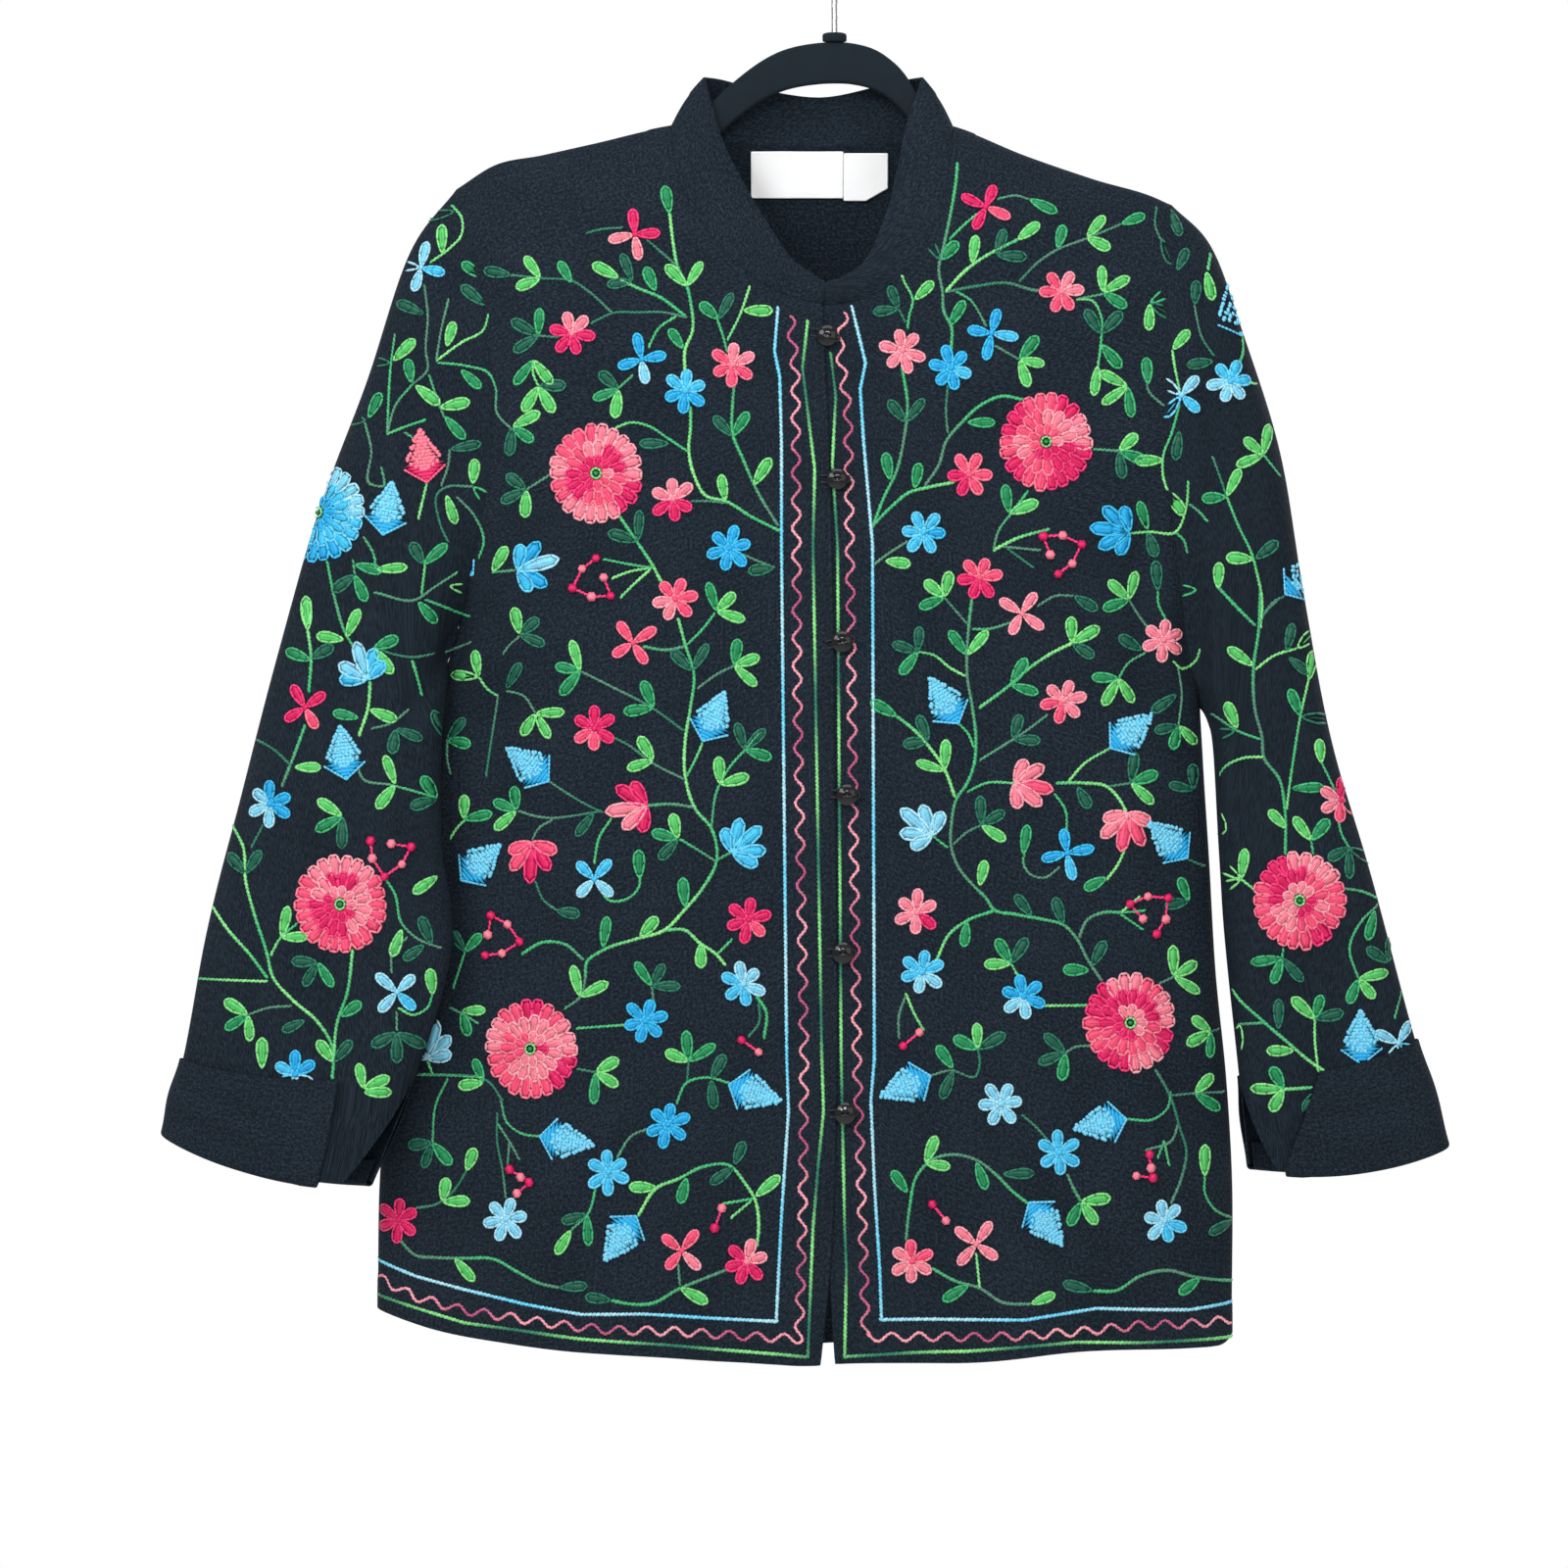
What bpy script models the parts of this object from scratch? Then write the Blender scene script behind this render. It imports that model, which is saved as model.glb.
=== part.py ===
"""An embroidered shirt jacket on its hanger, as the pieces that are cut, sewn and hung.

Metres, +Z up. The origin is where a rail touches the inside of the hook's crown. The garment
hangs below it, its fronts face -Y, and left and right are as seen from the front.
"""

import math

import bmesh
import bpy
import numpy as np

MM = 0.001

CREASE_ANGLE = math.radians(40)

# Cloth and seams
CLOTH = 1.4 * MM
SEAM_GAP = 0.3 * MM
CLEARANCE = 0.35 * MM

# The body, hanging as a flattened tube: heights are below the hook, and above the underarms
# the two rims run on through the sleeves
BODY_COLUMNS = ("height", "left_rim", "right_rim", "half_depth")
BODY_SECTIONS = (
    (-860, -264.5, 230.2, 35.0),
    (-805, -264.3, 230.2, 35.0),
    (-723, -263.0, 230.2, 34.5),
    (-667, -258.0, 226.8, 34.0),
    (-612, -252.0, 221.2, 33.5),
    (-541, -245.0, 217.0, 33.0),
    (-485, -238.0, 213.5, 32.5),
    (-440, -225.0, 211.6, 32.0),
    (-400, -215.5, 214.0, 31.5),
    (-350, -227.0, 226.0, 31.0),
    (-290, -246.0, 242.0, 30.5),
    (-220, -256.0, 250.0, 30.0),
    (-160, -262.0, 254.0, 30.0),
    (-90, -266.0, 258.0, 30.0),
)
SHOULDER_COLUMNS = ("x", "height")
SHOULDER_LINE = (
    (-244.2, -191.5),
    (-230.2, -163.5),
    (-217.8, -155.7),
    (-196.6, -142.2),
    (-168.6, -136.1),
    (-140.6, -129.9),
    (-94.1, -119.3),
    (-12.0, -114.0),
    (69.4, -119.8),
    (111.4, -136.6),
    (150.6, -150.1),
    (189.8, -162.4),
    (203.8, -170.2),
    (217.8, -188.7),
    (236.0, -214.0),
)
SHOULDER_ROUNDING = 170 * MM
SIDE_SET_BACK = 12 * MM         # the left side seam lies back, behind the hanging sleeve
LEFT_NECK_X = -94.1 * MM
RIGHT_NECK_X = 69.4 * MM

# Hem, closure and neckline
HEM_COLUMNS = ("x", "height")
HEM_LINE = (
    (-264.4, -803.0),
    (-229.6, -813.1),
    (-185.4, -819.8),
    (-129.4, -824.3),
    (-56.6, -828.8),
    (-8.4, -830.5),
    (0.6, -829.9),
    (83.4, -828.8),
    (139.4, -823.2),
    (209.0, -822.4),
    (218.5, -822.2),
    (223.4, -821.6),
    (227.2, -819.6),
    (230.2, -816.0),
)
BACK_HEM_RISE = 4 * MM
CLOSURE_COLUMNS = ("height", "left_edge", "right_edge")
CLOSURE = (
    (-832, -8.4, 1.1),
    (-776, -2.8, -2.5),
    (-740, -0.8, -4.6),
    (-690, 0.6, -5.2),
    (-506, 0.0, -6.0),
    (-325, -2.8, -8.8),
    (-226, -7.0, -13.0),
)
LAP_LIFT = CLOTH + 0.6 * MM     # the left front rises over the right one near the closure
LAP_WIDTH = 12 * MM
LAP_SLOPE = 12 * MM
NECK_COLUMNS = ("x", "height")
LEFT_NECKLINE = (
    (-7.0, -226.0),
    (-21.8, -222.8),
    (-41.4, -213.9),
    (-64.4, -193.2),
    (-81.2, -171.0),
    (-91.4, -145.0),
    (-94.1, -119.3),
)
RIGHT_NECKLINE = (
    (-13.0, -226.6),
    (10.6, -224.6),
    (30.2, -216.5),
    (49.8, -197.0),
    (61.5, -169.5),
    (67.6, -141.0),
    (69.4, -119.8),
)
BACK_NECKLINE = (
    (-94.1, -119.3),
    (-76.2, -124.4),
    (-51.0, -127.9),
    (-12.3, -129.4),
    (27.4, -127.9),
    (52.6, -124.6),
    (69.4, -119.8),
)

# Armholes: in-plane seam from the shoulder tip to the underarm, bowed towards the neck
LEFT_TIP_X = -217.8 * MM
RIGHT_TIP_X = 195.4 * MM
LEFT_UNDERARM = -425.6 * MM
RIGHT_UNDERARM = -455.8 * MM
LEFT_ARMHOLE_BOW = 24 * MM
RIGHT_ARMHOLE_BOW = -12 * MM

# Sleeves: each row is a section, from its outer rim to its inner one
SLEEVE_COLUMNS = ("share", "outer_x", "outer_z", "outer_y",
                  "inner_x", "inner_z", "inner_y", "half_depth", "sag")
LEFT_SLEEVE = (
    (0.00, -217.8, -155.7, 0, -217.8, -425.6, 0, 24, 0),
    (0.12, -244.2, -191.5, -1, -220.2, -431.0, -1, 24, 0),
    (0.25, -269.4, -267.1, -3, -221.8, -440.0, -4, 23, 0),
    (0.38, -296.2, -339.9, -6, -223.6, -453.0, -9, 22, 0),
    (0.52, -319.8, -423.9, -10, -225.4, -481.0, -17, 20, 2),
    (0.68, -340.5, -505.1, -13, -224.6, -534.2, -25, 19, 4),
    (0.84, -361.8, -591.9, -16, -220.1, -603.1, -28, 18, 6),
    (0.93, -373.5, -656.3, -17, -238.0, -663.0, -27, 17, 7),
    (1.00, -384.2, -698.3, -17, -264.0, -727.0, -25, 16, 8),
)
RIGHT_SLEEVE = (
    (0.00, 195.4, -165.2, 0, 211.9, -455.8, 0, 24, 0),
    (0.12, 217.8, -188.7, -1, 214.1, -459.2, -2, 24, 0),
    (0.25, 236.3, -239.1, -3, 216.2, -464.8, -4, 23, 0),
    (0.38, 257.0, -306.3, -5, 218.0, -472.6, -6, 22, 0),
    (0.52, 270.5, -387.5, -7, 219.6, -493.9, -8, 20, 2),
    (0.68, 286.7, -474.3, -9, 222.2, -544.3, -10, 19, 4),
    (0.84, 311.9, -561.1, -10, 226.4, -603.1, -11, 18, 5),
    (0.93, 334.3, -645.1, -10, 233.2, -666.4, -11, 17, 6),
    (1.00, 352.2, -705.6, -10, 238.5, -718.0, -11, 16, 8),
)
ARMHOLE_BLEND = 0.35            # share of the sleeve over which the armhole's form dies out
ARMHOLE_STEPS = 14              # ring steps on each side of an armhole
NECK_STEPS = 10                 # of these, the rows of a front that end on the neckline
BACK_NECK_STEPS = 12
SHOULDER_STEPS = 10             # columns of the back along each shoulder
FRONT_STEPS = 15                # columns of a front beyond its lapped edge
BODY_STEPS = 9                  # rows from the hem up to the underarm
SLEEVE_SHARES = (0, 0.045, 0.10, 0.17, 0.24, 0.31, 0.38, 0.46, 0.55, 0.64, 0.73, 0.82, 0.88)
WRIST_SHARES = (0.932, 0.955, 0.978, 1.0)       # the rows that a cuff covers, slit at the seam
VENT_OPENING = math.radians(30)

# Turned-back cuffs
CUFF_CLEARANCE = 0.8 * MM       # the turned-back facing stands a little off the sleeve
CUFF_BACK_STEPS = 13            # ring steps that it covers behind, and on the front to FRONT_STEPS
CUFF_FRONT_STEPS = 5
CUFF_END_COLUMNS = 3
CUFF_FOLD_STEPS = 4
CUFF_TURN = 1.0 * MM            # the fold's centre below the sleeve's end
CUFF_TUCK = 12 * MM             # how far the facing reaches up inside
CUFF_ROLL = 1.6 * MM
LEFT_CUFF_FRONT = (math.radians(110), math.radians(120))     # vent edge at the top, at the fold
RIGHT_CUFF_FRONT = (math.radians(97), math.radians(130))

# Folds of the cloth: trough (-) or ridge (+) from one point to another
FOLD_COLUMNS = ("cloth", "x0", "z0", "x1", "z1", "width", "rise")
FOLDS = (
    ("front sleeve_left_front", -205, -404, -240, -455, 9, -4.0),
    ("front", -194, -395, -192, -505, 9, -3.5),
    ("front", -206, -545, -203, -640, 13, 2.5),
    ("front", -150, -832, -158, -560, 24, 3.0),
    ("front", -95, -832, -104, -640, 18, -2.5),
    ("front", 105, -832, 116, -600, 24, 3.0),
    ("front", 55, -832, 50, -690, 18, -2.0),
    ("front", 176, -350, 177, -450, 10, -3.5),
    ("front", 168, -520, 176, -690, 18, 2.5),
    ("front sleeve_right_front", 204, -340, 206, -430, 9, -3.5),
    ("front sleeve_left_front", -203, -200, -197, -310, 10, -2.5),
    ("back sleeve_left_back", -200, -396, -238, -452, 10, -4.0),
    ("back sleeve_right_back", 190, -418, 232, -492, 10, -4.0),
    ("back", -150, -300, -172, -520, 16, -3.0),
    ("back", 128, -310, 150, -540, 16, -3.0),
    ("back", -60, -832, -66, -520, 26, 3.0),
    ("back", 40, -832, 52, -580, 24, -3.0),
    ("back", 150, -832, 158, -610, 22, 3.0),
    ("back", -170, -832, -180, -600, 20, -2.5),
    ("sleeve_left_front", -300, -395, -262, -440, 11, -3.0),
    ("sleeve_left_front", -316, -500, -250, -560, 14, 2.5),
    ("sleeve_left_front", -250, -560, -236, -640, 12, -2.5),
    ("sleeve_left_back", -310, -450, -250, -500, 12, -3.0),
    ("sleeve_left_back", -345, -600, -270, -640, 13, -2.5),
    ("sleeve_right_front", 214, -225, 221, -350, 9, -3.0),
    ("sleeve_right_front", 236, -470, 268, -520, 12, -2.5),
    ("sleeve_right_front", 244, -600, 262, -690, 12, 2.5),
    ("sleeve_right_back", 226, -470, 270, -510, 12, -3.0),
    ("sleeve_right_back", 240, -600, 300, -640, 13, -2.5),
)
FOLD_FADE_DEPTH = 8 * MM        # folds die out where the body thins towards its rims

# Collar: the top edge above each point of the neck seam, from the left end round to the right
COLLAR_COLUMNS = ("seam", "seam_share", "top_x", "top_z", "top_y")
COLLAR = (
    ("left", 0.00, -5.4, -212.6, -29.0),
    ("left", 0.18, -14.0, -207.0, -28.5),
    ("left", 0.37, -25.5, -198.0, -27.0),
    ("left", 0.56, -39.5, -176.5, -23.5),
    ("left", 0.74, -53.0, -153.0, -18.5),
    ("left", 0.88, -65.5, -126.0, -11.5),
    ("left", 1.00, -75.0, -91.5, -1.0),
    ("back", 0.12, -66.0, -91.5, 8.0),
    ("back", 0.28, -46.0, -95.5, 14.5),
    ("back", 0.50, -8.0, -100.5, 18.5),
    ("back", 0.72, 26.0, -94.5, 15.5),
    ("back", 0.88, 43.0, -91.5, 9.0),
    ("back", 1.00, 51.5, -91.5, -1.0),
    ("right", 0.88, 43.0, -118.0, -11.0),
    ("right", 0.72, 36.5, -148.5, -18.5),
    ("right", 0.54, 30.5, -172.5, -23.0),
    ("right", 0.36, 19.0, -199.0, -26.5),
    ("right", 0.16, 4.5, -210.0, -28.5),
    ("right", 0.00, -3.6, -212.8, -29.0),
)
COLLAR_ROWS = 4
COLLAR_BELLY = 1.5 * MM

# Buttons on the right front, and the left front's loops round their shanks
BUTTON_COLUMNS = ("x", "height", "tilt")
BUTTONS = (
    (-3.9, -243.6, 14),
    (1.7, -325.4, 0),
    (4.5, -418.3, -12),
    (7.3, -505.7, 4),
    (5.0, -595.8, 0),
    (6.2, -687.1, -3),
)
BUTTON_RADIUS = 6 * MM
BUTTON_THICKNESS = 3.0 * MM
BUTTON_PROFILE_COLUMNS = ("radius", "height")       # shares of the radius and of the thickness
BUTTON_PROFILE = ((0.72, 0.0), (1.0, 0.35), (0.90, 0.80), (0.58, 1.0), (0.30, 0.82))
SHANK_RADIUS = 1.2 * MM
SHANK_HEIGHT = 3.9 * MM
BUTTON_SIDES = 14
LOOP_RADIUS = 0.6 * MM
LOOP_HEIGHT = LAP_LIFT + CLEARANCE + LOOP_RADIUS
LOOP_HALF_WIDTH = 2.0 * MM
LOOP_REACH = 5.2 * MM
LOOP_TAIL = 9.5 * MM
LOOP_BEND_STEPS = 6
LOOP_SIDES = 6

# Labels on the inside of the back
LABEL_COLUMNS = ("x0", "x1", "top", "bottom", "cut_corner")
LABELS = {
    "label_main": (-47.5, 5.5, -131.5, -157.5, 0.0),
    "label_care": (6.5, 31.5, -132.5, -159.0, 7.0),
}
LABEL_THICKNESS = 0.8 * MM
LABEL_STAND_OFF = 0.8 * MM
LABEL_STEPS_ACROSS = 6
LABEL_STEPS_DOWN = 4

# Hanger: the arch inside the neck, then arms that follow the shoulders
ARCH_COLUMNS = ("x", "top")
ARCH = (
    (-94.1, -122.8),
    (-86.0, -119.6),
    (-76.0, -111.6),
    (-65.0, -100.4),
    (-56.6, -92.8),
    (-34.2, -77.5),
    (-10.1, -71.3),
    (0.6, -70.7),
    (10.6, -71.3),
    (30.2, -78.7),
    (41.4, -89.4),
    (49.8, -103.2),
    (57.0, -114.4),
    (63.0, -120.6),
    (69.4, -123.4),
)
ARM_HEIGHT_COLUMNS = ("x", "height")
ARM_HEIGHT = ((-190, 13), (-178, 17), (-140, 21), (-60, 23), (0, 24), (50, 23), (110, 20),
              (170, 17), (184, 13))
HANGER_THICKNESS = 5.0 * MM
HANGER_SEAT = 0.9 * MM
ARM_STATIONS = 8
ARCH_STATIONS = 16
EDGE_STEPS = 4                  # steps round each rounded edge of the hanger

# Ferrule and hook
NUB_X = 0.6 * MM
NUB_RADIUS = 7 * MM
NUB_HALF_DEPTH = 4.2 * MM
NUB_HEIGHT = 5.2 * MM
NUB_SIDES = 16
NUB_PROFILE_COLUMNS = ("radius", "height")          # shares of the radius and of the height
NUB_PROFILE = ((0.8, 0.0), (1.0, 0.15), (1.0, 0.75), (0.7, 1.0))
WIRE_RADIUS = 1.9 * MM
CROWN_RADIUS = 17 * MM
CROWN_START = math.radians(-62)
CROWN_END = math.radians(196)
CROWN_STEPS = 18
SHANK_LENGTH = 10 * MM          # straight wire above the ferrule
BEND_PULL = 11 * MM             # how slowly the wire bends from the shank into the crown
BEND_STEPS = 6
HOOK_SIDES = 10


def columns(names, rows):
    """The columns of a table by name, numbers only."""
    return {name: np.array([row[k] for row in rows]) for k, name in enumerate(names)}


def smooth(knots, values):
    """A smooth curve through rows of a table: a cubic between each two knots."""
    knots = np.asarray(knots, float)
    values = np.asarray(values, float)
    slopes = np.gradient(values, knots, axis=0)

    def at(t):
        t = np.clip(np.asarray(t, float), knots[0], knots[-1])
        i = np.clip(np.searchsorted(knots, t) - 1, 0, len(knots) - 2)
        span = knots[i + 1] - knots[i]
        s = (t - knots[i]) / span
        if values.ndim > 1:
            s = s[..., None]
            span = span[..., None]
        start = (1 + 2 * s) * (1 - s) ** 2 * values[i] + s * (1 - s) ** 2 * span * slopes[i]
        end = s * s * (3 - 2 * s) * values[i + 1] + s * s * (s - 1) * span * slopes[i + 1]
        return start + end

    return at


def table_curve(names, rows, key, value):
    """One column of a table in millimetres as a smooth curve over another, in metres."""
    table = columns(names, rows)
    return smooth(table[key] * MM, table[value] * MM)


def path_curve(rows):
    """A smooth plane path through the rows of an outline, by its share of the length."""
    table = columns(NECK_COLUMNS, rows)
    points = np.stack((table["x"], table["height"]), axis=-1) * MM
    lengths = np.linalg.norm(np.diff(points, axis=0), axis=1)
    shares = np.concatenate(([0.0], np.cumsum(lengths))) / lengths.sum()
    return smooth(shares, points)


def ease(t):
    """A smooth step from 0 to 1."""
    t = np.clip(t, 0.0, 1.0)
    return t * t * (3 - 2 * t)


def unit(vectors):
    return vectors / np.linalg.norm(vectors, axis=-1, keepdims=True)


left_rim = table_curve(BODY_COLUMNS, BODY_SECTIONS, "height", "left_rim")
right_rim = table_curve(BODY_COLUMNS, BODY_SECTIONS, "height", "right_rim")
half_depth = table_curve(BODY_COLUMNS, BODY_SECTIONS, "height", "half_depth")
shoulder = table_curve(SHOULDER_COLUMNS, SHOULDER_LINE, "x", "height")
hem = table_curve(HEM_COLUMNS, HEM_LINE, "x", "height")
left_edge = table_curve(CLOSURE_COLUMNS, CLOSURE, "height", "left_edge")
right_edge = table_curve(CLOSURE_COLUMNS, CLOSURE, "height", "right_edge")


def depth_squared(x, z):
    """Square of the body's half depth. It falls to zero at the side and shoulder rims."""
    middle = (left_rim(z) + right_rim(z)) / 2
    half_width = (right_rim(z) - left_rim(z)) / 2
    across = (x - middle) / half_width
    below = np.minimum((shoulder(x) - z) / SHOULDER_ROUNDING, 1.0)
    return half_depth(z) ** 2 * (1 - across ** 4) * (1 - (1 - below) ** 3)


def set_back(x, z):
    """How far the left side's seam lies behind the plane of the hanger."""
    return SIDE_SET_BACK * ease((-x - 0.12) / 0.11) * ease((-z - 0.424) / 0.04)


def fold_rise(cloth, x, z):
    """Height of the folds of one cloth, from the table of folds."""
    total = np.zeros_like(x)
    for row in FOLDS:
        fold = dict(zip(FOLD_COLUMNS, row))
        if cloth not in fold["cloth"].split():
            continue
        start = np.array((fold["x0"], fold["z0"])) * MM
        run = np.array((fold["x1"], fold["z1"])) * MM - start
        along = np.clip(((x - start[0]) * run[0] + (z - start[1]) * run[1]) / (run @ run), 0, 1)
        apart = np.hypot(x - start[0] - along * run[0], z - start[1] - along * run[1])
        total += fold["rise"] * MM * np.exp(-(apart / (fold["width"] * MM)) ** 2)
    return total


def lap(x, z):
    """How far the left front is raised above the right one."""
    return LAP_LIFT * ease((x - left_edge(z) + LAP_WIDTH + LAP_SLOPE) / LAP_SLOPE)


def body_surface(side, x, z, lapped=False):
    """Points and outward normals of the body's cloth: side is -1 in front and 1 behind."""
    step = 0.2 * MM
    squared = np.maximum(depth_squared(x, z), 0.0)
    depth = side * np.sqrt(squared)
    slope_x = (depth_squared(x + step, z) - depth_squared(x - step, z)) / (4 * step)
    slope_z = (depth_squared(x, z + step) - depth_squared(x, z - step)) / (4 * step)
    normals = unit(np.stack((-slope_x, depth, -slope_z), axis=-1))
    fade = ease(np.abs(depth) / FOLD_FADE_DEPTH)
    rise = fold_rise("front" if side < 0 else "back", x, z) * fade
    if lapped:
        rise = rise + lap(x, z)
    y = set_back(x, z) + depth + side * SEAM_GAP / 2
    return np.stack((x, y, z), axis=-1) + normals * rise[..., None], normals


def armhole(left, steps=ARMHOLE_STEPS):
    """In-plane points of an armhole seam, from the underarm up to the shoulder tip."""
    tip_x = LEFT_TIP_X if left else RIGHT_TIP_X
    low = LEFT_UNDERARM if left else RIGHT_UNDERARM
    bow = LEFT_ARMHOLE_BOW if left else RIGHT_ARMHOLE_BOW
    rim = left_rim(low) if left else right_rim(low)
    down = (1 + np.cos(np.pi * np.arange(steps + 1) / steps)) / 2
    x = tip_x + (rim - tip_x) * down + bow * np.sin(np.pi * down)
    z = shoulder(tip_x) + (low - shoulder(tip_x)) * down
    return np.stack((x, z), axis=-1)


def fill_patch(left, right, bottom, top, across, up):
    """Plane points of a four-sided panel, filled in between its four edges."""
    across = across[None, :, None]
    up = up[:, None, None]
    sides = (1 - across) * left[:, None] + across * right[:, None]
    ends = (1 - up) * bottom[None] + up * top[None]
    corners = ((1 - up) * ((1 - across) * bottom[0] + across * bottom[-1])
               + up * ((1 - across) * top[0] + across * top[-1]))
    return sides + ends - corners


def wall_object(name, outer, inner, material, wrap=False, gaps=()):
    """A closed wall between two grids of points. wrap joins the last column to the first."""
    rows, cols = outer.shape[:2]
    mesh_data = bmesh.new()
    skins = [[[mesh_data.verts.new(point) for point in row] for row in skin]
             for skin in (outer, inner)]
    width = cols if wrap else cols - 1
    cells = {(r, c) for r in range(rows - 1) for c in range(width)} - set(gaps)
    for r, c in cells:
        n = (c + 1) % cols
        for skin in skins:
            mesh_data.faces.new((skin[r][c], skin[r][n], skin[r + 1][n], skin[r + 1][c]))
        borders = (
            ((r, c), (r, n), (r - 1, c)),
            ((r + 1, c), (r + 1, n), (r + 1, c)),
            ((r, c), (r + 1, c), (r, (c - 1) % cols if wrap else c - 1)),
            ((r, n), (r + 1, n), (r, n if wrap else c + 1)),
        )
        for a, b, neighbour in borders:
            if neighbour not in cells:
                mesh_data.faces.new((skins[0][a[0]][a[1]], skins[0][b[0]][b[1]],
                                     skins[1][b[0]][b[1]], skins[1][a[0]][a[1]]))
    loose = [vert for vert in mesh_data.verts if not vert.link_faces]
    bmesh.ops.delete(mesh_data, geom=loose, context="VERTS")
    return finish_object(name, mesh_data, material)


def finish_object(name, mesh_data, material):
    """Turn a bmesh into a named object with its faces pointing out."""
    bmesh.ops.recalc_face_normals(mesh_data, faces=mesh_data.faces)
    mesh = bpy.data.meshes.new(name)
    mesh_data.to_mesh(mesh)
    mesh_data.free()
    mesh.shade_smooth()
    mesh.set_sharp_from_angle(angle=CREASE_ANGLE)
    mesh.materials.append(material)
    piece = bpy.data.objects.new(name, mesh)
    bpy.context.collection.objects.link(piece)
    return piece


def tube_object(name, path, radius, sides, material, side_axis):
    """A round tube along a path of points, with flat ends."""
    path = np.asarray(path)
    tangents = unit(np.gradient(path, axis=0))
    across = unit(np.cross(tangents, np.asarray(side_axis, float)))
    second = np.cross(tangents, across)
    turn = 2 * np.pi * np.arange(sides) / sides
    rings = (path[:, None] + radius * (np.cos(turn)[None, :, None] * across[:, None]
                                       + np.sin(turn)[None, :, None] * second[:, None]))
    return ring_object(name, rings, material)


def ring_object(name, rings, material):
    """A closed solid lofted through rings of points, with its first and last ring capped."""
    mesh_data = bmesh.new()
    loops = [[mesh_data.verts.new(point) for point in ring] for ring in rings]
    sides = len(loops[0])
    for low, high in zip(loops, loops[1:]):
        for k in range(sides):
            n = (k + 1) % sides
            mesh_data.faces.new((low[k], low[n], high[n], high[k]))
    mesh_data.faces.new(loops[0])
    mesh_data.faces.new(loops[-1])
    return finish_object(name, mesh_data, material)


def material_named(name, colour, roughness, metallic=0.0):
    material = bpy.data.materials.new(name)
    material.use_nodes = True
    shader = material.node_tree.nodes["Principled BSDF"]
    shader.inputs["Base Color"].default_value = (*colour, 1.0)
    shader.inputs["Roughness"].default_value = roughness
    shader.inputs["Metallic"].default_value = metallic
    return material


def crowded(count):
    """Shares from 0 to 1 that crowd together at 1, where a surface turns over."""
    return np.sin(np.pi / 2 * np.linspace(0, 1, count + 1))


def crowded_ends(count):
    """Shares from 0 to 1 that crowd together at both ends."""
    return (1 - np.cos(np.pi * np.linspace(0, 1, count + 1))) / 2


def body_rows(low, underarm):
    """Heights of the plain rows between hem and underarm."""
    return np.linspace(low, underarm, BODY_STEPS + 1)


def front_panel(name, left, material):
    """One front, between hem, closure and neckline, shoulder, armhole and side."""
    edge = left_edge if left else right_edge
    neckline = path_curve(LEFT_NECKLINE if left else RIGHT_NECKLINE)
    rim = left_rim if left else right_rim
    underarm = LEFT_UNDERARM if left else RIGHT_UNDERARM
    arm_points = armhole(left)

    side_x = rim(-0.80)
    side_z = body_rows(hem(side_x), underarm)
    side_points = np.concatenate((np.stack((rim(side_z), side_z), axis=-1), arm_points[1:]))

    neck = neckline(crowded_ends(NECK_STEPS))
    centre_z = body_rows(hem(edge(-0.83)), underarm)
    closure_z = np.linspace(underarm, neck[0, 1], ARMHOLE_STEPS - NECK_STEPS + 1)[1:-1]
    centre_z = np.concatenate((centre_z, closure_z))
    centre = np.concatenate((np.stack((edge(centre_z), centre_z), axis=-1), neck))

    slope_share = (LAP_WIDTH + LAP_SLOPE) / abs(side_points[0, 0] - centre[0, 0])
    near_edge = slope_share * np.array((0, LAP_WIDTH / (LAP_WIDTH + LAP_SLOPE)))
    across = np.concatenate((near_edge, slope_share + (1 - slope_share) * crowded(FRONT_STEPS)))
    hem_x = centre[0, 0] + (side_points[0, 0] - centre[0, 0]) * across
    bottom = np.stack((hem_x, hem(hem_x)), axis=-1)
    top_x = centre[-1, 0] + (side_points[-1, 0] - centre[-1, 0]) * across
    top = np.stack((top_x, shoulder(top_x)), axis=-1)
    up = np.linspace(0, 1, len(centre))
    plane = fill_patch(centre, side_points, bottom, top, across, up)
    points, normals = body_surface(-1, plane[..., 0], plane[..., 1], lapped=left)
    points[-ARMHOLE_STEPS:, -1, 0] += (1 if left else -1) * SEAM_GAP / 2
    return wall_object(name, points, points - normals * CLOTH, material)


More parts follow.
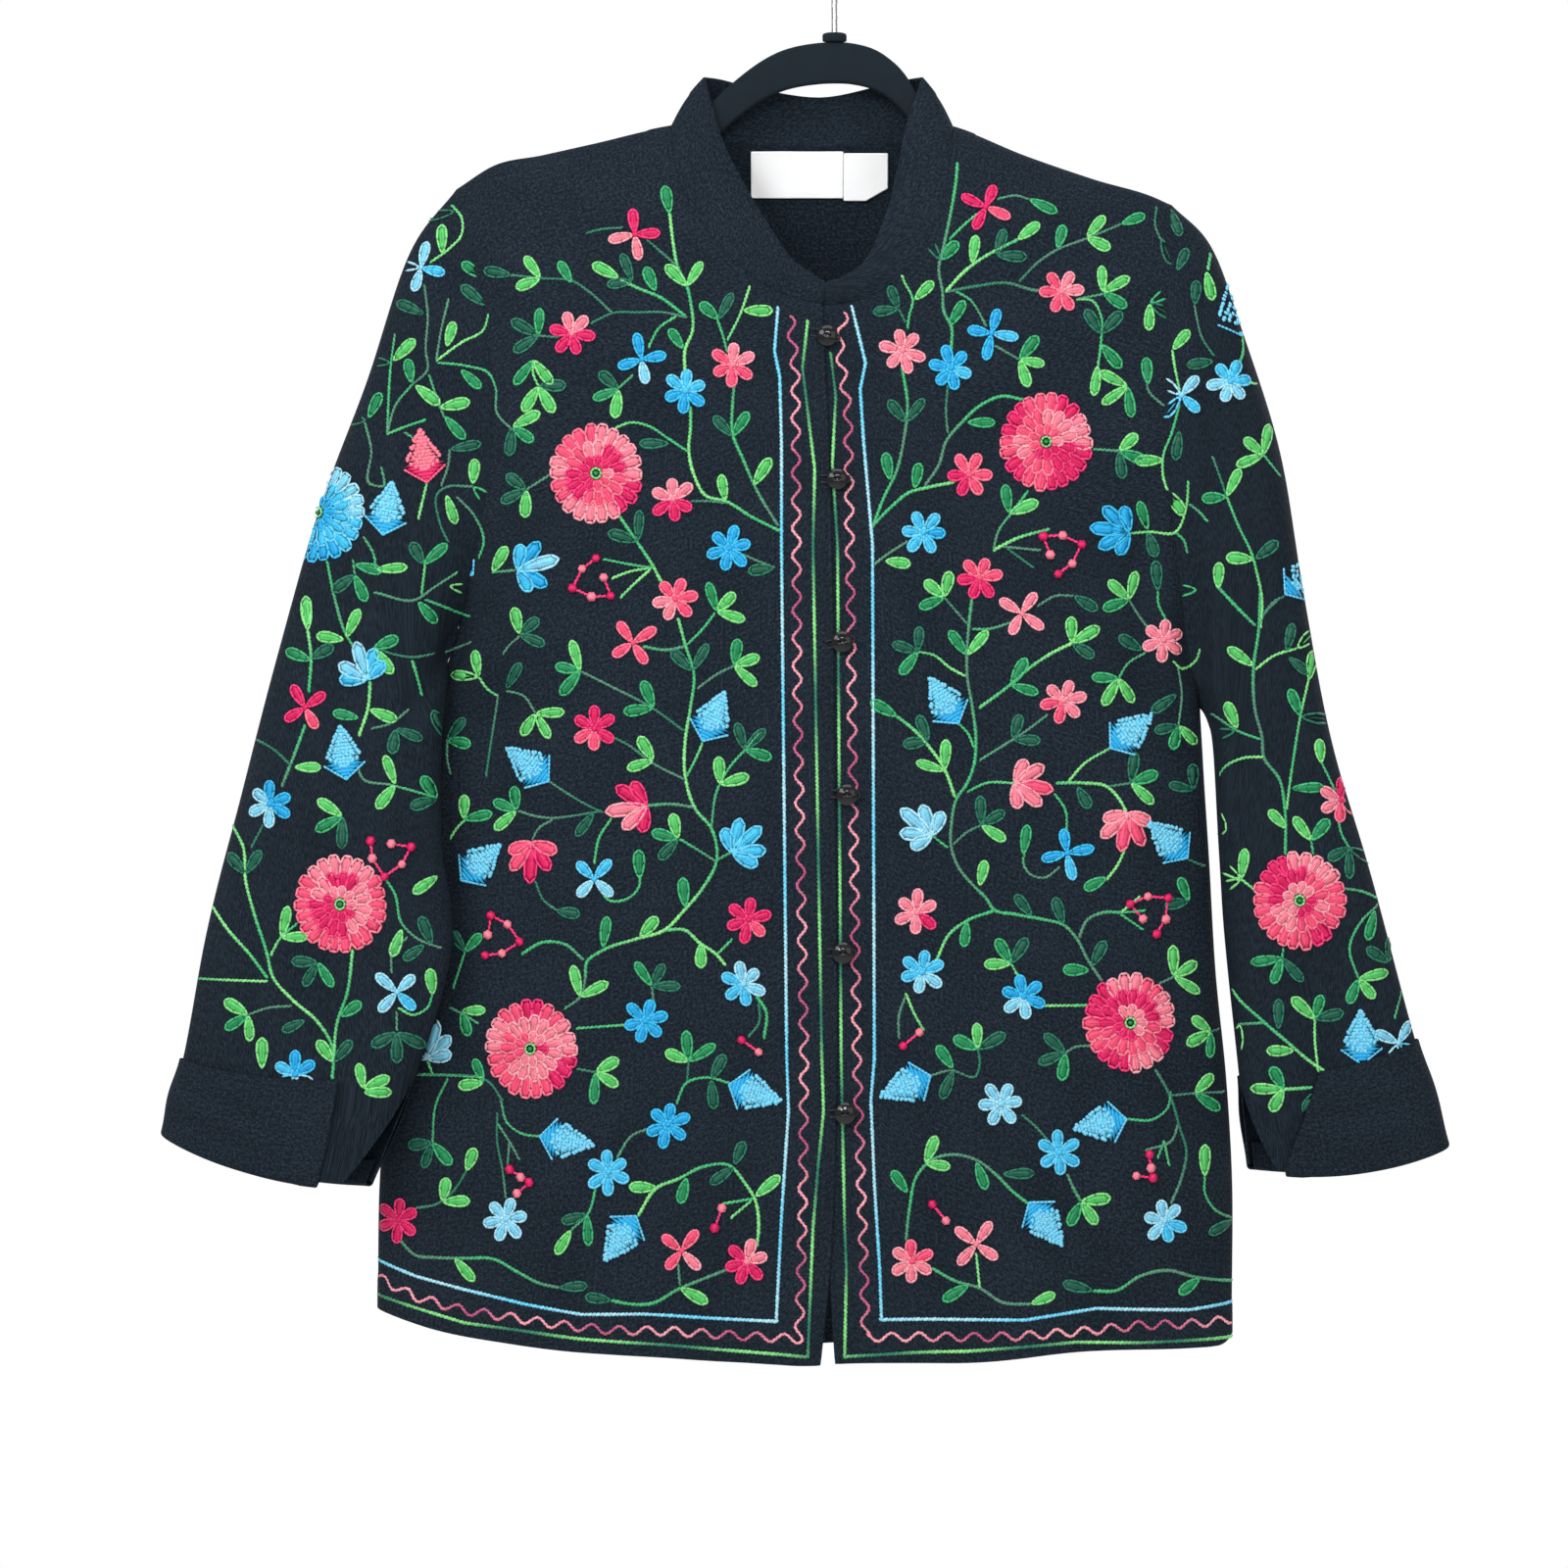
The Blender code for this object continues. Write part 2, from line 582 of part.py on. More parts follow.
def back_panel(name, material):
    """The back, between hem, both sides and armholes, and the shoulders with the neckline."""
    edges = []
    for left in (True, False):
        rim = left_rim if left else right_rim
        low = hem(rim(-0.80)) + BACK_HEM_RISE
        heights = body_rows(low, LEFT_UNDERARM if left else RIGHT_UNDERARM)
        sides = np.stack((rim(heights), heights), axis=-1)
        edges.append(np.concatenate((sides, armhole(left)[1:])))
    left_side, right_side = edges

    left_x = np.linspace(LEFT_TIP_X, LEFT_NECK_X, SHOULDER_STEPS + 1)
    right_x = np.linspace(RIGHT_NECK_X, RIGHT_TIP_X, SHOULDER_STEPS + 1)
    neck = path_curve(BACK_NECKLINE)(crowded_ends(BACK_NECK_STEPS))
    top = np.concatenate((np.stack((left_x, shoulder(left_x)), axis=-1), neck[1:-1],
                          np.stack((right_x, shoulder(right_x)), axis=-1)))
    across = crowded_ends(len(top) - 1)
    hem_x = left_side[0, 0] + (right_side[0, 0] - left_side[0, 0]) * across
    bottom = np.stack((hem_x, hem(hem_x) + BACK_HEM_RISE), axis=-1)
    up = np.linspace(0, 1, len(left_side))
    plane = fill_patch(left_side, right_side, bottom, top, across, up)
    points, normals = body_surface(1, plane[..., 0], plane[..., 1])
    points[-ARMHOLE_STEPS:, 0, 0] += SEAM_GAP / 2
    points[-ARMHOLE_STEPS:, -1, 0] -= SEAM_GAP / 2
    return wall_object(name, points, points - normals * CLOTH, material)


def armhole_ring(left):
    """The armhole seam all round: points and normals of the body's cloth there."""
    plane = armhole(left)[::-1]
    front, front_normals = body_surface(-1, plane[:, 0], plane[:, 1])
    behind, behind_normals = body_surface(1, plane[:, 0], plane[:, 1])
    ring = np.concatenate((front, behind[1:-1][::-1]))
    for end in (0, ARMHOLE_STEPS):
        ring[end, 1] = set_back(*plane[end])
    return ring, np.concatenate((front_normals, behind_normals[1:-1][::-1]))


def sleeve_sections(left):
    """The sleeve's table as smooth curves over the share of its length."""
    table = columns(SLEEVE_COLUMNS, LEFT_SLEEVE if left else RIGHT_SLEEVE)
    table = {name: values * (1 if name == "share" else MM) for name, values in table.items()}
    if left:
        table["outer_y"][0] = set_back(*armhole(left)[-1])
        table["inner_y"][0] = set_back(*armhole(left)[0])
    outer = np.stack([table["outer_" + axis] for axis in "xyz"], axis=-1)
    inner = np.stack([table["inner_" + axis] for axis in "xyz"], axis=-1)
    both = np.concatenate((outer, inner, table["half_depth"][:, None], table["sag"][:, None]), axis=1)
    return smooth(table["share"], both)


def sleeve_surface(left, shares, turns):
    """Points and outward normals of a sleeve. turns run from the outer rim over the front."""
    ring, ring_normals = armhole_ring(left)
    sections = sleeve_sections(left)
    ring_turns = 2 * np.pi * np.arange(len(ring) + 1) / len(ring)
    start = np.concatenate((ring, ring[:1]))
    deviation = smooth(ring_turns, start - plain_section(sections(0.0), ring_turns))
    cloth = "sleeve_left" if left else "sleeve_right"

    def points_at(share, turn):
        flat = plain_section(sections(share), turn)
        fade = 1 - ease(share / ARMHOLE_BLEND)
        return flat + fade[..., None] * deviation(turn % (2 * np.pi))

    share = np.broadcast_to(shares, turns.shape)
    step = 0.002
    base = points_at(share, turns)
    along = points_at(np.minimum(share + step, 1), turns) - points_at(np.maximum(share - step, 0), turns)
    around = points_at(share, turns + step) - points_at(share, turns - step)
    normals = unit(np.cross(along, around)) * (1 if left else -1)
    body_normals = smooth(ring_turns, np.concatenate((ring_normals, ring_normals[:1])))(
        turns % (2 * np.pi))
    clear_of_underarm = np.maximum(ease((np.cos(turns) + 0.6) / 0.3),
                                   ease((np.abs(body_normals[..., 1]) - 0.5) / 0.4))
    at_seam = ((1 - ease(share / 0.05)) * clear_of_underarm)[..., None]
    normals = unit(normals * (1 - at_seam) + body_normals * at_seam)
    facing = np.where(np.sin(turns) > 0, 1.0, 0.0)
    rise = (fold_rise(cloth + "_front", base[..., 0], base[..., 2]) * facing
            + fold_rise(cloth + "_back", base[..., 0], base[..., 2]) * (1 - facing))
    rise = rise * ease(np.abs(np.sin(turns)) / 0.45) * ease(share / 0.12)
    return base + normals * rise[..., None], normals


def plain_section(section, turn):
    """One flattened ring of a sleeve between its outer and its inner rim."""
    outer = section[..., 0:3]
    inner = section[..., 3:6]
    depth = section[..., 6]
    sag = section[..., 7]
    cosine = np.cos(turn)
    sine = np.sin(turn)
    points = (outer + inner) / 2 + (outer - inner) / 2 * cosine[..., None]
    bulge = sine * np.sqrt(1 + cosine ** 2) * depth
    return points + np.stack((bulge * 0, -bulge, -sag * sine ** 2), axis=-1)


def sleeve(name, left, material):
    """A sleeve: a tube from the armhole to the wrist, slit at the inner seam there."""
    count = 2 * ARMHOLE_STEPS
    shares = np.array(SLEEVE_SHARES + WRIST_SHARES)
    turns = np.tile(2 * np.pi * np.arange(count) / count, (len(shares), 1))
    opened = np.clip((shares - WRIST_SHARES[0]) / (1 - WRIST_SHARES[0]), 0, 1)
    edge_turn = turns[0, ARMHOLE_STEPS - 1]
    pulled = np.clip((turns - np.pi / 2) / (edge_turn - np.pi / 2), 0, 1)
    pulled[:, ARMHOLE_STEPS:] = 0
    turns = turns - VENT_OPENING * opened[:, None] * pulled
    points, normals = sleeve_surface(left, shares[:, None], turns)
    away = (-1 if left else 1) * SEAM_GAP / 2
    near_underarm = np.exp(-((turns[0] - np.pi) / 0.4) ** 2)
    points[0, :, 0] += away * (1 + 3 * near_underarm)
    points[0, :, 2] -= 0.4 * MM * near_underarm
    vent = [(row, ARMHOLE_STEPS - 1) for row in range(len(SLEEVE_SHARES), len(shares) - 1)]
    return wall_object(name, points, points - normals * CLOTH, material, wrap=True, gaps=vent)


def cuff(name, left, material):
    """A plain facing turned back over the sleeve's end, round a soft fold."""
    front_top, front_fold = LEFT_CUFF_FRONT if left else RIGHT_CUFF_FRONT
    half = CLOTH / 2
    outside = CUFF_CLEARANCE + half
    inside = -CLOTH - CUFF_CLEARANCE - half
    ring_turns = np.pi / ARMHOLE_STEPS * np.arange(-CUFF_BACK_STEPS, CUFF_FRONT_STEPS + 1)
    centre = (outside + inside) / 2
    radius = (outside - inside) / 2
    turn_over = np.pi * np.arange(CUFF_FOLD_STEPS + 1) / CUFF_FOLD_STEPS
    rows_mid = []
    rows_normal = []
    for share in WRIST_SHARES:
        down_share = (share - WRIST_SHARES[0]) / (1 - WRIST_SHARES[0])
        front = front_top + (front_fold - front_top) * down_share
        end_turns = np.linspace(ring_turns[-1], front, CUFF_END_COLUMNS + 1)[1:]
        turns = np.concatenate((ring_turns, end_turns))
        points, normals = sleeve_surface(left, share, turns)
        roll = CUFF_ROLL * np.sin(np.pi * down_share) ** 2
        rows_mid.append(points + normals * (outside + roll))
        rows_normal.append(normals)
    ahead, _ = sleeve_surface(left, 1.0, turns)
    before, _ = sleeve_surface(left, 0.98, turns)
    down = unit(ahead - before)
    for angle in turn_over:
        out = centre + radius * math.cos(angle)
        below = CUFF_TURN + radius * math.sin(angle)
        rows_mid.append(ahead + normals * out + down * below)
        rows_normal.append(unit(normals * math.cos(angle) + down * math.sin(angle)))
    for reach in (0.0, CUFF_TUCK / 2, CUFF_TUCK):
        rows_mid.append(ahead + normals * inside - down * reach)
        rows_normal.append(-normals)
    mid = np.array(rows_mid)
    normal = np.array(rows_normal)
    return wall_object(name, mid + normal * half, mid - normal * half, material)


def collar_top(seam, shares):
    """Points of the collar's top edge above one stretch of the neck seam."""
    rows = [dict(zip(COLLAR_COLUMNS, row)) for row in COLLAR]
    own = [row for row in rows if row["seam"] == seam]
    if seam == "back":
        own = [row for row in rows if row["seam_share"] == 1.0 and row["seam"] == "left"] + own
        own[0] = {**own[0], "seam_share": 0.0}
    own.sort(key=lambda row: row["seam_share"])
    if seam == "right":
        own.append(next(row for row in rows if row["seam"] == "back" and row["seam_share"] == 1.0))
    points = np.array([(row["top_x"], row["top_y"], row["top_z"]) for row in own]) * MM
    return smooth([row["seam_share"] for row in own], points)(shares)


def collar(name, material):
    """The band collar: a strip that stands up from the neck seam, on the same points as it."""
    front_shares = crowded_ends(NECK_STEPS)
    back_shares = crowded_ends(BACK_NECK_STEPS)
    stretches = (
        ("left", LEFT_NECKLINE, front_shares, -1),
        ("back", BACK_NECKLINE, back_shares[1:-1], 1),
        ("right", RIGHT_NECKLINE, front_shares[::-1], -1),
    )
    parts = []
    for seam, outline, shares, side in stretches:
        plane = path_curve(outline)(shares)
        points, normals = body_surface(side, plane[:, 0], plane[:, 1], lapped=seam == "left")
        parts.append((points, normals, collar_top(seam, shares)))
    seam, seam_normal, top = (np.concatenate(column) for column in zip(*parts))
    rise = unit(top - seam)
    foot = seam + rise * 2 * CLEARANCE
    levels = np.linspace(0, 1, COLLAR_ROWS + 1)[:, None, None]
    grid = foot[None] * (1 - levels) + top[None] * levels
    lean = unit(np.cross(np.gradient(grid, axis=0), np.gradient(grid, axis=1)))
    belly = COLLAR_BELLY * np.sin(np.pi * levels)
    normal = unit(np.where(levels == 0, seam_normal[None], lean))
    grid = grid + lean * belly
    return wall_object(name, grid, grid - normal * CLOTH, material)


def placket_frame(button):
    """Point, right, up and outward direction of the right front's cloth at a button."""
    x = button["x"] * MM
    z = button["height"] * MM
    point, normal = body_surface(-1, np.array([x]), np.array([z]))
    out = normal[0]
    right = unit(np.array((1.0, 0.0, 0.0)) - out * out[0])
    up = np.cross(right, out)
    return point[0], right, up, out


def button_object(name, button, material):
    """A domed button with a rim and a dished middle, on its thread shank."""
    point, right, up, out = placket_frame(button)
    profile = [(SHANK_RADIUS, CLEARANCE), (SHANK_RADIUS, SHANK_HEIGHT)]
    for row in BUTTON_PROFILE:
        share = dict(zip(BUTTON_PROFILE_COLUMNS, row))
        profile.append((BUTTON_RADIUS * share["radius"],
                        SHANK_HEIGHT + BUTTON_THICKNESS * share["height"]))
    turn = 2 * np.pi * np.arange(BUTTON_SIDES) / BUTTON_SIDES
    rings = [point + out * height
             + radius * (np.cos(turn)[:, None] * right + np.sin(turn)[:, None] * up)
             for radius, height in profile]
    return ring_object(name, rings, material)


def loop_object(name, button, material):
    """A thread loop from the left front's edge, round the shank and back."""
    point, right, up, out = placket_frame(button)
    lean = math.radians(button["tilt"])
    along = right * math.cos(lean) + up * math.sin(lean)
    side = np.cross(along, out)
    bend = np.pi * np.arange(1, LOOP_BEND_STEPS) / LOOP_BEND_STEPS
    plan = [(-LOOP_TAIL, LOOP_HALF_WIDTH), (0.0, LOOP_HALF_WIDTH), (LOOP_REACH, LOOP_HALF_WIDTH)]
    plan += [(LOOP_REACH + LOOP_HALF_WIDTH * math.sin(a), LOOP_HALF_WIDTH * math.cos(a)) for a in bend]
    plan += [(LOOP_REACH, -LOOP_HALF_WIDTH), (0.0, -LOOP_HALF_WIDTH), (-LOOP_TAIL, -LOOP_HALF_WIDTH)]
    path = [point + along * a + side * b + out * LOOP_HEIGHT for a, b in plan]
    return tube_object(name, path, LOOP_RADIUS, LOOP_SIDES, material, out)


def label_object(name, sizes, material):
    """A small woven label on the inside of the back, its points taken from the back's."""
    label = dict(zip(LABEL_COLUMNS, sizes))
    x = np.linspace(label["x0"], label["x1"], LABEL_STEPS_ACROSS + 1)[None, :] * MM
    down = np.linspace(0, 1, LABEL_STEPS_DOWN + 1)[:, None]
    middle = x.mean()
    cut = label["cut_corner"] * MM * np.clip((x - middle) / (x.max() - middle), 0, 1)
    z = label["top"] * MM + down * ((label["bottom"] - label["top"]) * MM + cut)
    x = np.broadcast_to(x, z.shape)
    cloth, normals = body_surface(1, x, z)
    face = cloth - normals * (CLOTH + LABEL_STAND_OFF)
    return wall_object(name, face, face - normals * LABEL_THICKNESS, material)


def hanger_top():
    """The hanger's top edge: its arch in the neck, and arms just inside the shoulders."""
    arch = columns(ARCH_COLUMNS, ARCH)
    arch_line = smooth(arch["x"] * MM, arch["top"] * MM)

    def at(x):
        in_neck = (x > LEFT_NECK_X) & (x < RIGHT_NECK_X)
        return np.where(in_neck, arch_line(x), shoulder(x) - CLOTH - HANGER_SEAT)

    return at


def hanger(name, material):
    """A flat hanger with round edges, lofted from one arm's tip to the other's."""
    table = columns(ARM_HEIGHT_COLUMNS, ARM_HEIGHT)
    height = smooth(table["x"] * MM, table["height"] * MM)
    top = hanger_top()
    stations = np.concatenate((
        np.linspace(table["x"][0] * MM, LEFT_NECK_X, ARM_STATIONS),
        np.linspace(LEFT_NECK_X, RIGHT_NECK_X, ARCH_STATIONS + 2)[1:-1],
        np.linspace(RIGHT_NECK_X, table["x"][-1] * MM, ARM_STATIONS)))
    radius = HANGER_THICKNESS / 2
    half_turn = np.pi * np.arange(EDGE_STEPS + 1) / EDGE_STEPS
    rings = []
    for x in stations:
        high = top(x) - radius
        low = top(x) - height(x) + radius
        ring = [(x, radius * math.cos(a), high + radius * math.sin(a)) for a in half_turn]
        ring += [(x, -radius * math.cos(a), low - radius * math.sin(a)) for a in half_turn]
        rings.append(ring)
    return ring_object(name, rings, material)


def nub(name, material):
    """The ferrule that stands on the arch and takes the hook."""
    base = float(hanger_top()(NUB_X)) + SEAM_GAP
    turn = 2 * np.pi * np.arange(NUB_SIDES) / NUB_SIDES
    rings = []
    for row in NUB_PROFILE:
        share = dict(zip(NUB_PROFILE_COLUMNS, row))
        rings.append(np.stack((NUB_X + NUB_RADIUS * share["radius"] * np.cos(turn),
                               NUB_HALF_DEPTH * share["radius"] * np.sin(turn),
                               np.full(NUB_SIDES, base + NUB_HEIGHT * share["height"])), axis=-1))
    return ring_object(name, rings, material)


def hook(name, material):
    """The wire hook: a straight shank, an easy bend and the crown that hangs on the rail."""
    foot = float(hanger_top()(NUB_X)) + 2 * SEAM_GAP + NUB_HEIGHT
    centre_line = CROWN_RADIUS + WIRE_RADIUS
    shank_top = np.array((NUB_X, foot + SHANK_LENGTH))
    angles = np.linspace(CROWN_START, CROWN_END, CROWN_STEPS)
    crown = np.stack((centre_line * np.cos(angles), centre_line * np.sin(angles) - CROWN_RADIUS), axis=-1)
    up = np.array((0.0, 1.0))
    onward = np.array((-math.sin(CROWN_START), math.cos(CROWN_START)))
    t = (np.arange(1, BEND_STEPS) / BEND_STEPS)[:, None]
    bend = ((1 - t) ** 3 * shank_top + 3 * t * (1 - t) ** 2 * (shank_top + up * BEND_PULL)
            + 3 * t * t * (1 - t) * (crown[0] - onward * BEND_PULL) + t ** 3 * crown[0])
    shank = [(NUB_X, foot), (NUB_X, foot + SHANK_LENGTH / 2), tuple(shank_top)]
    plan = np.concatenate((shank, bend, crown))
    path = np.stack((plan[:, 0], np.zeros(len(plan)), plan[:, 1]), axis=-1)
    return tube_object(name, path, WIRE_RADIUS, HOOK_SIDES, material, (0, 1, 0))


def clear_scene():
    for old in list(bpy.data.objects):
        bpy.data.objects.remove(old)


def build():
    clear_scene()
    cloth = material_named("dark_cotton", (0.030, 0.042, 0.055), 0.92)
    facing = material_named("plain_facing", (0.030, 0.042, 0.052), 0.90)
    horn = material_named("black_button", (0.010, 0.010, 0.011), 0.18)
    thread = material_named("black_thread", (0.012, 0.012, 0.014), 0.80)
    tape = material_named("white_label", (0.78, 0.79, 0.80), 0.70)
    flock = material_named("black_flock", (0.020, 0.028, 0.034), 0.98)
    steel = material_named("hook_wire", (0.62, 0.62, 0.63), 0.22, metallic=1.0)

    front_panel("front_left", True, cloth)
    front_panel("front_right", False, cloth)
    back_panel("back", cloth)
    collar("collar", facing)
    for side, left in (("left", True), ("right", False)):
        sleeve("sleeve_" + side, left, cloth)
        cuff("cuff_" + side, left, facing)
    for number, row in enumerate(BUTTONS, 1):
        button = dict(zip(BUTTON_COLUMNS, row))
        button_object(f"button_{number}", button, horn)
        loop_object(f"loop_{number}", button, thread)
    for name, sizes in LABELS.items():
        label_object(name, sizes, tape)
    hanger("hanger", flock)
    nub("hanger_nub", flock)
    hook("hook", steel)


build()
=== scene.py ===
# %% [markdown]
# # An embroidered shirt jacket on its hanger
# The jacket hangs flat, so every piece of cloth is a thin sheet that follows one long, soft form.
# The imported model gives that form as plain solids. This script dresses it: finer cloth with its
# creases, raised embroidery, sewing, buttons, labels, a flocked hanger and a wire hook.

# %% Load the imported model
import math

import bmesh
import bpy
import numpy as np
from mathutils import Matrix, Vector
from mathutils.bvhtree import BVHTree


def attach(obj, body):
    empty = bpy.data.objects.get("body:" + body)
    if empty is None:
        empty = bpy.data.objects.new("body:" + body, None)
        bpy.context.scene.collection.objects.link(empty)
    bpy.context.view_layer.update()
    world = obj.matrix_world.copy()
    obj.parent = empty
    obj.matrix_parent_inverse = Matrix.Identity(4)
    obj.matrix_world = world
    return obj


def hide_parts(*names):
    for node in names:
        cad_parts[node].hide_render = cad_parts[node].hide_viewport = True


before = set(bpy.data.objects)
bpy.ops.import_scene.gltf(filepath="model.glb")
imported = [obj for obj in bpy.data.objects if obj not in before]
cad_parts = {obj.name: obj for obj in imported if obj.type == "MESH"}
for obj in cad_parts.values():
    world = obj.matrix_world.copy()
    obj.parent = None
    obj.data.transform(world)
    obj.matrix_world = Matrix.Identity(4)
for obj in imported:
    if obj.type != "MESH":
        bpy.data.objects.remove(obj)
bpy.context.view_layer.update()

MM = 0.001


def in_scene(name, data):
    """A new object of this name, linked to the scene."""
    made = bpy.data.objects.new(name, data)
    bpy.context.scene.collection.objects.link(made)
    return made


# %% [markdown]
# ## Camera
# A product photograph of a hanging garment is taken square on, from far enough that the
# perspective is mild. The lens is worked out from one number, the width of the view at the cloth.

# %% Camera
VIEW_WIDTH = 0.896              # metres of jacket across the picture, at its front
VIEW_CENTRE = (-0.0286, -0.4995)
FRONT_PLANE = -0.030
CAMERA_DISTANCE = 2.6
SENSOR = 36.0

camera_data = bpy.data.cameras.new("camera")
camera_data.sensor_width = SENSOR
camera_data.lens = SENSOR * CAMERA_DISTANCE / VIEW_WIDTH
camera = in_scene("camera", camera_data)
camera.location = (VIEW_CENTRE[0], FRONT_PLANE - CAMERA_DISTANCE, VIEW_CENTRE[1])
camera.rotation_euler = (math.pi / 2, 0, 0)
bpy.context.scene.camera = camera
print("lens, mm:", round(camera_data.lens, 1))

# %% [markdown]
# ## The sizes that the jacket was cut to
# The same few tables that the solids were cut from, in millimetres: the sections of the body,
# the shoulder line, hem, closure and neckline, the sleeves, the folds and the collar. A smooth
# curve runs through each table's rows, so few rows are enough.

# %% Body, hem, closure and neck
CLOTH = 1.4 * MM                # the solids' walls
SEAM_GAP = 0.1 * MM             # sewn edges almost touch
CLEARANCE = 0.35 * MM

# The body, hanging as a flattened tube: heights are below the hook, and above the underarms
# the two rims run on through the sleeves
BODY_COLUMNS = ("height", "left_rim", "right_rim", "half_depth")
BODY_SECTIONS = (
    (-860, -264.5, 230.2, 35.0),
    (-805, -264.3, 230.2, 35.0),
    (-723, -263.0, 230.2, 34.5),
    (-667, -258.0, 226.8, 34.0),
    (-612, -252.0, 221.2, 33.5),
    (-541, -245.0, 217.0, 33.0),
    (-485, -238.0, 213.5, 32.5),
    (-440, -226.2, 211.6, 32.0),
    (-400, -215.5, 214.0, 31.5),
    (-350, -227.0, 226.0, 31.0),
    (-290, -246.0, 242.0, 30.5),
    (-220, -256.0, 250.0, 30.0),
    (-160, -262.0, 254.0, 30.0),
    (-90, -266.0, 258.0, 30.0),
)
SHOULDER_COLUMNS = ("x", "height")
SHOULDER_LINE = (
    (-244.2, -191.5), (-230.2, -163.5), (-217.8, -155.7), (-196.6, -142.2), (-168.6, -136.1),
    (-140.6, -129.9), (-94.1, -119.3), (-12.0, -114.0), (69.4, -119.8), (111.4, -136.6),
    (150.6, -150.1), (189.8, -162.4), (203.8, -170.2), (217.8, -188.7), (236.0, -214.0),
)
SHOULDER_ROUNDING = 170 * MM
SIDE_SET_BACK = 12 * MM         # the left side seam lies back, behind the hanging sleeve
SET_BACK_START = 0.12           # metres left of the middle at which this begins
SET_BACK_RUN = 0.11             # and over which it grows
SET_BACK_TOP = 0.424            # metres below the hook at which it begins
SET_BACK_DROP = 0.04            # and over which it grows
LEFT_NECK_X = -94.1 * MM
RIGHT_NECK_X = 69.4 * MM

# Hem, closure and neckline
HEM_COLUMNS = ("x", "height")
HEM_LINE = (
    (-264.4, -803.0), (-229.6, -813.1), (-185.4, -819.8), (-129.4, -824.3), (-56.6, -828.8),
    (-8.4, -830.5), (0.6, -829.9), (83.4, -828.8), (139.4, -823.2), (209.0, -822.4),
    (218.5, -822.2), (223.4, -821.6), (227.2, -819.6), (230.2, -816.0),
)
BACK_HEM_RISE = 4 * MM
HEM_LEVEL = -0.80               # height near the hem, where the rims are read
CLOSURE_FOOT = -0.83
CLOSURE_COLUMNS = ("height", "left_edge", "right_edge")
CLOSURE = (
    (-832, -8.4, 1.1),
    (-776, -2.8, -2.5),
    (-740, -0.8, -4.6),
    (-690, 0.6, -5.2),
    (-506, 0.0, -6.0),
    (-325, -2.8, -8.8),
    (-226, -7.0, -13.0),
)
LAP_LIFT = CLOTH + 0.6 * MM     # the left front rises over the right one near the closure
LAP_WIDTH = 12 * MM
LAP_SLOPE = 12 * MM
NECK_COLUMNS = ("x", "height")
LEFT_NECKLINE = (
    (-7.0, -226.0), (-21.8, -222.8), (-41.4, -213.9), (-64.4, -193.2), (-81.2, -171.0),
    (-91.4, -145.0), (-94.1, -119.3),
)
RIGHT_NECKLINE = (
    (-13.0, -226.6), (10.6, -224.6), (30.2, -216.5), (49.8, -197.0), (61.5, -169.5), (67.6, -141.0),
    (69.4, -119.8),
)
BACK_NECKLINE = (
    (-94.1, -119.3), (-76.2, -124.4), (-51.0, -127.9), (-12.3, -129.4), (27.4, -127.9),
    (52.6, -124.6), (69.4, -119.8),
)
print("the body has", len(BODY_SECTIONS), "sections and the hem", len(HEM_LINE), "points")

# %% Armholes and sleeves
# Armholes: in-plane seam from the shoulder tip to the underarm, bowed towards the neck
LEFT_TIP_X = -217.8 * MM
RIGHT_TIP_X = 195.4 * MM
LEFT_UNDERARM = -425.6 * MM
RIGHT_UNDERARM = -455.8 * MM
LEFT_ARMHOLE_BOW = 24 * MM
RIGHT_ARMHOLE_BOW = -12 * MM

# Sleeves: each row is a section, from its outer rim to its inner one
SLEEVE_COLUMNS = ("share", "outer_x", "outer_z", "outer_y",
                  "inner_x", "inner_z", "inner_y", "half_depth", "sag")
LEFT_SLEEVE = (
    (0.00, -217.8, -155.7, 0, -217.8, -425.6, 0, 24, 0),
    (0.12, -244.2, -191.5, -1, -220.2, -431.0, -1, 24, 0),
    (0.25, -269.4, -267.1, -3, -221.8, -440.0, -4, 23, 0),
    (0.38, -296.2, -339.9, -6, -223.6, -453.0, -9, 22, 0),
    (0.52, -319.8, -423.9, -10, -225.4, -481.0, -17, 20, 2),
    (0.68, -340.5, -505.1, -13, -224.6, -534.2, -25, 19, 4),
    (0.84, -361.8, -591.9, -16, -220.1, -603.1, -28, 18, 6),
    (0.93, -373.5, -656.3, -17, -238.0, -663.0, -27, 17, 7),
    (1.00, -384.2, -698.3, -17, -264.0, -727.0, -25, 16, 8),
)
RIGHT_SLEEVE = (
    (0.00, 195.4, -165.2, 0, 211.9, -455.8, 0, 24, 0),
    (0.12, 217.8, -188.7, -1, 214.1, -459.2, -2, 24, 0),
    (0.25, 236.3, -239.1, -3, 216.2, -464.8, -4, 23, 0),
    (0.38, 257.0, -306.3, -5, 218.0, -472.6, -6, 22, 0),
    (0.52, 270.5, -387.5, -7, 219.6, -493.9, -8, 20, 2),
    (0.68, 286.7, -474.3, -9, 222.2, -544.3, -10, 19, 4),
    (0.84, 311.9, -561.1, -10, 226.4, -603.1, -11, 18, 5),
    (0.93, 334.3, -645.1, -10, 233.2, -666.4, -11, 17, 6),
    (1.00, 352.2, -705.6, -10, 238.5, -718.0, -11, 16, 8),
)
ARMHOLE_BLEND = 0.35            # share of the sleeve over which the armhole's form dies out
SEAM_BLEND = 0.05               # the same for the normals of the body's cloth
FOLD_BLEND = 0.12               # share of the sleeve over which its folds grow
FOLD_RIM = 0.45                 # sine of the turn below which they shrink, towards the rims
SLOPE_STEP = 0.002              # between the points from which a sleeve's normals are read

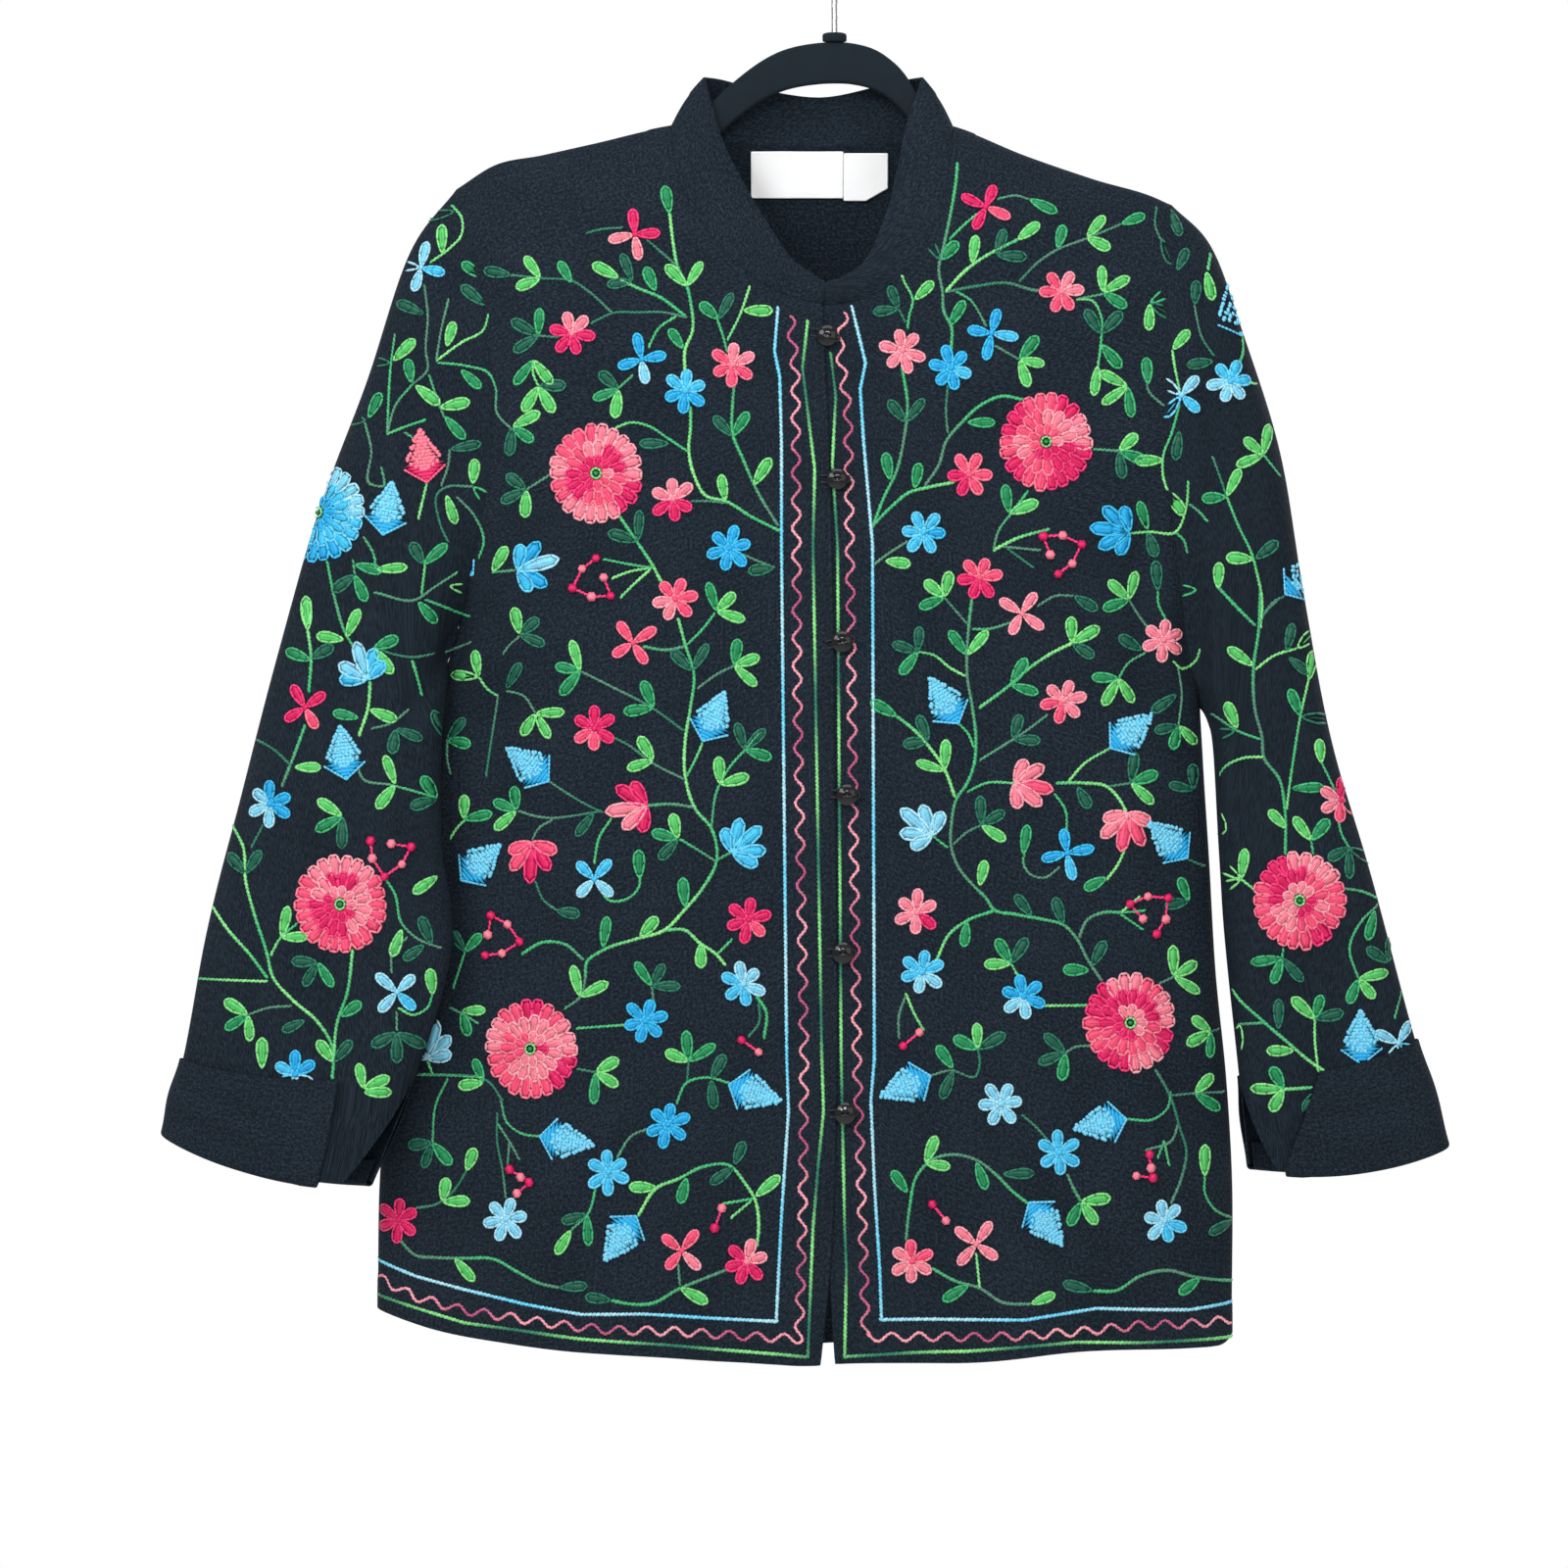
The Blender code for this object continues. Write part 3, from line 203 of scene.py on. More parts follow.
# A sleeve's first points take the body's normals, but not at the underarm. Start and width of that
# change, by the cosine of the turn and by how far the body's cloth faces forwards or back
CLEAR_COSINE = (-0.6, 0.3)
CLEAR_FACING = (0.5, 0.4)
ARMHOLE_STEPS = 56              # ring steps on each side of an armhole
NECK_STEPS = 40                 # of these, the rows of a front that end on the neckline
BACK_NECK_STEPS = 48
SHOULDER_STEPS = 30             # columns of the back along each shoulder
LAP_STEPS = 10                  # columns of a front within its lapped edge
FRONT_STEPS = 56                # columns beyond it
BODY_STEPS = 96                 # rows from the hem up to the underarm
WRIST_SHARE = 0.932             # below this the cuff covers the sleeve, which is slit at the seam
SLEEVE_ROWS = 92
WRIST_ROWS = 14
VENT_OPENING = math.radians(30)
VENT_EXTRA = math.radians(10)   # so that the slit opens as far as the solid's does
print("each sleeve has", len(LEFT_SLEEVE), "sections")

# %% Folds that the solids share
# Folds of the cloth: trough (-) or ridge (+) from one point to another
FOLD_COLUMNS = ("cloth", "x0", "z0", "x1", "z1", "width", "rise")
FOLDS = (
    ("front sleeve_left_front", -205, -404, -240, -455, 9, -4.0),
    ("front", -194, -395, -192, -505, 9, -3.5),
    ("front", -206, -545, -203, -640, 13, 2.5),
    ("front", -150, -832, -158, -560, 24, 3.0),
    ("front", -95, -832, -104, -640, 18, -2.5),
    ("front", 105, -832, 116, -600, 24, 3.0),
    ("front", 55, -832, 50, -690, 18, -2.0),
    ("front", 176, -350, 177, -450, 10, -3.5),
    ("front", 168, -520, 176, -690, 18, 2.5),
    ("front sleeve_right_front", 204, -340, 206, -430, 9, -3.5),
    ("front sleeve_left_front", -203, -200, -197, -310, 10, -2.5),
    ("back sleeve_left_back", -200, -396, -238, -452, 10, -4.0),
    ("back sleeve_right_back", 190, -418, 232, -492, 10, -4.0),
    ("back", -150, -300, -172, -520, 16, -3.0),
    ("back", 128, -310, 150, -540, 16, -3.0),
    ("back", -60, -832, -66, -520, 26, 3.0),
    ("back", 40, -832, 52, -580, 24, -3.0),
    ("back", 150, -832, 158, -610, 22, 3.0),
    ("back", -170, -832, -180, -600, 20, -2.5),
    ("sleeve_left_front", -300, -395, -262, -440, 11, -3.0),
    ("sleeve_left_front", -316, -500, -250, -560, 14, 2.5),
    ("sleeve_left_front", -250, -560, -236, -640, 12, -2.5),
    ("sleeve_left_back", -310, -450, -250, -500, 12, -3.0),
    ("sleeve_left_back", -345, -600, -270, -640, 13, -2.5),
    ("sleeve_right_front", 214, -225, 221, -350, 9, -3.0),
    ("sleeve_right_front", 236, -470, 268, -520, 12, -2.5),
    ("sleeve_right_front", 244, -600, 262, -690, 12, 2.5),
    ("sleeve_right_back", 226, -470, 270, -510, 12, -3.0),
    ("sleeve_right_back", 240, -600, 300, -640, 13, -2.5),
)
FOLD_FADE_DEPTH = 8 * MM        # folds die out where the body thins towards its rims
print("folds:", len(FOLDS))

# %% [markdown]
# ## The form under the cloth
# A hanging jacket is a flattened tube. Its half depth is worked out from where a point lies
# between the two side rims and below the shoulder line, so one formula gives every point of the
# front and the back. Folds are rises or troughs along short lines, added along the surface's normal.

# %% Curves through the tables
def columns(names, rows):
    """The columns of a table by name, numbers only."""
    return {name: np.array([row[k] for row in rows]) for k, name in enumerate(names)}


def smooth(knots, values):
    """A smooth curve through rows of a table: a cubic between each two knots."""
    knots = np.asarray(knots, float)
    values = np.asarray(values, float)
    slopes = np.gradient(values, knots, axis=0)

    def at(t):
        t = np.clip(np.asarray(t, float), knots[0], knots[-1])
        i = np.clip(np.searchsorted(knots, t) - 1, 0, len(knots) - 2)
        span = knots[i + 1] - knots[i]
        s = (t - knots[i]) / span
        if values.ndim > 1:
            s = s[..., None]
            span = span[..., None]
        start = (1 + 2 * s) * (1 - s) ** 2 * values[i] + s * (1 - s) ** 2 * span * slopes[i]
        end = s * s * (3 - 2 * s) * values[i + 1] + s * s * (s - 1) * span * slopes[i + 1]
        return start + end

    return at


def table_curve(names, rows, key, value):
    """One column of a table in millimetres as a smooth curve over another, in metres."""
    table = columns(names, rows)
    return smooth(table[key] * MM, table[value] * MM)


def path_curve(rows):
    """A smooth plane path through the rows of an outline, by its share of the length."""
    table = columns(NECK_COLUMNS, rows)
    points = np.stack((table["x"], table["height"]), axis=-1) * MM
    lengths = np.linalg.norm(np.diff(points, axis=0), axis=1)
    shares = np.concatenate(([0.0], np.cumsum(lengths))) / lengths.sum()
    return smooth(shares, points)


def ease(t):
    """A smooth step from 0 to 1."""
    t = np.clip(t, 0.0, 1.0)
    return t * t * (3 - 2 * t)


def unit(vectors):
    return vectors / np.linalg.norm(vectors, axis=-1, keepdims=True)


left_rim = table_curve(BODY_COLUMNS, BODY_SECTIONS, "height", "left_rim")
right_rim = table_curve(BODY_COLUMNS, BODY_SECTIONS, "height", "right_rim")
half_depth = table_curve(BODY_COLUMNS, BODY_SECTIONS, "height", "half_depth")
shoulder = table_curve(SHOULDER_COLUMNS, SHOULDER_LINE, "x", "height")
hem = table_curve(HEM_COLUMNS, HEM_LINE, "x", "height")
left_edge = table_curve(CLOSURE_COLUMNS, CLOSURE, "height", "left_edge")
right_edge = table_curve(CLOSURE_COLUMNS, CLOSURE, "height", "right_edge")

print("width of the body at the chest, mm:", round(float(right_rim(-0.4) - left_rim(-0.4)) / MM))

# %% The body's depth and its folds
def depth_squared(x, z):
    """Square of the body's half depth. It falls to zero at the side and shoulder rims."""
    middle = (left_rim(z) + right_rim(z)) / 2
    half_width = (right_rim(z) - left_rim(z)) / 2
    across = (x - middle) / half_width
    below = np.minimum((shoulder(x) - z) / SHOULDER_ROUNDING, 1.0)
    return half_depth(z) ** 2 * (1 - across ** 4) * (1 - (1 - below) ** 3)


def set_back(x, z):
    """How far the left side's seam lies behind the plane of the hanger."""
    return (SIDE_SET_BACK * ease((-x - SET_BACK_START) / SET_BACK_RUN)
            * ease((-z - SET_BACK_TOP) / SET_BACK_DROP))


def fold_rise(cloth, x, z):
    """Height of the folds of one cloth, from the table of folds."""
    total = np.zeros_like(x)
    for row in FOLDS:
        fold = dict(zip(FOLD_COLUMNS, row))
        if cloth not in fold["cloth"].split():
            continue
        start = np.array((fold["x0"], fold["z0"])) * MM
        run = np.array((fold["x1"], fold["z1"])) * MM - start
        along = np.clip(((x - start[0]) * run[0] + (z - start[1]) * run[1]) / (run @ run), 0, 1)
        apart = np.hypot(x - start[0] - along * run[0], z - start[1] - along * run[1])
        total += fold["rise"] * MM * np.exp(-(apart / (fold["width"] * MM)) ** 2)
    return total


print("half depth at the chest, mm:", round(math.sqrt(float(depth_squared(0.0, -0.4))) / MM, 1))

# %% [markdown]
# ## Creases
# The solids carry the main folds. Cotton that was folded and worn has many smaller ones: soft
# troughs and ridges, each a little bowed, deeper in the middle than at its ends, and a faint
# uneven crumple in between. Each row of the table is one crease of a cloth. What the
# photograph hides gets creases of the same kind.

# %% Small creases
CREASE_COLUMNS = ("x0", "z0", "x1", "z1", "bow", "width", "rise")
CREASES = {
    "front": (
        (-180, -300, -184, -395, 3, 5, -0.9), (-168, -420, -176, -540, -4, 6, -0.8),
        (-120, -300, -138, -430, 6, 9, -0.7), (-60, -330, -70, -470, -5, 10, 0.7),
        (-120, -600, -126, -760, 4, 8, -0.8), (-70, -600, -62, -780, -5, 9, 0.8),
        (-40, -560, -44, -720, 4, 7, -0.6), (-185, -640, -182, -800, -4, 8, -0.9),
        (60, -300, 72, -440, 5, 9, -0.7), (120, -330, 126, -450, -4, 9, 0.7),
        (88, -560, 84, -720, 4, 9, -0.7), (140, -560, 146, -740, -4, 8, -0.8),
        (190, -560, 196, -740, 3, 7, -0.8), (40, -620, 38, -790, -3, 8, 0.7),
        (-150, -170, -140, -260, 4, 10, -0.5), (140, -180, 150, -270, -4, 10, -0.5),
    ),
    "back": (
        (-110, -260, -120, -420, 5, 10, -0.8), (-30, -240, -36, -420, -6, 11, 0.8),
        (70, -260, 84, -430, 5, 10, -0.8), (-150, -560, -146, -740, 4, 9, -0.9),
        (-90, -540, -96, -760, -5, 9, 0.8), (0, -560, 6, -780, 5, 10, -0.8),
        (90, -560, 84, -760, -4, 9, 0.8), (190, -560, 186, -740, 4, 8, -0.8),
    ),
    "sleeve_left_front": (
        (-255, -250, -240, -320, 4, 8, -0.7), (-290, -430, -252, -462, 5, 6, -1.0),
        (-300, -520, -262, -535, 4, 6, 0.8), (-330, -560, -290, -590, 4, 6, -0.9),
        (-345, -620, -300, -640, -4, 6, 0.8), (-380, -668, -300, -712, -4, 4, -1.9),
        (-378, -682, -318, -708, -3, 4, 1.4), (-376, -692, -335, -708, -2, 4, -1.3),
    ),
    "sleeve_left_back": (
        (-380, -672, -300, -700, 4, 5, -1.4), (-280, -340, -240, -380, 5, 7, -0.9),
        (-320, -540, -260, -560, 5, 7, 0.9), (-340, -640, -280, -680, 5, 7, -0.9),
    ),
    "sleeve_right_front": (
        (238, -380, 262, -420, 4, 6, -0.8), (246, -430, 240, -560, 4, 7, 0.8),
        (262, -560, 290, -590, 4, 6, -0.8), (280, -620, 310, -640, -4, 6, 0.8),
        (262, -690, 348, -676, 4, 5, -1.5), (290, -704, 350, -692, 3, 4, 1.2),
    ),
    "sleeve_right_back": (
        (256, -680, 340, -690, 4, 5, -1.4), (236, -360, 260, -400, 4, 7, -0.8),
        (250, -560, 290, -580, 4, 7, 0.8),
    ),
}
CRUMPLE = 0.28 * MM
CRUMPLE_SIZE = 24 * MM


def crease_rise(cloth, x, z):
    """Height of the small creases of one cloth."""
    total = np.zeros_like(x)
    for row in CREASES[cloth]:
        crease = dict(zip(CREASE_COLUMNS, row))
        start = np.array((crease["x0"], crease["z0"])) * MM
        run = np.array((crease["x1"], crease["z1"])) * MM - start
        length = np.hypot(*run)
        along = ((x - start[0]) * run[0] + (z - start[1]) * run[1]) / length ** 2
        share = np.clip(along, 0, 1)
        aside = ((x - start[0]) * run[1] - (z - start[1]) * run[0]) / length
        aside = aside - crease["bow"] * MM * 4 * share * (1 - share)
        apart = np.hypot(aside, (along - share) * length)
        depth = (0.4 + 0.6 * np.sin(np.pi * share)) * (1 + 0.25 * np.sin(9 * share + crease["x0"]))
        total += crease["rise"] * MM * depth * np.exp(-(apart / (crease["width"] * MM)) ** 2)
    return total


def crumple(x, z):
    """A faint uneven surface, from a few sines that bend each other."""
    u = x / CRUMPLE_SIZE
    v = z / CRUMPLE_SIZE
    slow = np.sin(1.9 * u + 1.4 * np.sin(1.1 * v)) * np.sin(1.3 * v + 1.7 * np.sin(0.8 * u + 1))
    quick = np.sin(4.1 * u - 1.2 * v + 1.5 * np.sin(2.3 * v)) * np.sin(2.9 * v + 1.3 * u)
    return CRUMPLE * (slow + 0.35 * quick)


def relief(cloth, x, z):
    """Everything that stands up from a cloth's plain form, or sinks into it."""
    return fold_rise(cloth, x, z) + crease_rise(cloth, x, z) + crumple(x, z)


print(len(FOLDS), "main folds and", sum(map(len, CREASES.values())), "small creases")

# %% Points of the body and of its armholes
def lap(x, z):
    """How far the left front is raised above the right one."""
    return LAP_LIFT * ease((x - left_edge(z) + LAP_WIDTH + LAP_SLOPE) / LAP_SLOPE)


def body_surface(side, x, z, lapped=False):
    """Points and outward normals of the body's cloth: side is -1 in front and 1 behind."""
    step = 0.2 * MM
    squared = np.maximum(depth_squared(x, z), 0.0)
    depth = side * np.sqrt(squared)
    slope_x = (depth_squared(x + step, z) - depth_squared(x - step, z)) / (4 * step)
    slope_z = (depth_squared(x, z + step) - depth_squared(x, z - step)) / (4 * step)
    normals = unit(np.stack((-slope_x, depth, -slope_z), axis=-1))
    fade = ease(np.abs(depth) / FOLD_FADE_DEPTH)
    rise = relief("front" if side < 0 else "back", x, z) * fade
    if lapped:
        rise = rise + lap(x, z)
    y = set_back(x, z) + depth + side * SEAM_GAP / 2
    return np.stack((x, y, z), axis=-1) + normals * rise[..., None], normals


def armhole(left):
    """In-plane points of an armhole seam, from the underarm up to the shoulder tip."""
    tip_x = LEFT_TIP_X if left else RIGHT_TIP_X
    low = LEFT_UNDERARM if left else RIGHT_UNDERARM
    bow = LEFT_ARMHOLE_BOW if left else RIGHT_ARMHOLE_BOW
    rim = left_rim(low) if left else right_rim(low)
    down = (1 + np.cos(np.pi * np.arange(ARMHOLE_STEPS + 1) / ARMHOLE_STEPS)) / 2
    x = tip_x + (rim - tip_x) * down + bow * np.sin(np.pi * down)
    z = shoulder(tip_x) + (low - shoulder(tip_x)) * down
    return np.stack((x, z), axis=-1)


def fill_patch(left, right, bottom, top, across, up):
    """Plane points of a four-sided panel, filled in between its four edges."""
    across = across[None, :, None]
    up = up[:, None, None]
    sides = (1 - across) * left[:, None] + across * right[:, None]
    ends = (1 - up) * bottom[None] + up * top[None]
    corners = ((1 - up) * ((1 - across) * bottom[0] + across * bottom[-1])
               + up * ((1 - across) * top[0] + across * top[-1]))
    return sides + ends - corners


def crowded(count):
    """Shares from 0 to 1 that crowd together at 1, where a surface turns over."""
    return np.sin(np.pi / 2 * np.linspace(0, 1, count + 1))


def crowded_ends(count):
    """Shares from 0 to 1 that crowd together at both ends."""
    return (1 - np.cos(np.pi * np.linspace(0, 1, count + 1))) / 2


def body_rows(low, underarm):
    """Heights of the plain rows between hem and underarm."""
    return np.linspace(low, underarm, BODY_STEPS + 1)


print("armhole seam, points:", 2 * ARMHOLE_STEPS)

# %% Points of a sleeve
def armhole_ring(left):
    """The armhole seam all round: points and normals of the body's cloth there."""
    plane = armhole(left)[::-1]
    front, front_normals = body_surface(-1, plane[:, 0], plane[:, 1])
    behind, behind_normals = body_surface(1, plane[:, 0], plane[:, 1])
    ring = np.concatenate((front, behind[1:-1][::-1]))
    for end in (0, ARMHOLE_STEPS):
        ring[end, 1] = set_back(*plane[end])
    return ring, np.concatenate((front_normals, behind_normals[1:-1][::-1]))


def sleeve_sections(left):
    """The sleeve's table as smooth curves over the share of its length."""
    table = columns(SLEEVE_COLUMNS, LEFT_SLEEVE if left else RIGHT_SLEEVE)
    table = {name: values * (1 if name == "share" else MM) for name, values in table.items()}
    if left:
        table["outer_y"][0] = set_back(*armhole(left)[-1])
        table["inner_y"][0] = set_back(*armhole(left)[0])
    outer = np.stack([table["outer_" + axis] for axis in "xyz"], axis=-1)
    inner = np.stack([table["inner_" + axis] for axis in "xyz"], axis=-1)
    both = np.concatenate((outer, inner, table["half_depth"][:, None], table["sag"][:, None]), axis=1)
    return smooth(table["share"], both)


def sleeve_surface(left, shares, turns):
    """Points and outward normals of a sleeve. turns run from the outer rim over the front."""
    ring, ring_normals = armhole_ring(left)
    sections = sleeve_sections(left)
    ring_turns = 2 * np.pi * np.arange(len(ring) + 1) / len(ring)
    start = np.concatenate((ring, ring[:1]))
    deviation = smooth(ring_turns, start - plain_section(sections(0.0), ring_turns))
    cloth = "sleeve_left" if left else "sleeve_right"

    def points_at(share, turn):
        flat = plain_section(sections(share), turn)
        fade = 1 - ease(share / ARMHOLE_BLEND)
        return flat + fade[..., None] * deviation(turn % (2 * np.pi))

    share = np.broadcast_to(shares, turns.shape)
    base = points_at(share, turns)
    along = (points_at(np.minimum(share + SLOPE_STEP, 1), turns)
             - points_at(np.maximum(share - SLOPE_STEP, 0), turns))
    around = points_at(share, turns + SLOPE_STEP) - points_at(share, turns - SLOPE_STEP)
    normals = unit(np.cross(along, around)) * (1 if left else -1)
    seam_normals = smooth(ring_turns, np.concatenate((ring_normals, ring_normals[:1])))
    body_normals = seam_normals(turns % (2 * np.pi))
    clear_of_underarm = np.maximum(
        ease((np.cos(turns) - CLEAR_COSINE[0]) / CLEAR_COSINE[1]),
        ease((np.abs(body_normals[..., 1]) - CLEAR_FACING[0]) / CLEAR_FACING[1]))
    at_seam = ((1 - ease(share / SEAM_BLEND)) * clear_of_underarm)[..., None]
    normals = unit(normals * (1 - at_seam) + body_normals * at_seam)
    facing = np.where(np.sin(turns) > 0, 1.0, 0.0)
    rise = (relief(cloth + "_front", base[..., 0], base[..., 2]) * facing
            + relief(cloth + "_back", base[..., 0], base[..., 2]) * (1 - facing))
    rise = rise * ease(np.abs(np.sin(turns)) / FOLD_RIM) * ease(share / FOLD_BLEND)
    return base + normals * rise[..., None], normals


def plain_section(section, turn):
    """One flattened ring of a sleeve between its outer and its inner rim."""
    outer = section[..., 0:3]
    inner = section[..., 3:6]
    depth = section[..., 6]
    sag = section[..., 7]
    cosine = np.cos(turn)
    sine = np.sin(turn)
    points = (outer + inner) / 2 + (outer - inner) / 2 * cosine[..., None]
    bulge = sine * np.sqrt(1 + cosine ** 2) * depth
    return points + np.stack((bulge * 0, -bulge, -sag * sine ** 2), axis=-1)


print("sleeve seam closed to", SEAM_GAP / MM, "mm")

# %% [markdown]
# ## A sheet of cloth
# Cloth has a thickness of under a millimetre, but it shows at every hem, so each piece is a thin
# closed shell and not a bare surface. A grid of points gives the outer face. The inner face lies
# behind it along the normals, hems are a little thicker, and a rounded rim closes the edge.
# The UV map "cloth" is measured in metres along the grid, so a weave keeps its size on it.

# %% Hems, cells and rims
CLOTH_THICKNESS = 0.9 * MM
HEM_WIDTH = 13 * MM
HEM_STEP = 1.2 * MM
HEM_RISE = 0.45 * MM
SHARP_ANGLE = math.radians(42)
RIM_ROUNDING = 0.9              # how far a hem's rim stands out, as a share of half its thickness


def lengths_along(points, axis):
    """Running length along one axis of a grid of points."""
    steps = np.linalg.norm(np.diff(points, axis=axis), axis=-1)
    start = np.zeros_like(np.take(steps, [0], axis=axis))
    return np.concatenate((start, np.cumsum(steps, axis=axis)), axis=axis)


def hem_band(down, across, hems):
    """1 in the band beside each hemmed edge and 0 on the plain cloth."""
    band = np.zeros_like(down)
    apart = {"top": down, "bottom": down[-1:] - down, "start": across, "end": across[:, -1:] - across}
    for edge in hems:
        band = np.maximum(band, 1 - ease((apart[edge] - HEM_WIDTH) / HEM_STEP + 0.5))
    return band


def open_edges(cells):
    """Directed edges that belong to one cell only."""
    edges = {}
    for cell in cells:
        for start, end in zip(cell, cell[1:] + cell[:1]):
            edges[(start, end)] = True
    return [edge for edge in edges if (edge[1], edge[0]) not in edges]


def grid_cells(across, down, count, wrap, gaps):
    """Point numbers of each cell of a grid of count columns, and the map at its corners."""
    rows = len(across)
    index = np.arange(rows * count).reshape(rows, count)
    cells = []
    corner_maps = []
    for row in range(rows - 1):
        for column in range(count if wrap else count - 1):
            if (row, column) in gaps:
                continue
            onward = (column + 1) % count
            cells.append((index[row, column], index[row, onward],
                          index[row + 1, onward], index[row + 1, column]))
            corners = ((row, column), (row, column + 1), (row + 1, column + 1), (row + 1, column))
            corner_maps.append([(across[corner], down[corner]) for corner in corners])
    return cells, corner_maps


def rim_points(points, normals, rim, count):
    """Points that round the rim between both faces, and the number of each by its corner."""
    push = {}
    for start, end in rim:
        away = np.cross(points[end] - points[start], normals[start])
        away = away / max(np.linalg.norm(away), 1e-9)
        for corner in (start, end):
            push[corner] = push.get(corner, 0) + away
    middle = {}
    extra = []
    for corner, away in push.items():
        middle[corner] = 2 * count + len(extra)
        half = np.linalg.norm(points[corner] - points[corner + count]) / 2
        extra.append((points[corner] + points[corner + count]) / 2
                     + away / max(np.linalg.norm(away), 1e-9) * RIM_ROUNDING * half)
    return np.array(extra), middle


print("hems are", HEM_WIDTH / MM, "mm wide")

# %% The shell builder
def cloth_object(name, outer, normals, material, hems=(), wrap=False, gaps=()):
    """A thin closed sheet. Rows run down the first axis of the grid, columns along the second."""
    rows, columns_across = outer.shape[:2]
    count = rows * columns_across
    closed = np.concatenate((outer, outer[:, :1]), axis=1) if wrap else outer
    across = lengths_along(closed, 1)
    down = lengths_along(closed, 0)
    band = hem_band(down, across, hems)[:, :columns_across]
    outer = outer + normals * (HEM_RISE * band)[..., None]
    inner = outer - normals * (CLOTH_THICKNESS + HEM_RISE * band)[..., None]
    points = np.concatenate((outer.reshape(-1, 3), inner.reshape(-1, 3)))
    normals = normals.reshape(-1, 3)

    cells, corner_maps = grid_cells(across, down, columns_across, wrap, gaps)
    first = [points[k] for k in cells[0]]
    if np.dot(np.cross(first[1] - first[0], first[2] - first[0]), normals[cells[0][0]]) < 0:
        cells = [cell[::-1] for cell in cells]
        corner_maps = [corners[::-1] for corners in corner_maps]

    rim = open_edges(cells)
    extra, middle = rim_points(points, normals, rim, count)
    points = np.concatenate((points, extra))
    faces = list(cells) + [tuple(corner + count for corner in cell[::-1]) for cell in cells]
    maps = corner_maps + [corners[::-1] for corners in corner_maps]
    corner_of = {}
    for cell, corners in zip(cells, corner_maps):
        corner_of.update(zip(cell, corners))
    for start, end in rim:
        a, b = corner_of[start], corner_of[end]
        faces.append((end, start, middle[start], middle[end]))
        faces.append((middle[end], middle[start], start + count, end + count))
        maps += [[b, a, a, b], [b, a, a, b]]

    mesh = bpy.data.meshes.new(name)
    mesh.from_pydata(points.tolist(), [], [tuple(int(k) for k in face) for face in faces])
    layer = mesh.uv_layers.new(name="cloth")
    layer.data.foreach_set("uv", np.array(maps, dtype=np.float32).ravel())
    mesh.shade_smooth()
    mesh.set_sharp_from_angle(angle=SHARP_ANGLE)
    mesh.materials.append(material)
    return in_scene(name, mesh)


def triangles(piece):
    """How many triangles a piece has."""
    return sum(len(face.vertices) - 2 for face in piece.data.polygons)


print("a piece of cloth is", round(CLOTH_THICKNESS / MM, 2), "mm thick")

# %% [markdown]
# ## Finishes
# A finish is a small graph of shader nodes. Written as sums in Python the graphs stay short: a
# wrapped socket knows plus, minus and times, and adds the Math nodes itself. Everything that
# isn't arithmetic on numbers comes from one method that takes the node's type and its settings.

# %% Shader sums
class Reading:
    """One socket of a finish, on which sums can be written."""

    def __init__(self, finish, socket):
        self.finish = finish
        self.socket = socket

    def maths(self, operation, *others):
        inputs = dict(enumerate((self,) + others))
        return self.finish.node("ShaderNodeMath", {"operation": operation}, inputs)

    def __add__(self, other):
        return self.maths("ADD", other)

    __radd__ = __add__

    def __mul__(self, other):
        return self.maths("MULTIPLY", other)

    __rmul__ = __mul__

    def __sub__(self, other):
        return self.maths("SUBTRACT", other)

    def __rsub__(self, other):
        return (self * -1) + other

    def __abs__(self):
        return self.maths("ABSOLUTE")

    def __gt__(self, other):
        return self.maths("GREATER_THAN", other)

    def sine(self):
        return self.maths("SINE")

    def least(self, other):
        return self.maths("MINIMUM", other)


class Finish:
    """A material whose nodes are added one by one."""

    def __init__(self, name):
        self.material = bpy.data.materials.new(name)
        self.material.use_nodes = True
        self.tree = self.material.node_tree
        self.surface = self.tree.nodes["Principled BSDF"]

    def node(self, kind, settings=None, inputs=None, output=0):
        made = self.tree.nodes.new(kind)
        for setting, value in (settings or {}).items():
            setattr(made, setting, value)
        for socket, value in (inputs or {}).items():
            self.feed(made.inputs[socket], value)
        return Reading(self, made.outputs[output])

    def feed(self, socket, value):
        if isinstance(value, Reading):
            self.tree.links.new(value.socket, socket)
        else:
            socket.default_value = value

    def place(self):
        """Where a point of the piece lies, in metres."""
        return self.node("ShaderNodeTexCoord", output="Object")

    def uv_map(self, name):
        return self.node("ShaderNodeUVMap", {"uv_map": name})

    def part(self, vector, axis):
        """One of the three numbers of a vector."""
        return self.node("ShaderNodeSeparateXYZ", {}, {0: vector}, output=axis)

    def mix(self, factor, first, second, blend="MIX"):
        """A mix of two colours."""
        return self.node("ShaderNodeMix", {"data_type": "RGBA", "blend_type": blend},
                         {"Factor": factor, 6: colour_of(first), 7: colour_of(second)}, output=2)

    def noise(self, where, scale, detail=2.0, roughness=0.5):
        return self.node("ShaderNodeTexNoise", {},
                         {"Vector": where, "Scale": scale, "Detail": detail, "Roughness": roughness})

    def stretched(self, where, scale):
        return self.node("ShaderNodeVectorMath", {"operation": "MULTIPLY"}, {0: where, 1: scale})

    def bump(self, height, distance, strength):
        return self.node("ShaderNodeBump", {},
                         {"Height": height, "Distance": distance, "Strength": strength})

    def set(self, **values):
        """Values of the shader's own sockets, by their names with _ for a space."""
        for name, value in values.items():
            self.feed(self.surface.inputs[name.replace("_", " ")], value)
        return self.material


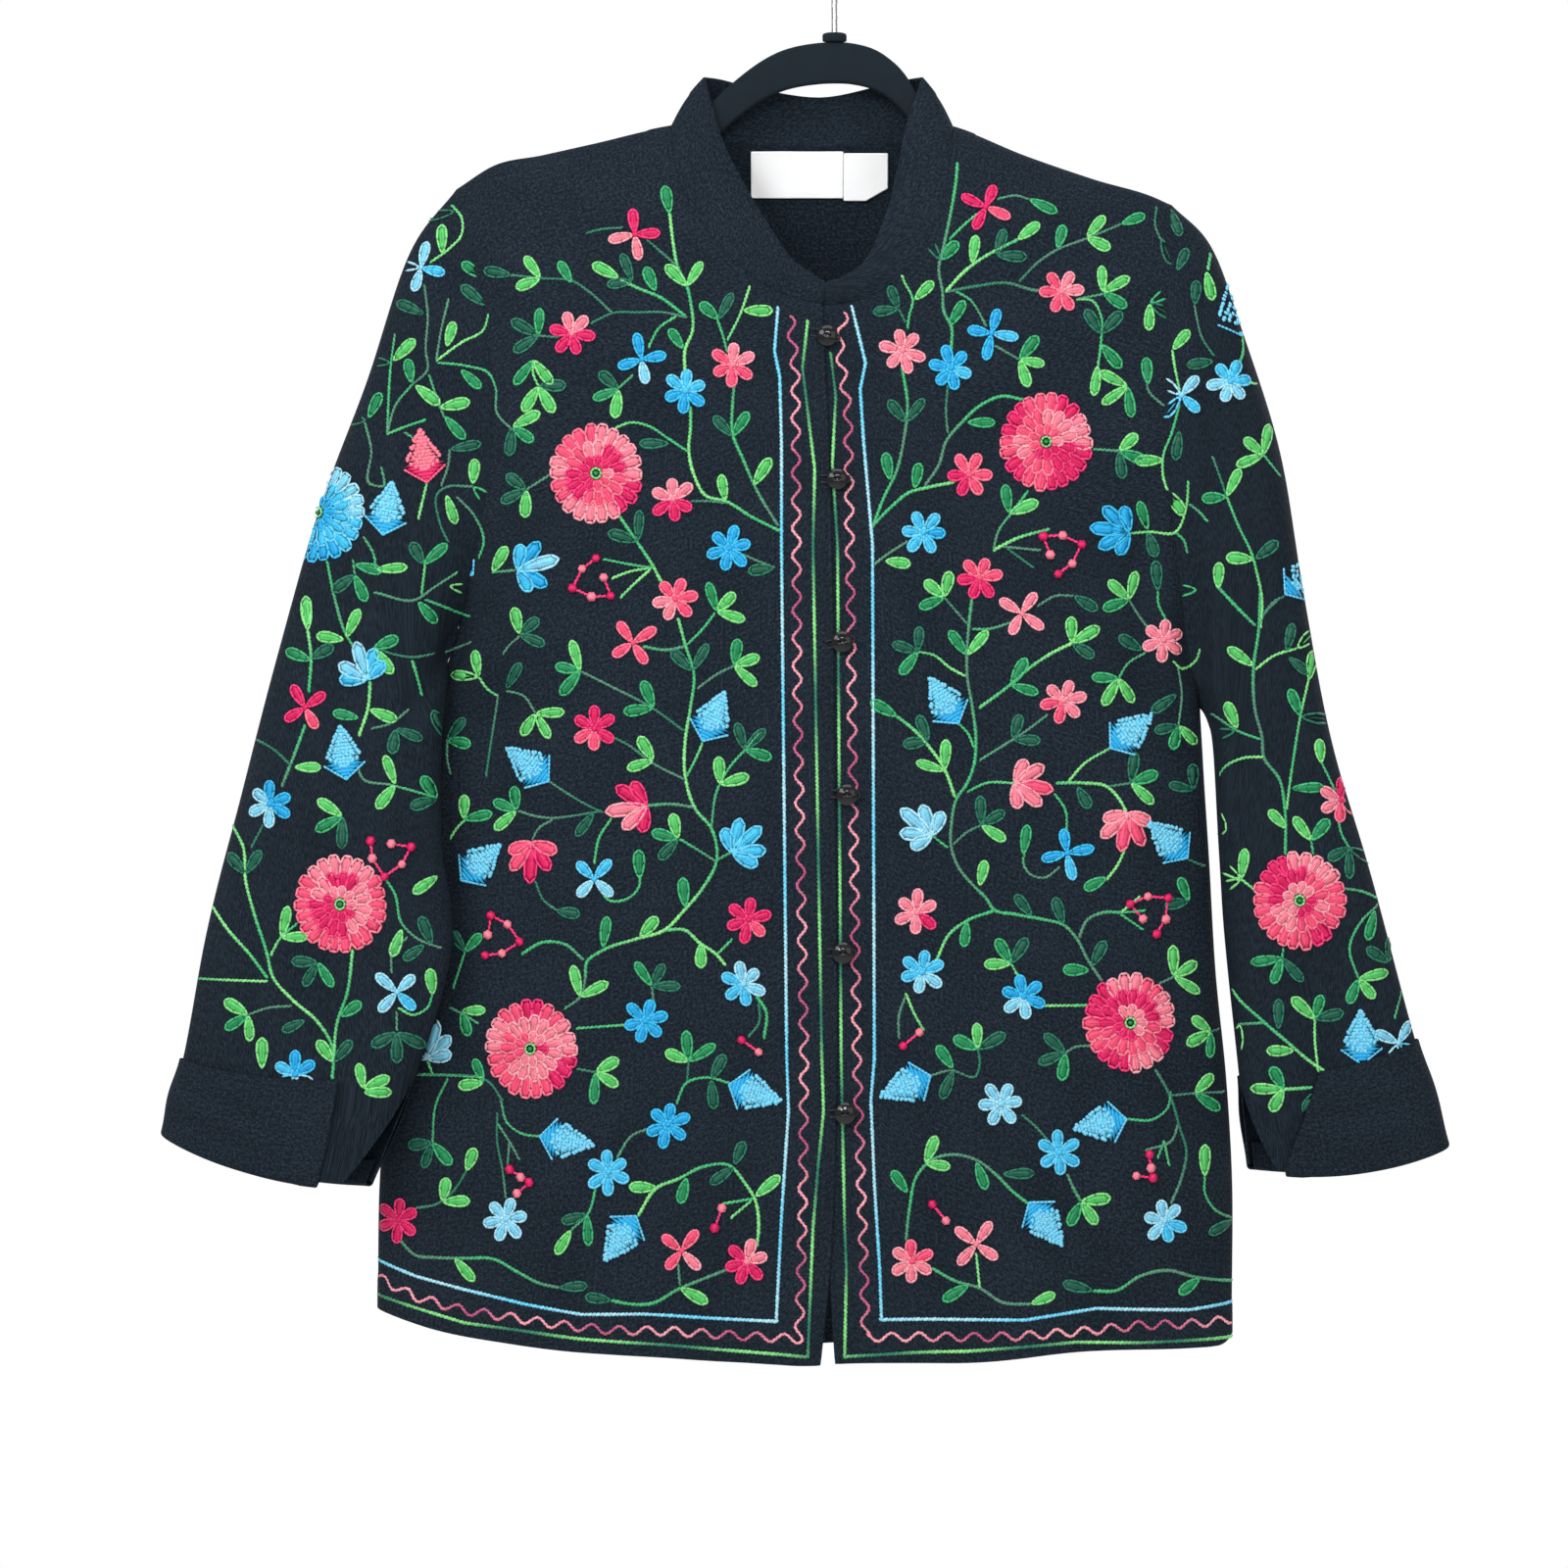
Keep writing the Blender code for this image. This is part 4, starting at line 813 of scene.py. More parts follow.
def colour_of(value):
    """A colour as four numbers, or a socket as it is."""
    return value if isinstance(value, Reading) or len(value) == 4 else (*value, 1)


print("finishes are written as sums")

# %% [markdown]
# ### Cotton
# The jacket is a plain weave in a dark blue grey. Its yarns cross every half millimetre, so from
# the front they show only as a fine grain, and as soft flecks where a yarn is thicker or paler.
# The height is a pair of rounded yarns that pass over and under by turns. It is measured on the
# UV map "cloth", so it follows the grain of each piece.

# %% The cotton's weave
COTTON = (0.0036, 0.0078, 0.0135)
COTTON_PALE = (0.022, 0.034, 0.049)
YARN = 0.55 * MM


def cotton(name):
    """Plain weave: crossing yarns with slubs and faint flecks."""
    finish = Finish(name)
    place = finish.uv_map("cloth")
    across = finish.part(place, 0)
    down = finish.part(place, 1)
    weft = (across * (math.pi / YARN)).sine()
    warp = (down * (math.pi / YARN)).sine()
    over = (weft * warp) > 0
    height = over * abs(weft) + (1 - over) * abs(warp)
    slub_down = finish.noise(finish.stretched(place, (900.0, 28.0, 1.0)), 1.0, detail=1.0)
    slub_across = finish.noise(finish.stretched(place, (28.0, 900.0, 1.0)), 1.0, detail=1.0)
    fuzz = finish.noise(place, 2600.0, detail=1.0)
    cloud = finish.noise(place, 22.0, detail=3.0)
    grain = finish.noise(place, 620.0, detail=2.0, roughness=0.7)
    fleck = (slub_down + slub_across) * 0.5
    # height * 0.15 paints the yarns' crests paler and the hollows between them darker: a painted
    # highlight and painted shade on the weave. The flecks, cloud and grain are the cloth's own uneven
    # tone.
    shade = (fleck - 0.5) * 0.7 + (cloud - 0.5) * 0.5 + (grain - 0.5) * 3.4 + height * 0.15 + 0.16
    return finish.set(
        Base_Color=finish.mix(shade.least(1.0), COTTON, COTTON_PALE),
        Roughness=0.82 + (1 - height) * 0.12,
        Specular_IOR_Level=0.12,
        Normal=finish.bump(height * 0.8 + fleck * 0.7 + fuzz * 0.3, 0.16 * MM, 0.8))


cotton_cloth = cotton("dark_cotton_cloth")
facing_cloth = cotton("plain_facing_cloth")
print("yarns cross every", YARN / MM, "mm")

# %% [markdown]
# ## Fronts and back
# Each panel is laid out in the plane first, as a pattern cutter would: four edges, filled in
# between. The plane points are then lifted on to the body's form. The left front is raised where
# it laps over the right one. The dressed cloth stands for the CAD solid of the same name.

# %% The two fronts
PANEL_HEMS = ("bottom", "start")


def front_panel(name, left):
    """One front, between hem, closure and neckline, shoulder, armhole and side."""
    edge = left_edge if left else right_edge
    neckline = path_curve(LEFT_NECKLINE if left else RIGHT_NECKLINE)
    rim = left_rim if left else right_rim
    underarm = LEFT_UNDERARM if left else RIGHT_UNDERARM
    arm_points = armhole(left)

    side_x = rim(HEM_LEVEL)
    side_z = body_rows(hem(side_x), underarm)
    side_points = np.concatenate((np.stack((rim(side_z), side_z), axis=-1), arm_points[1:]))

    neck = neckline(crowded_ends(NECK_STEPS))
    centre_z = body_rows(hem(edge(CLOSURE_FOOT)), underarm)
    closure_z = np.linspace(underarm, neck[0, 1], ARMHOLE_STEPS - NECK_STEPS + 1)[1:-1]
    centre_z = np.concatenate((centre_z, closure_z))
    centre = np.concatenate((np.stack((edge(centre_z), centre_z), axis=-1), neck))

    slope_share = (LAP_WIDTH + LAP_SLOPE) / abs(side_points[0, 0] - centre[0, 0])
    near_edge = slope_share * np.linspace(0, 1, LAP_STEPS, endpoint=False)
    across = np.concatenate((near_edge, slope_share + (1 - slope_share) * crowded(FRONT_STEPS)))
    hem_x = centre[0, 0] + (side_points[0, 0] - centre[0, 0]) * across
    bottom = np.stack((hem_x, hem(hem_x)), axis=-1)
    top_x = centre[-1, 0] + (side_points[-1, 0] - centre[-1, 0]) * across
    top = np.stack((top_x, shoulder(top_x)), axis=-1)
    up = np.linspace(0, 1, len(centre))
    plane = fill_patch(centre, side_points, bottom, top, across, up)
    points, normals = body_surface(-1, plane[..., 0], plane[..., 1], lapped=left)
    points[-ARMHOLE_STEPS:, -1, 0] += (1 if left else -1) * SEAM_GAP / 2
    return cloth_object(name, points[::-1], normals[::-1], cotton_cloth, hems=PANEL_HEMS)


front_left_cloth = front_panel("front_left_cloth", True)
front_right_cloth = front_panel("front_right_cloth", False)
print("front triangles:", triangles(front_left_cloth), triangles(front_right_cloth))

# %% The back
def back_panel(name):
    """The back, between hem, both sides and armholes, and the shoulders with the neckline."""
    edges = []
    for left in (True, False):
        rim = left_rim if left else right_rim
        low = hem(rim(HEM_LEVEL)) + BACK_HEM_RISE
        heights = body_rows(low, LEFT_UNDERARM if left else RIGHT_UNDERARM)
        sides = np.stack((rim(heights), heights), axis=-1)
        edges.append(np.concatenate((sides, armhole(left)[1:])))
    left_side, right_side = edges

    left_x = np.linspace(LEFT_TIP_X, LEFT_NECK_X, SHOULDER_STEPS + 1)
    right_x = np.linspace(RIGHT_NECK_X, RIGHT_TIP_X, SHOULDER_STEPS + 1)
    neck = path_curve(BACK_NECKLINE)(crowded_ends(BACK_NECK_STEPS))
    top = np.concatenate((np.stack((left_x, shoulder(left_x)), axis=-1), neck[1:-1],
                          np.stack((right_x, shoulder(right_x)), axis=-1)))
    across = crowded_ends(len(top) - 1)
    hem_x = left_side[0, 0] + (right_side[0, 0] - left_side[0, 0]) * across
    bottom = np.stack((hem_x, hem(hem_x) + BACK_HEM_RISE), axis=-1)
    up = np.linspace(0, 1, len(left_side))
    plane = fill_patch(left_side, right_side, bottom, top, across, up)
    points, normals = body_surface(1, plane[..., 0], plane[..., 1])
    points[-ARMHOLE_STEPS:, 0, 0] += SEAM_GAP / 2
    points[-ARMHOLE_STEPS:, -1, 0] -= SEAM_GAP / 2
    return cloth_object(name, points[::-1], normals[::-1], cotton_cloth, hems=("bottom",))


back_cloth = back_panel("back_cloth")
print("back triangles:", triangles(back_cloth))

# %% [markdown]
# ## Sleeves and cuffs
# A sleeve is a tube that starts on the very points of the armhole seam and ends in a slit wrist.
# A cuff covers the wrist. It is a plain facing that is turned back over the sleeve's end, so it
# runs up the outside, round a soft fold and a little way up the inside.

# %% Sleeves
UNDERARM_SPREAD = 0.4           # radians of the armhole on each side that make room there
UNDERARM_ROOM = 3               # and how much more than the seam's half gap they make
UNDERARM_DROP = 0.4 * MM


def sleeve(name, left):
    """A sleeve: a tube from the armhole to the wrist, slit at the inner seam there."""
    count = 2 * ARMHOLE_STEPS
    shares = np.concatenate((np.linspace(0, WRIST_SHARE, SLEEVE_ROWS, endpoint=False),
                             np.linspace(WRIST_SHARE, 1, WRIST_ROWS)))
    turns = np.tile(2 * np.pi * np.arange(count) / count, (len(shares), 1))
    opened = np.clip((shares - WRIST_SHARE) / (1 - WRIST_SHARE), 0, 1)
    edge_turn = turns[0, ARMHOLE_STEPS - 1]
    pulled = np.clip((turns - np.pi / 2) / (edge_turn - np.pi / 2), 0, 1)
    pulled[:, ARMHOLE_STEPS:] = 0
    widest = VENT_OPENING + VENT_EXTRA
    turns = turns - widest * opened[:, None] * pulled
    points, normals = sleeve_surface(left, shares[:, None], turns)
    away = (-1 if left else 1) * SEAM_GAP / 2
    near_underarm = np.exp(-((turns[0] - np.pi) / UNDERARM_SPREAD) ** 2)
    points[0, :, 0] += away * (1 + UNDERARM_ROOM * near_underarm)
    points[0, :, 2] -= UNDERARM_DROP * near_underarm
    vent = [(row, ARMHOLE_STEPS - 1) for row in range(SLEEVE_ROWS, len(shares) - 1)]
    return cloth_object(name, points, normals, cotton_cloth, hems=("bottom",), wrap=True, gaps=vent)


sleeve_left_cloth = sleeve("sleeve_left_cloth", True)
sleeve_right_cloth = sleeve("sleeve_right_cloth", False)
print("sleeve triangles:", triangles(sleeve_left_cloth), triangles(sleeve_right_cloth))

# %% Cuffs
CUFF_CLEARANCE = 0.8 * MM       # the turned-back facing stands a little off the sleeve
CUFF_TURN = 1.0 * MM            # the fold's centre below the sleeve's end
CUFF_TUCK = 12 * MM             # how far the facing reaches up inside
CUFF_ROLL = 1.6 * MM
LEFT_CUFF_FRONT = (math.radians(110), math.radians(120))     # vent edge at the top, at the fold
RIGHT_CUFF_FRONT = (math.radians(97), math.radians(130))
CUFF_OUTSIDE_ROWS = 15
CUFF_BACK_TURN = -13 * math.pi / 14
CUFF_MIDDLE_TURN = 5 * math.pi / 14
CUFF_RING_STEPS = 64
CUFF_FRONT_COLUMNS = 12
CUFF_FOLD_ROWS = 10
CUFF_INSIDE_ROWS = 6
CUFF_SET_OFF = CUFF_CLEARANCE + CLOTH / 2
NEAR_WRIST = 0.98               # share of the sleeve from which its last direction is read


def cuff(name, left):
    """A plain facing turned back over the sleeve's end, round a soft fold."""
    front_top, front_fold = LEFT_CUFF_FRONT if left else RIGHT_CUFF_FRONT
    half = CLOTH_THICKNESS / 2
    inside = -CLOTH - CUFF_SET_OFF
    ring_turns = np.linspace(CUFF_BACK_TURN, CUFF_MIDDLE_TURN, CUFF_RING_STEPS)
    centre = (CUFF_SET_OFF + inside) / 2
    radius = (CUFF_SET_OFF - inside) / 2
    middles = []
    facings = []
    for share in np.linspace(WRIST_SHARE, 1, CUFF_OUTSIDE_ROWS):
        down_share = (share - WRIST_SHARE) / (1 - WRIST_SHARE)
        front = front_top + (front_fold - front_top) * down_share
        end_turns = np.linspace(ring_turns[-1], front, CUFF_FRONT_COLUMNS + 1)[1:]
        turns = np.concatenate((ring_turns, end_turns))
        points, normals = sleeve_surface(left, share, turns)
        roll = CUFF_ROLL * np.sin(np.pi * down_share) ** 2
        middles.append(points + normals * (CUFF_SET_OFF + roll))
        facings.append(normals)
    ahead, _ = sleeve_surface(left, 1.0, turns)
    before, _ = sleeve_surface(left, NEAR_WRIST, turns)
    down = unit(ahead - before)
    for angle in np.pi * np.arange(CUFF_FOLD_ROWS + 1) / CUFF_FOLD_ROWS:
        out = centre + radius * math.cos(angle)
        below = CUFF_TURN + radius * math.sin(angle)
        middles.append(ahead + normals * out + down * below)
        facings.append(unit(normals * math.cos(angle) + down * math.sin(angle)))
    for reach in np.linspace(0, CUFF_TUCK, CUFF_INSIDE_ROWS):
        middles.append(ahead + normals * inside - down * reach)
        facings.append(-normals)
    middle = np.array(middles)
    facing = np.array(facings)
    return cloth_object(name, middle + facing * half, facing, facing_cloth, hems=("end",))


cuff_left_cloth = cuff("cuff_left_cloth", True)
cuff_right_cloth = cuff("cuff_right_cloth", False)
print("cuff triangles:", triangles(cuff_left_cloth), triangles(cuff_right_cloth))

# %% [markdown]
# ## Collar and labels
# The band collar is one strip that stands up from the neck seam and leans in at its top. Its
# points start on the seam's own points, so it closes on to the fronts and the back all the way
# round. Inside the back neck are two small woven labels. Both are left blank.

# %% Collar
# Collar: the top edge above each point of the neck seam, from the left end round to the right
COLLAR_COLUMNS = ("seam", "seam_share", "top_x", "top_z", "top_y")
COLLAR = (
    ("left", 0.00, -5.4, -212.6, -29.0),
    ("left", 0.18, -14.0, -207.0, -28.5),
    ("left", 0.37, -25.5, -198.0, -27.0),
    ("left", 0.56, -39.5, -176.5, -23.5),
    ("left", 0.74, -53.0, -153.0, -18.5),
    ("left", 0.88, -65.5, -126.0, -11.5),
    ("left", 1.00, -75.0, -91.5, -1.0),
    ("back", 0.12, -66.0, -91.5, 8.0),
    ("back", 0.28, -46.0, -95.5, 14.5),
    ("back", 0.50, -8.0, -100.5, 18.5),
    ("back", 0.72, 26.0, -94.5, 15.5),
    ("back", 0.88, 43.0, -91.5, 9.0),
    ("back", 1.00, 51.5, -91.5, -1.0),
    ("right", 0.88, 43.0, -118.0, -11.0),
    ("right", 0.72, 36.5, -148.5, -18.5),
    ("right", 0.54, 30.5, -172.5, -23.0),
    ("right", 0.36, 19.0, -199.0, -26.5),
    ("right", 0.16, 4.5, -210.0, -28.5),
    ("right", 0.00, -3.6, -212.8, -29.0),
)
COLLAR_BELLY = 1.5 * MM
COLLAR_STEP_ROWS = 12


def collar_top(seam, shares):
    """Points of the collar's top edge above one stretch of the neck seam."""
    rows = [dict(zip(COLLAR_COLUMNS, row)) for row in COLLAR]
    own = [row for row in rows if row["seam"] == seam]
    if seam == "back":
        own = [row for row in rows if row["seam_share"] == 1.0 and row["seam"] == "left"] + own
        own[0] = {**own[0], "seam_share": 0.0}
    own.sort(key=lambda row: row["seam_share"])
    if seam == "right":
        own.append(next(row for row in rows if row["seam"] == "back" and row["seam_share"] == 1.0))
    points = np.array([(row["top_x"], row["top_y"], row["top_z"]) for row in own]) * MM
    return smooth([row["seam_share"] for row in own], points)(shares)


def collar(name):
    """The band collar: a strip that stands up from the neck seam, on the same points as it."""
    front_shares = crowded_ends(NECK_STEPS)
    back_shares = crowded_ends(BACK_NECK_STEPS)
    stretches = (
        ("left", LEFT_NECKLINE, front_shares, -1),
        ("back", BACK_NECKLINE, back_shares[1:-1], 1),
        ("right", RIGHT_NECKLINE, front_shares[::-1], -1),
    )
    parts = []
    for seam, outline, shares, side in stretches:
        plane = path_curve(outline)(shares)
        points, normals = body_surface(side, plane[:, 0], plane[:, 1], lapped=seam == "left")
        parts.append((points, normals, collar_top(seam, shares)))
    seam, seam_normal, top = (np.concatenate(column) for column in zip(*parts))
    rise = unit(top - seam)
    foot = seam + rise * 2 * CLEARANCE
    levels = np.linspace(0, 1, COLLAR_STEP_ROWS + 1)[:, None, None]
    grid = foot[None] * (1 - levels) + top[None] * levels
    lean = unit(np.cross(np.gradient(grid, axis=0), np.gradient(grid, axis=1)))
    belly = COLLAR_BELLY * np.sin(np.pi * levels)
    normal = unit(np.where(levels == 0, seam_normal[None], lean))
    grid = grid + lean * belly
    return cloth_object(name, grid, normal, facing_cloth, hems=("bottom",))


collar_cloth = collar("collar_cloth")
print("collar triangles:", triangles(collar_cloth))

# %% Blank woven labels
# Labels on the inside of the back
LABEL_COLUMNS = ("x0", "x1", "top", "bottom", "cut_corner")
LABELS = {
    "label_main": (-47.5, 5.5, -131.5, -157.5, 0.0),
    "label_care": (6.5, 31.5, -132.5, -159.0, 7.0),
}
LABEL_STAND_OFF = 0.8 * MM
LABEL_STEPS_ACROSS = 40
LABEL_STEPS_DOWN = 24
LABEL_RELIEF = 0.25 * MM
LABEL_RIB = 0.45 * MM

label_finish = Finish("woven_label")
label_place = label_finish.uv_map("cloth")
label_ribs = abs((label_finish.part(label_place, 1) * (math.pi / LABEL_RIB)).sine())
label_grain = label_finish.noise(label_finish.stretched(label_place, (1500.0, 300.0, 1.0)), 1.0)
label_cloud = label_finish.noise(label_place, 60.0)
label_satin = label_finish.set(
    Base_Color=label_finish.mix((label_cloud - 0.5) * 0.8 + label_ribs * 0.25 + 0.2,
                                (0.96, 0.96, 0.96), (0.86, 0.87, 0.89)),
    Roughness=0.42 + label_grain * 0.25,
    Specular_IOR_Level=0.35,
    Normal=label_finish.bump(label_ribs + label_grain * 0.6, 0.08 * MM, 0.7))


def label_piece(name, sizes):
    """A small woven label on the inside of the back, its points taken from the back's."""
    label = dict(zip(LABEL_COLUMNS, sizes))
    x = np.linspace(label["x0"], label["x1"], LABEL_STEPS_ACROSS + 1)[None, :] * MM
    down = np.linspace(0, 1, LABEL_STEPS_DOWN + 1)[:, None]
    middle = x.mean()
    cut = label["cut_corner"] * MM * np.clip((x - middle) / (x.max() - middle), 0, 1)
    z = label["top"] * MM + down * ((label["bottom"] - label["top"]) * MM + cut)
    x = np.broadcast_to(x, z.shape)
    face, normals = body_surface(1, x, z)
    face = face - normals * (CLOTH + LABEL_STAND_OFF)
    ripple = LABEL_RELIEF * np.sin(260 * x + 140 * z) * down
    return cloth_object(name, face - normals * ripple[..., None], normals, label_satin)


label_pieces = {node: label_piece(node + "_tape", sizes) for node, sizes in LABELS.items()}
print("labels:", sorted(label_pieces))

# %% [markdown]
# ## Hanger, ferrule and hook
# The hanger is a flat moulded arch with flocked, non-slip faces. Its arms follow the shoulders
# inside the jacket. It is lofted from rings of points, and so is the ferrule on the arch. The
# hook is a round wire, bent over a crown. A tube along a path gives it.

# %% Rings and tubes
def joined(name, points, faces, material, wrap_map):
    """A mesh object from points and faces, smooth but for its sharp edges."""
    mesh = bpy.data.meshes.new(name)
    mesh.from_pydata([tuple(point) for point in points], [], faces)
    layer = mesh.uv_layers.new(name="along")
    for face in mesh.polygons:
        for loop in face.loop_indices:
            layer.data[loop].uv = wrap_map[mesh.loops[loop].vertex_index]
    mesh.shade_smooth()
    mesh.set_sharp_from_angle(angle=SHARP_ANGLE)
    mesh.materials.append(material)
    shape = bmesh.new()
    shape.from_mesh(mesh)
    bmesh.ops.recalc_face_normals(shape, faces=shape.faces)
    shape.to_mesh(mesh)
    shape.free()
    return in_scene(name, mesh)


def lofted(name, rings, material):
    """A skin over rings of points, with flat ends."""
    count = len(rings[0])
    points = np.concatenate([np.asarray(ring) for ring in rings])
    faces = []
    for here in range(0, len(points) - count, count):
        onward = here + count
        faces += [(here + k, here + (k + 1) % count, onward + (k + 1) % count, onward + k)
                  for k in range(count)]
    faces += [tuple(range(count)), tuple(range(len(points) - count, len(points)))]
    lengths = np.cumsum([0] + [np.linalg.norm(np.mean(b, 0) - np.mean(a, 0))
                               for a, b in zip(rings, rings[1:])])
    wrap_map = [(k / count, lengths[span]) for span in range(len(rings)) for k in range(count)]
    return joined(name, points, faces, material, wrap_map)


def tube(name, path, radius, sides, material, aside):
    """A round tube along a path in a plane whose normal is aside."""
    path = np.asarray(path, float)
    aside = np.asarray(aside, float)
    onward = unit(np.gradient(path, axis=0))
    across = unit(np.cross(onward, aside))
    turn = 2 * np.pi * np.arange(sides) / sides
    rings = [point + radius * (np.cos(turn)[:, None] * lean + np.sin(turn)[:, None] * aside)
             for point, lean in zip(path, across)]
    return lofted(name, rings, material)


print("rings and tubes ready")

# %% Flock and bright wire
flock_finish = Finish("black_flock_fibres")
flock_place = flock_finish.place()
flock_fibres = flock_finish.noise(flock_place, 3200.0, detail=2.0, roughness=0.7)
flock_patches = flock_finish.noise(flock_place, 130.0, detail=3.0)
flock = flock_finish.set(
    Base_Color=flock_finish.mix(flock_fibres * 0.7 + flock_patches * 0.3,
                                (0.004, 0.0065, 0.010), (0.016, 0.024, 0.032)),
    Roughness=0.86 + flock_patches * 0.1,
    Specular_IOR_Level=0.10,
    Normal=flock_finish.bump(flock_fibres, 0.25 * MM, 0.8))

wire_finish = Finish("bright_hook_wire")
wire_place = wire_finish.place()
wire_draw = wire_finish.noise(wire_finish.stretched(wire_place, (2600.0, 2600.0, 90.0)), 1.0)
wire_smudge = wire_finish.noise(wire_place, 180.0, detail=3.0)
wire_metal = wire_finish.set(
    Base_Color=wire_finish.mix(wire_smudge, (0.30, 0.30, 0.31), (0.46, 0.46, 0.47)),
    Metallic=1.0,
    Roughness=0.16 + wire_smudge * 0.14,
    Normal=wire_finish.bump(wire_draw, 0.02 * MM, 0.5))
print("flock and wire finishes ready")

# %% Hanger, ferrule and hook
# Hanger: the arch inside the neck, then arms that follow the shoulders
ARCH_COLUMNS = ("x", "top")
ARCH = (
    (-94.1, -122.8), (-86.0, -119.6), (-76.0, -111.6), (-65.0, -100.4), (-56.6, -92.8),
    (-34.2, -77.5), (-10.1, -71.3), (0.6, -70.7), (10.6, -71.3), (30.2, -78.7), (41.4, -89.4),
    (49.8, -103.2), (57.0, -114.4), (63.0, -120.6), (69.4, -123.4),
)
ARM_HEIGHT_COLUMNS = ("x", "height")
ARM_HEIGHT = ((-190, 13), (-178, 17), (-140, 21), (-60, 23), (0, 24), (50, 23), (110, 20),
              (170, 17), (184, 13))
HANGER_THICKNESS = 5.0 * MM
HANGER_SEAT = 0.9 * MM
ARM_STATIONS = 40
ARCH_STATIONS = 110
EDGE_STEPS = 10                 # steps round each rounded edge of the hanger
# Ferrule and hook
NUB_X = 0.6 * MM
NUB_RADIUS = 7 * MM
NUB_HALF_DEPTH = 4.2 * MM
NUB_HEIGHT = 5.2 * MM
NUB_PROFILE_COLUMNS = ("radius", "height")          # shares of the radius and of the height
WIRE_RADIUS = 1.9 * MM
CROWN_RADIUS = 17 * MM
CROWN_START = math.radians(-62)
CROWN_END = math.radians(196)
SHANK_LENGTH = 10 * MM          # straight wire above the ferrule
BEND_PULL = 11 * MM             # how slowly the wire bends from the shank into the crown
NUB_PROFILE = ((0.76, 0.0), (0.94, 0.04), (1.0, 0.15), (1.0, 0.72), (0.93, 0.90), (0.7, 1.0))
NUB_SIDES = 48
CROWN_STEPS = 90
BEND_STEPS = 20
HOOK_SIDES = 28


def hanger_top():
    """The hanger's top edge: its arch in the neck, and arms just inside the shoulders."""
    arch = columns(ARCH_COLUMNS, ARCH)
    arch_line = smooth(arch["x"] * MM, arch["top"] * MM)

    def at(x):
        in_neck = (x > LEFT_NECK_X) & (x < RIGHT_NECK_X)
        return np.where(in_neck, arch_line(x), shoulder(x) - CLOTH - HANGER_SEAT)

    return at


def flocked_hanger(name):
    """A flat hanger with round edges, lofted from one arm's tip to the other's."""
    table = columns(ARM_HEIGHT_COLUMNS, ARM_HEIGHT)
    height = smooth(table["x"] * MM, table["height"] * MM)
    top = hanger_top()
    stations = np.concatenate((
        np.linspace(table["x"][0] * MM, LEFT_NECK_X, ARM_STATIONS),
        np.linspace(LEFT_NECK_X, RIGHT_NECK_X, ARCH_STATIONS + 2)[1:-1],
        np.linspace(RIGHT_NECK_X, table["x"][-1] * MM, ARM_STATIONS)))
    radius = HANGER_THICKNESS / 2
    half_turn = np.pi * np.arange(EDGE_STEPS + 1) / EDGE_STEPS
    rings = []
    for x in stations:
        high = top(x) - radius
        low = top(x) - height(x) + radius
        ring = [(x, radius * math.cos(a), high + radius * math.sin(a)) for a in half_turn]
        ring += [(x, -radius * math.cos(a), low - radius * math.sin(a)) for a in half_turn]
        rings.append(ring)
    return lofted(name, rings, flock)


def ferrule(name):
    """The ferrule that stands on the arch and takes the hook."""
    base = float(hanger_top()(NUB_X)) + SEAM_GAP
    turn = 2 * np.pi * np.arange(NUB_SIDES) / NUB_SIDES
    rings = []
    for row in NUB_PROFILE:
        share = dict(zip(NUB_PROFILE_COLUMNS, row))
        rings.append(np.stack((NUB_X + NUB_RADIUS * share["radius"] * np.cos(turn),
                               NUB_HALF_DEPTH * share["radius"] * np.sin(turn),
                               np.full(NUB_SIDES, base + NUB_HEIGHT * share["height"])), axis=-1))
    return lofted(name, rings, flock)


def wire_hook(name):
    """The wire hook: a straight shank, an easy bend and the crown that hangs on the rail."""
    foot = float(hanger_top()(NUB_X)) + 2 * SEAM_GAP + NUB_HEIGHT
    centre_line = CROWN_RADIUS + WIRE_RADIUS
    shank_top = np.array((NUB_X, foot + SHANK_LENGTH))
    angles = np.linspace(CROWN_START, CROWN_END, CROWN_STEPS)
    crown = np.stack((centre_line * np.cos(angles), centre_line * np.sin(angles) - CROWN_RADIUS),
                     axis=-1)
    up = np.array((0.0, 1.0))
    onward = np.array((-math.sin(CROWN_START), math.cos(CROWN_START)))
    t = (np.arange(1, BEND_STEPS) / BEND_STEPS)[:, None]
    bend = ((1 - t) ** 3 * shank_top + 3 * t * (1 - t) ** 2 * (shank_top + up * BEND_PULL)
            + 3 * t * t * (1 - t) * (crown[0] - onward * BEND_PULL) + t ** 3 * crown[0])
    shank = [(NUB_X, foot), (NUB_X, foot + SHANK_LENGTH / 2), tuple(shank_top)]
    plan = np.concatenate((shank, bend, crown))
    path = np.stack((plan[:, 0], np.zeros(len(plan)), plan[:, 1]), axis=-1)
    return tube(name, path, WIRE_RADIUS, HOOK_SIDES, wire_metal, (0, 1, 0))


hanger_piece = flocked_hanger("hanger_flocked")
ferrule_piece = ferrule("hanger_ferrule")
hook_piece = wire_hook("hook_wire")
print("hanger triangles:", triangles(hanger_piece), triangles(ferrule_piece), triangles(hook_piece))

# %% [markdown]
# ## Buttons and their loops
# Each button is a glossy disc with a domed face and two holes in a short slot. It stands on a
# thread shank, and a thin thread loop from the left front's edge goes round that shank. A button
# is turned like a pot: heights over radius, with the slot pressed into them.

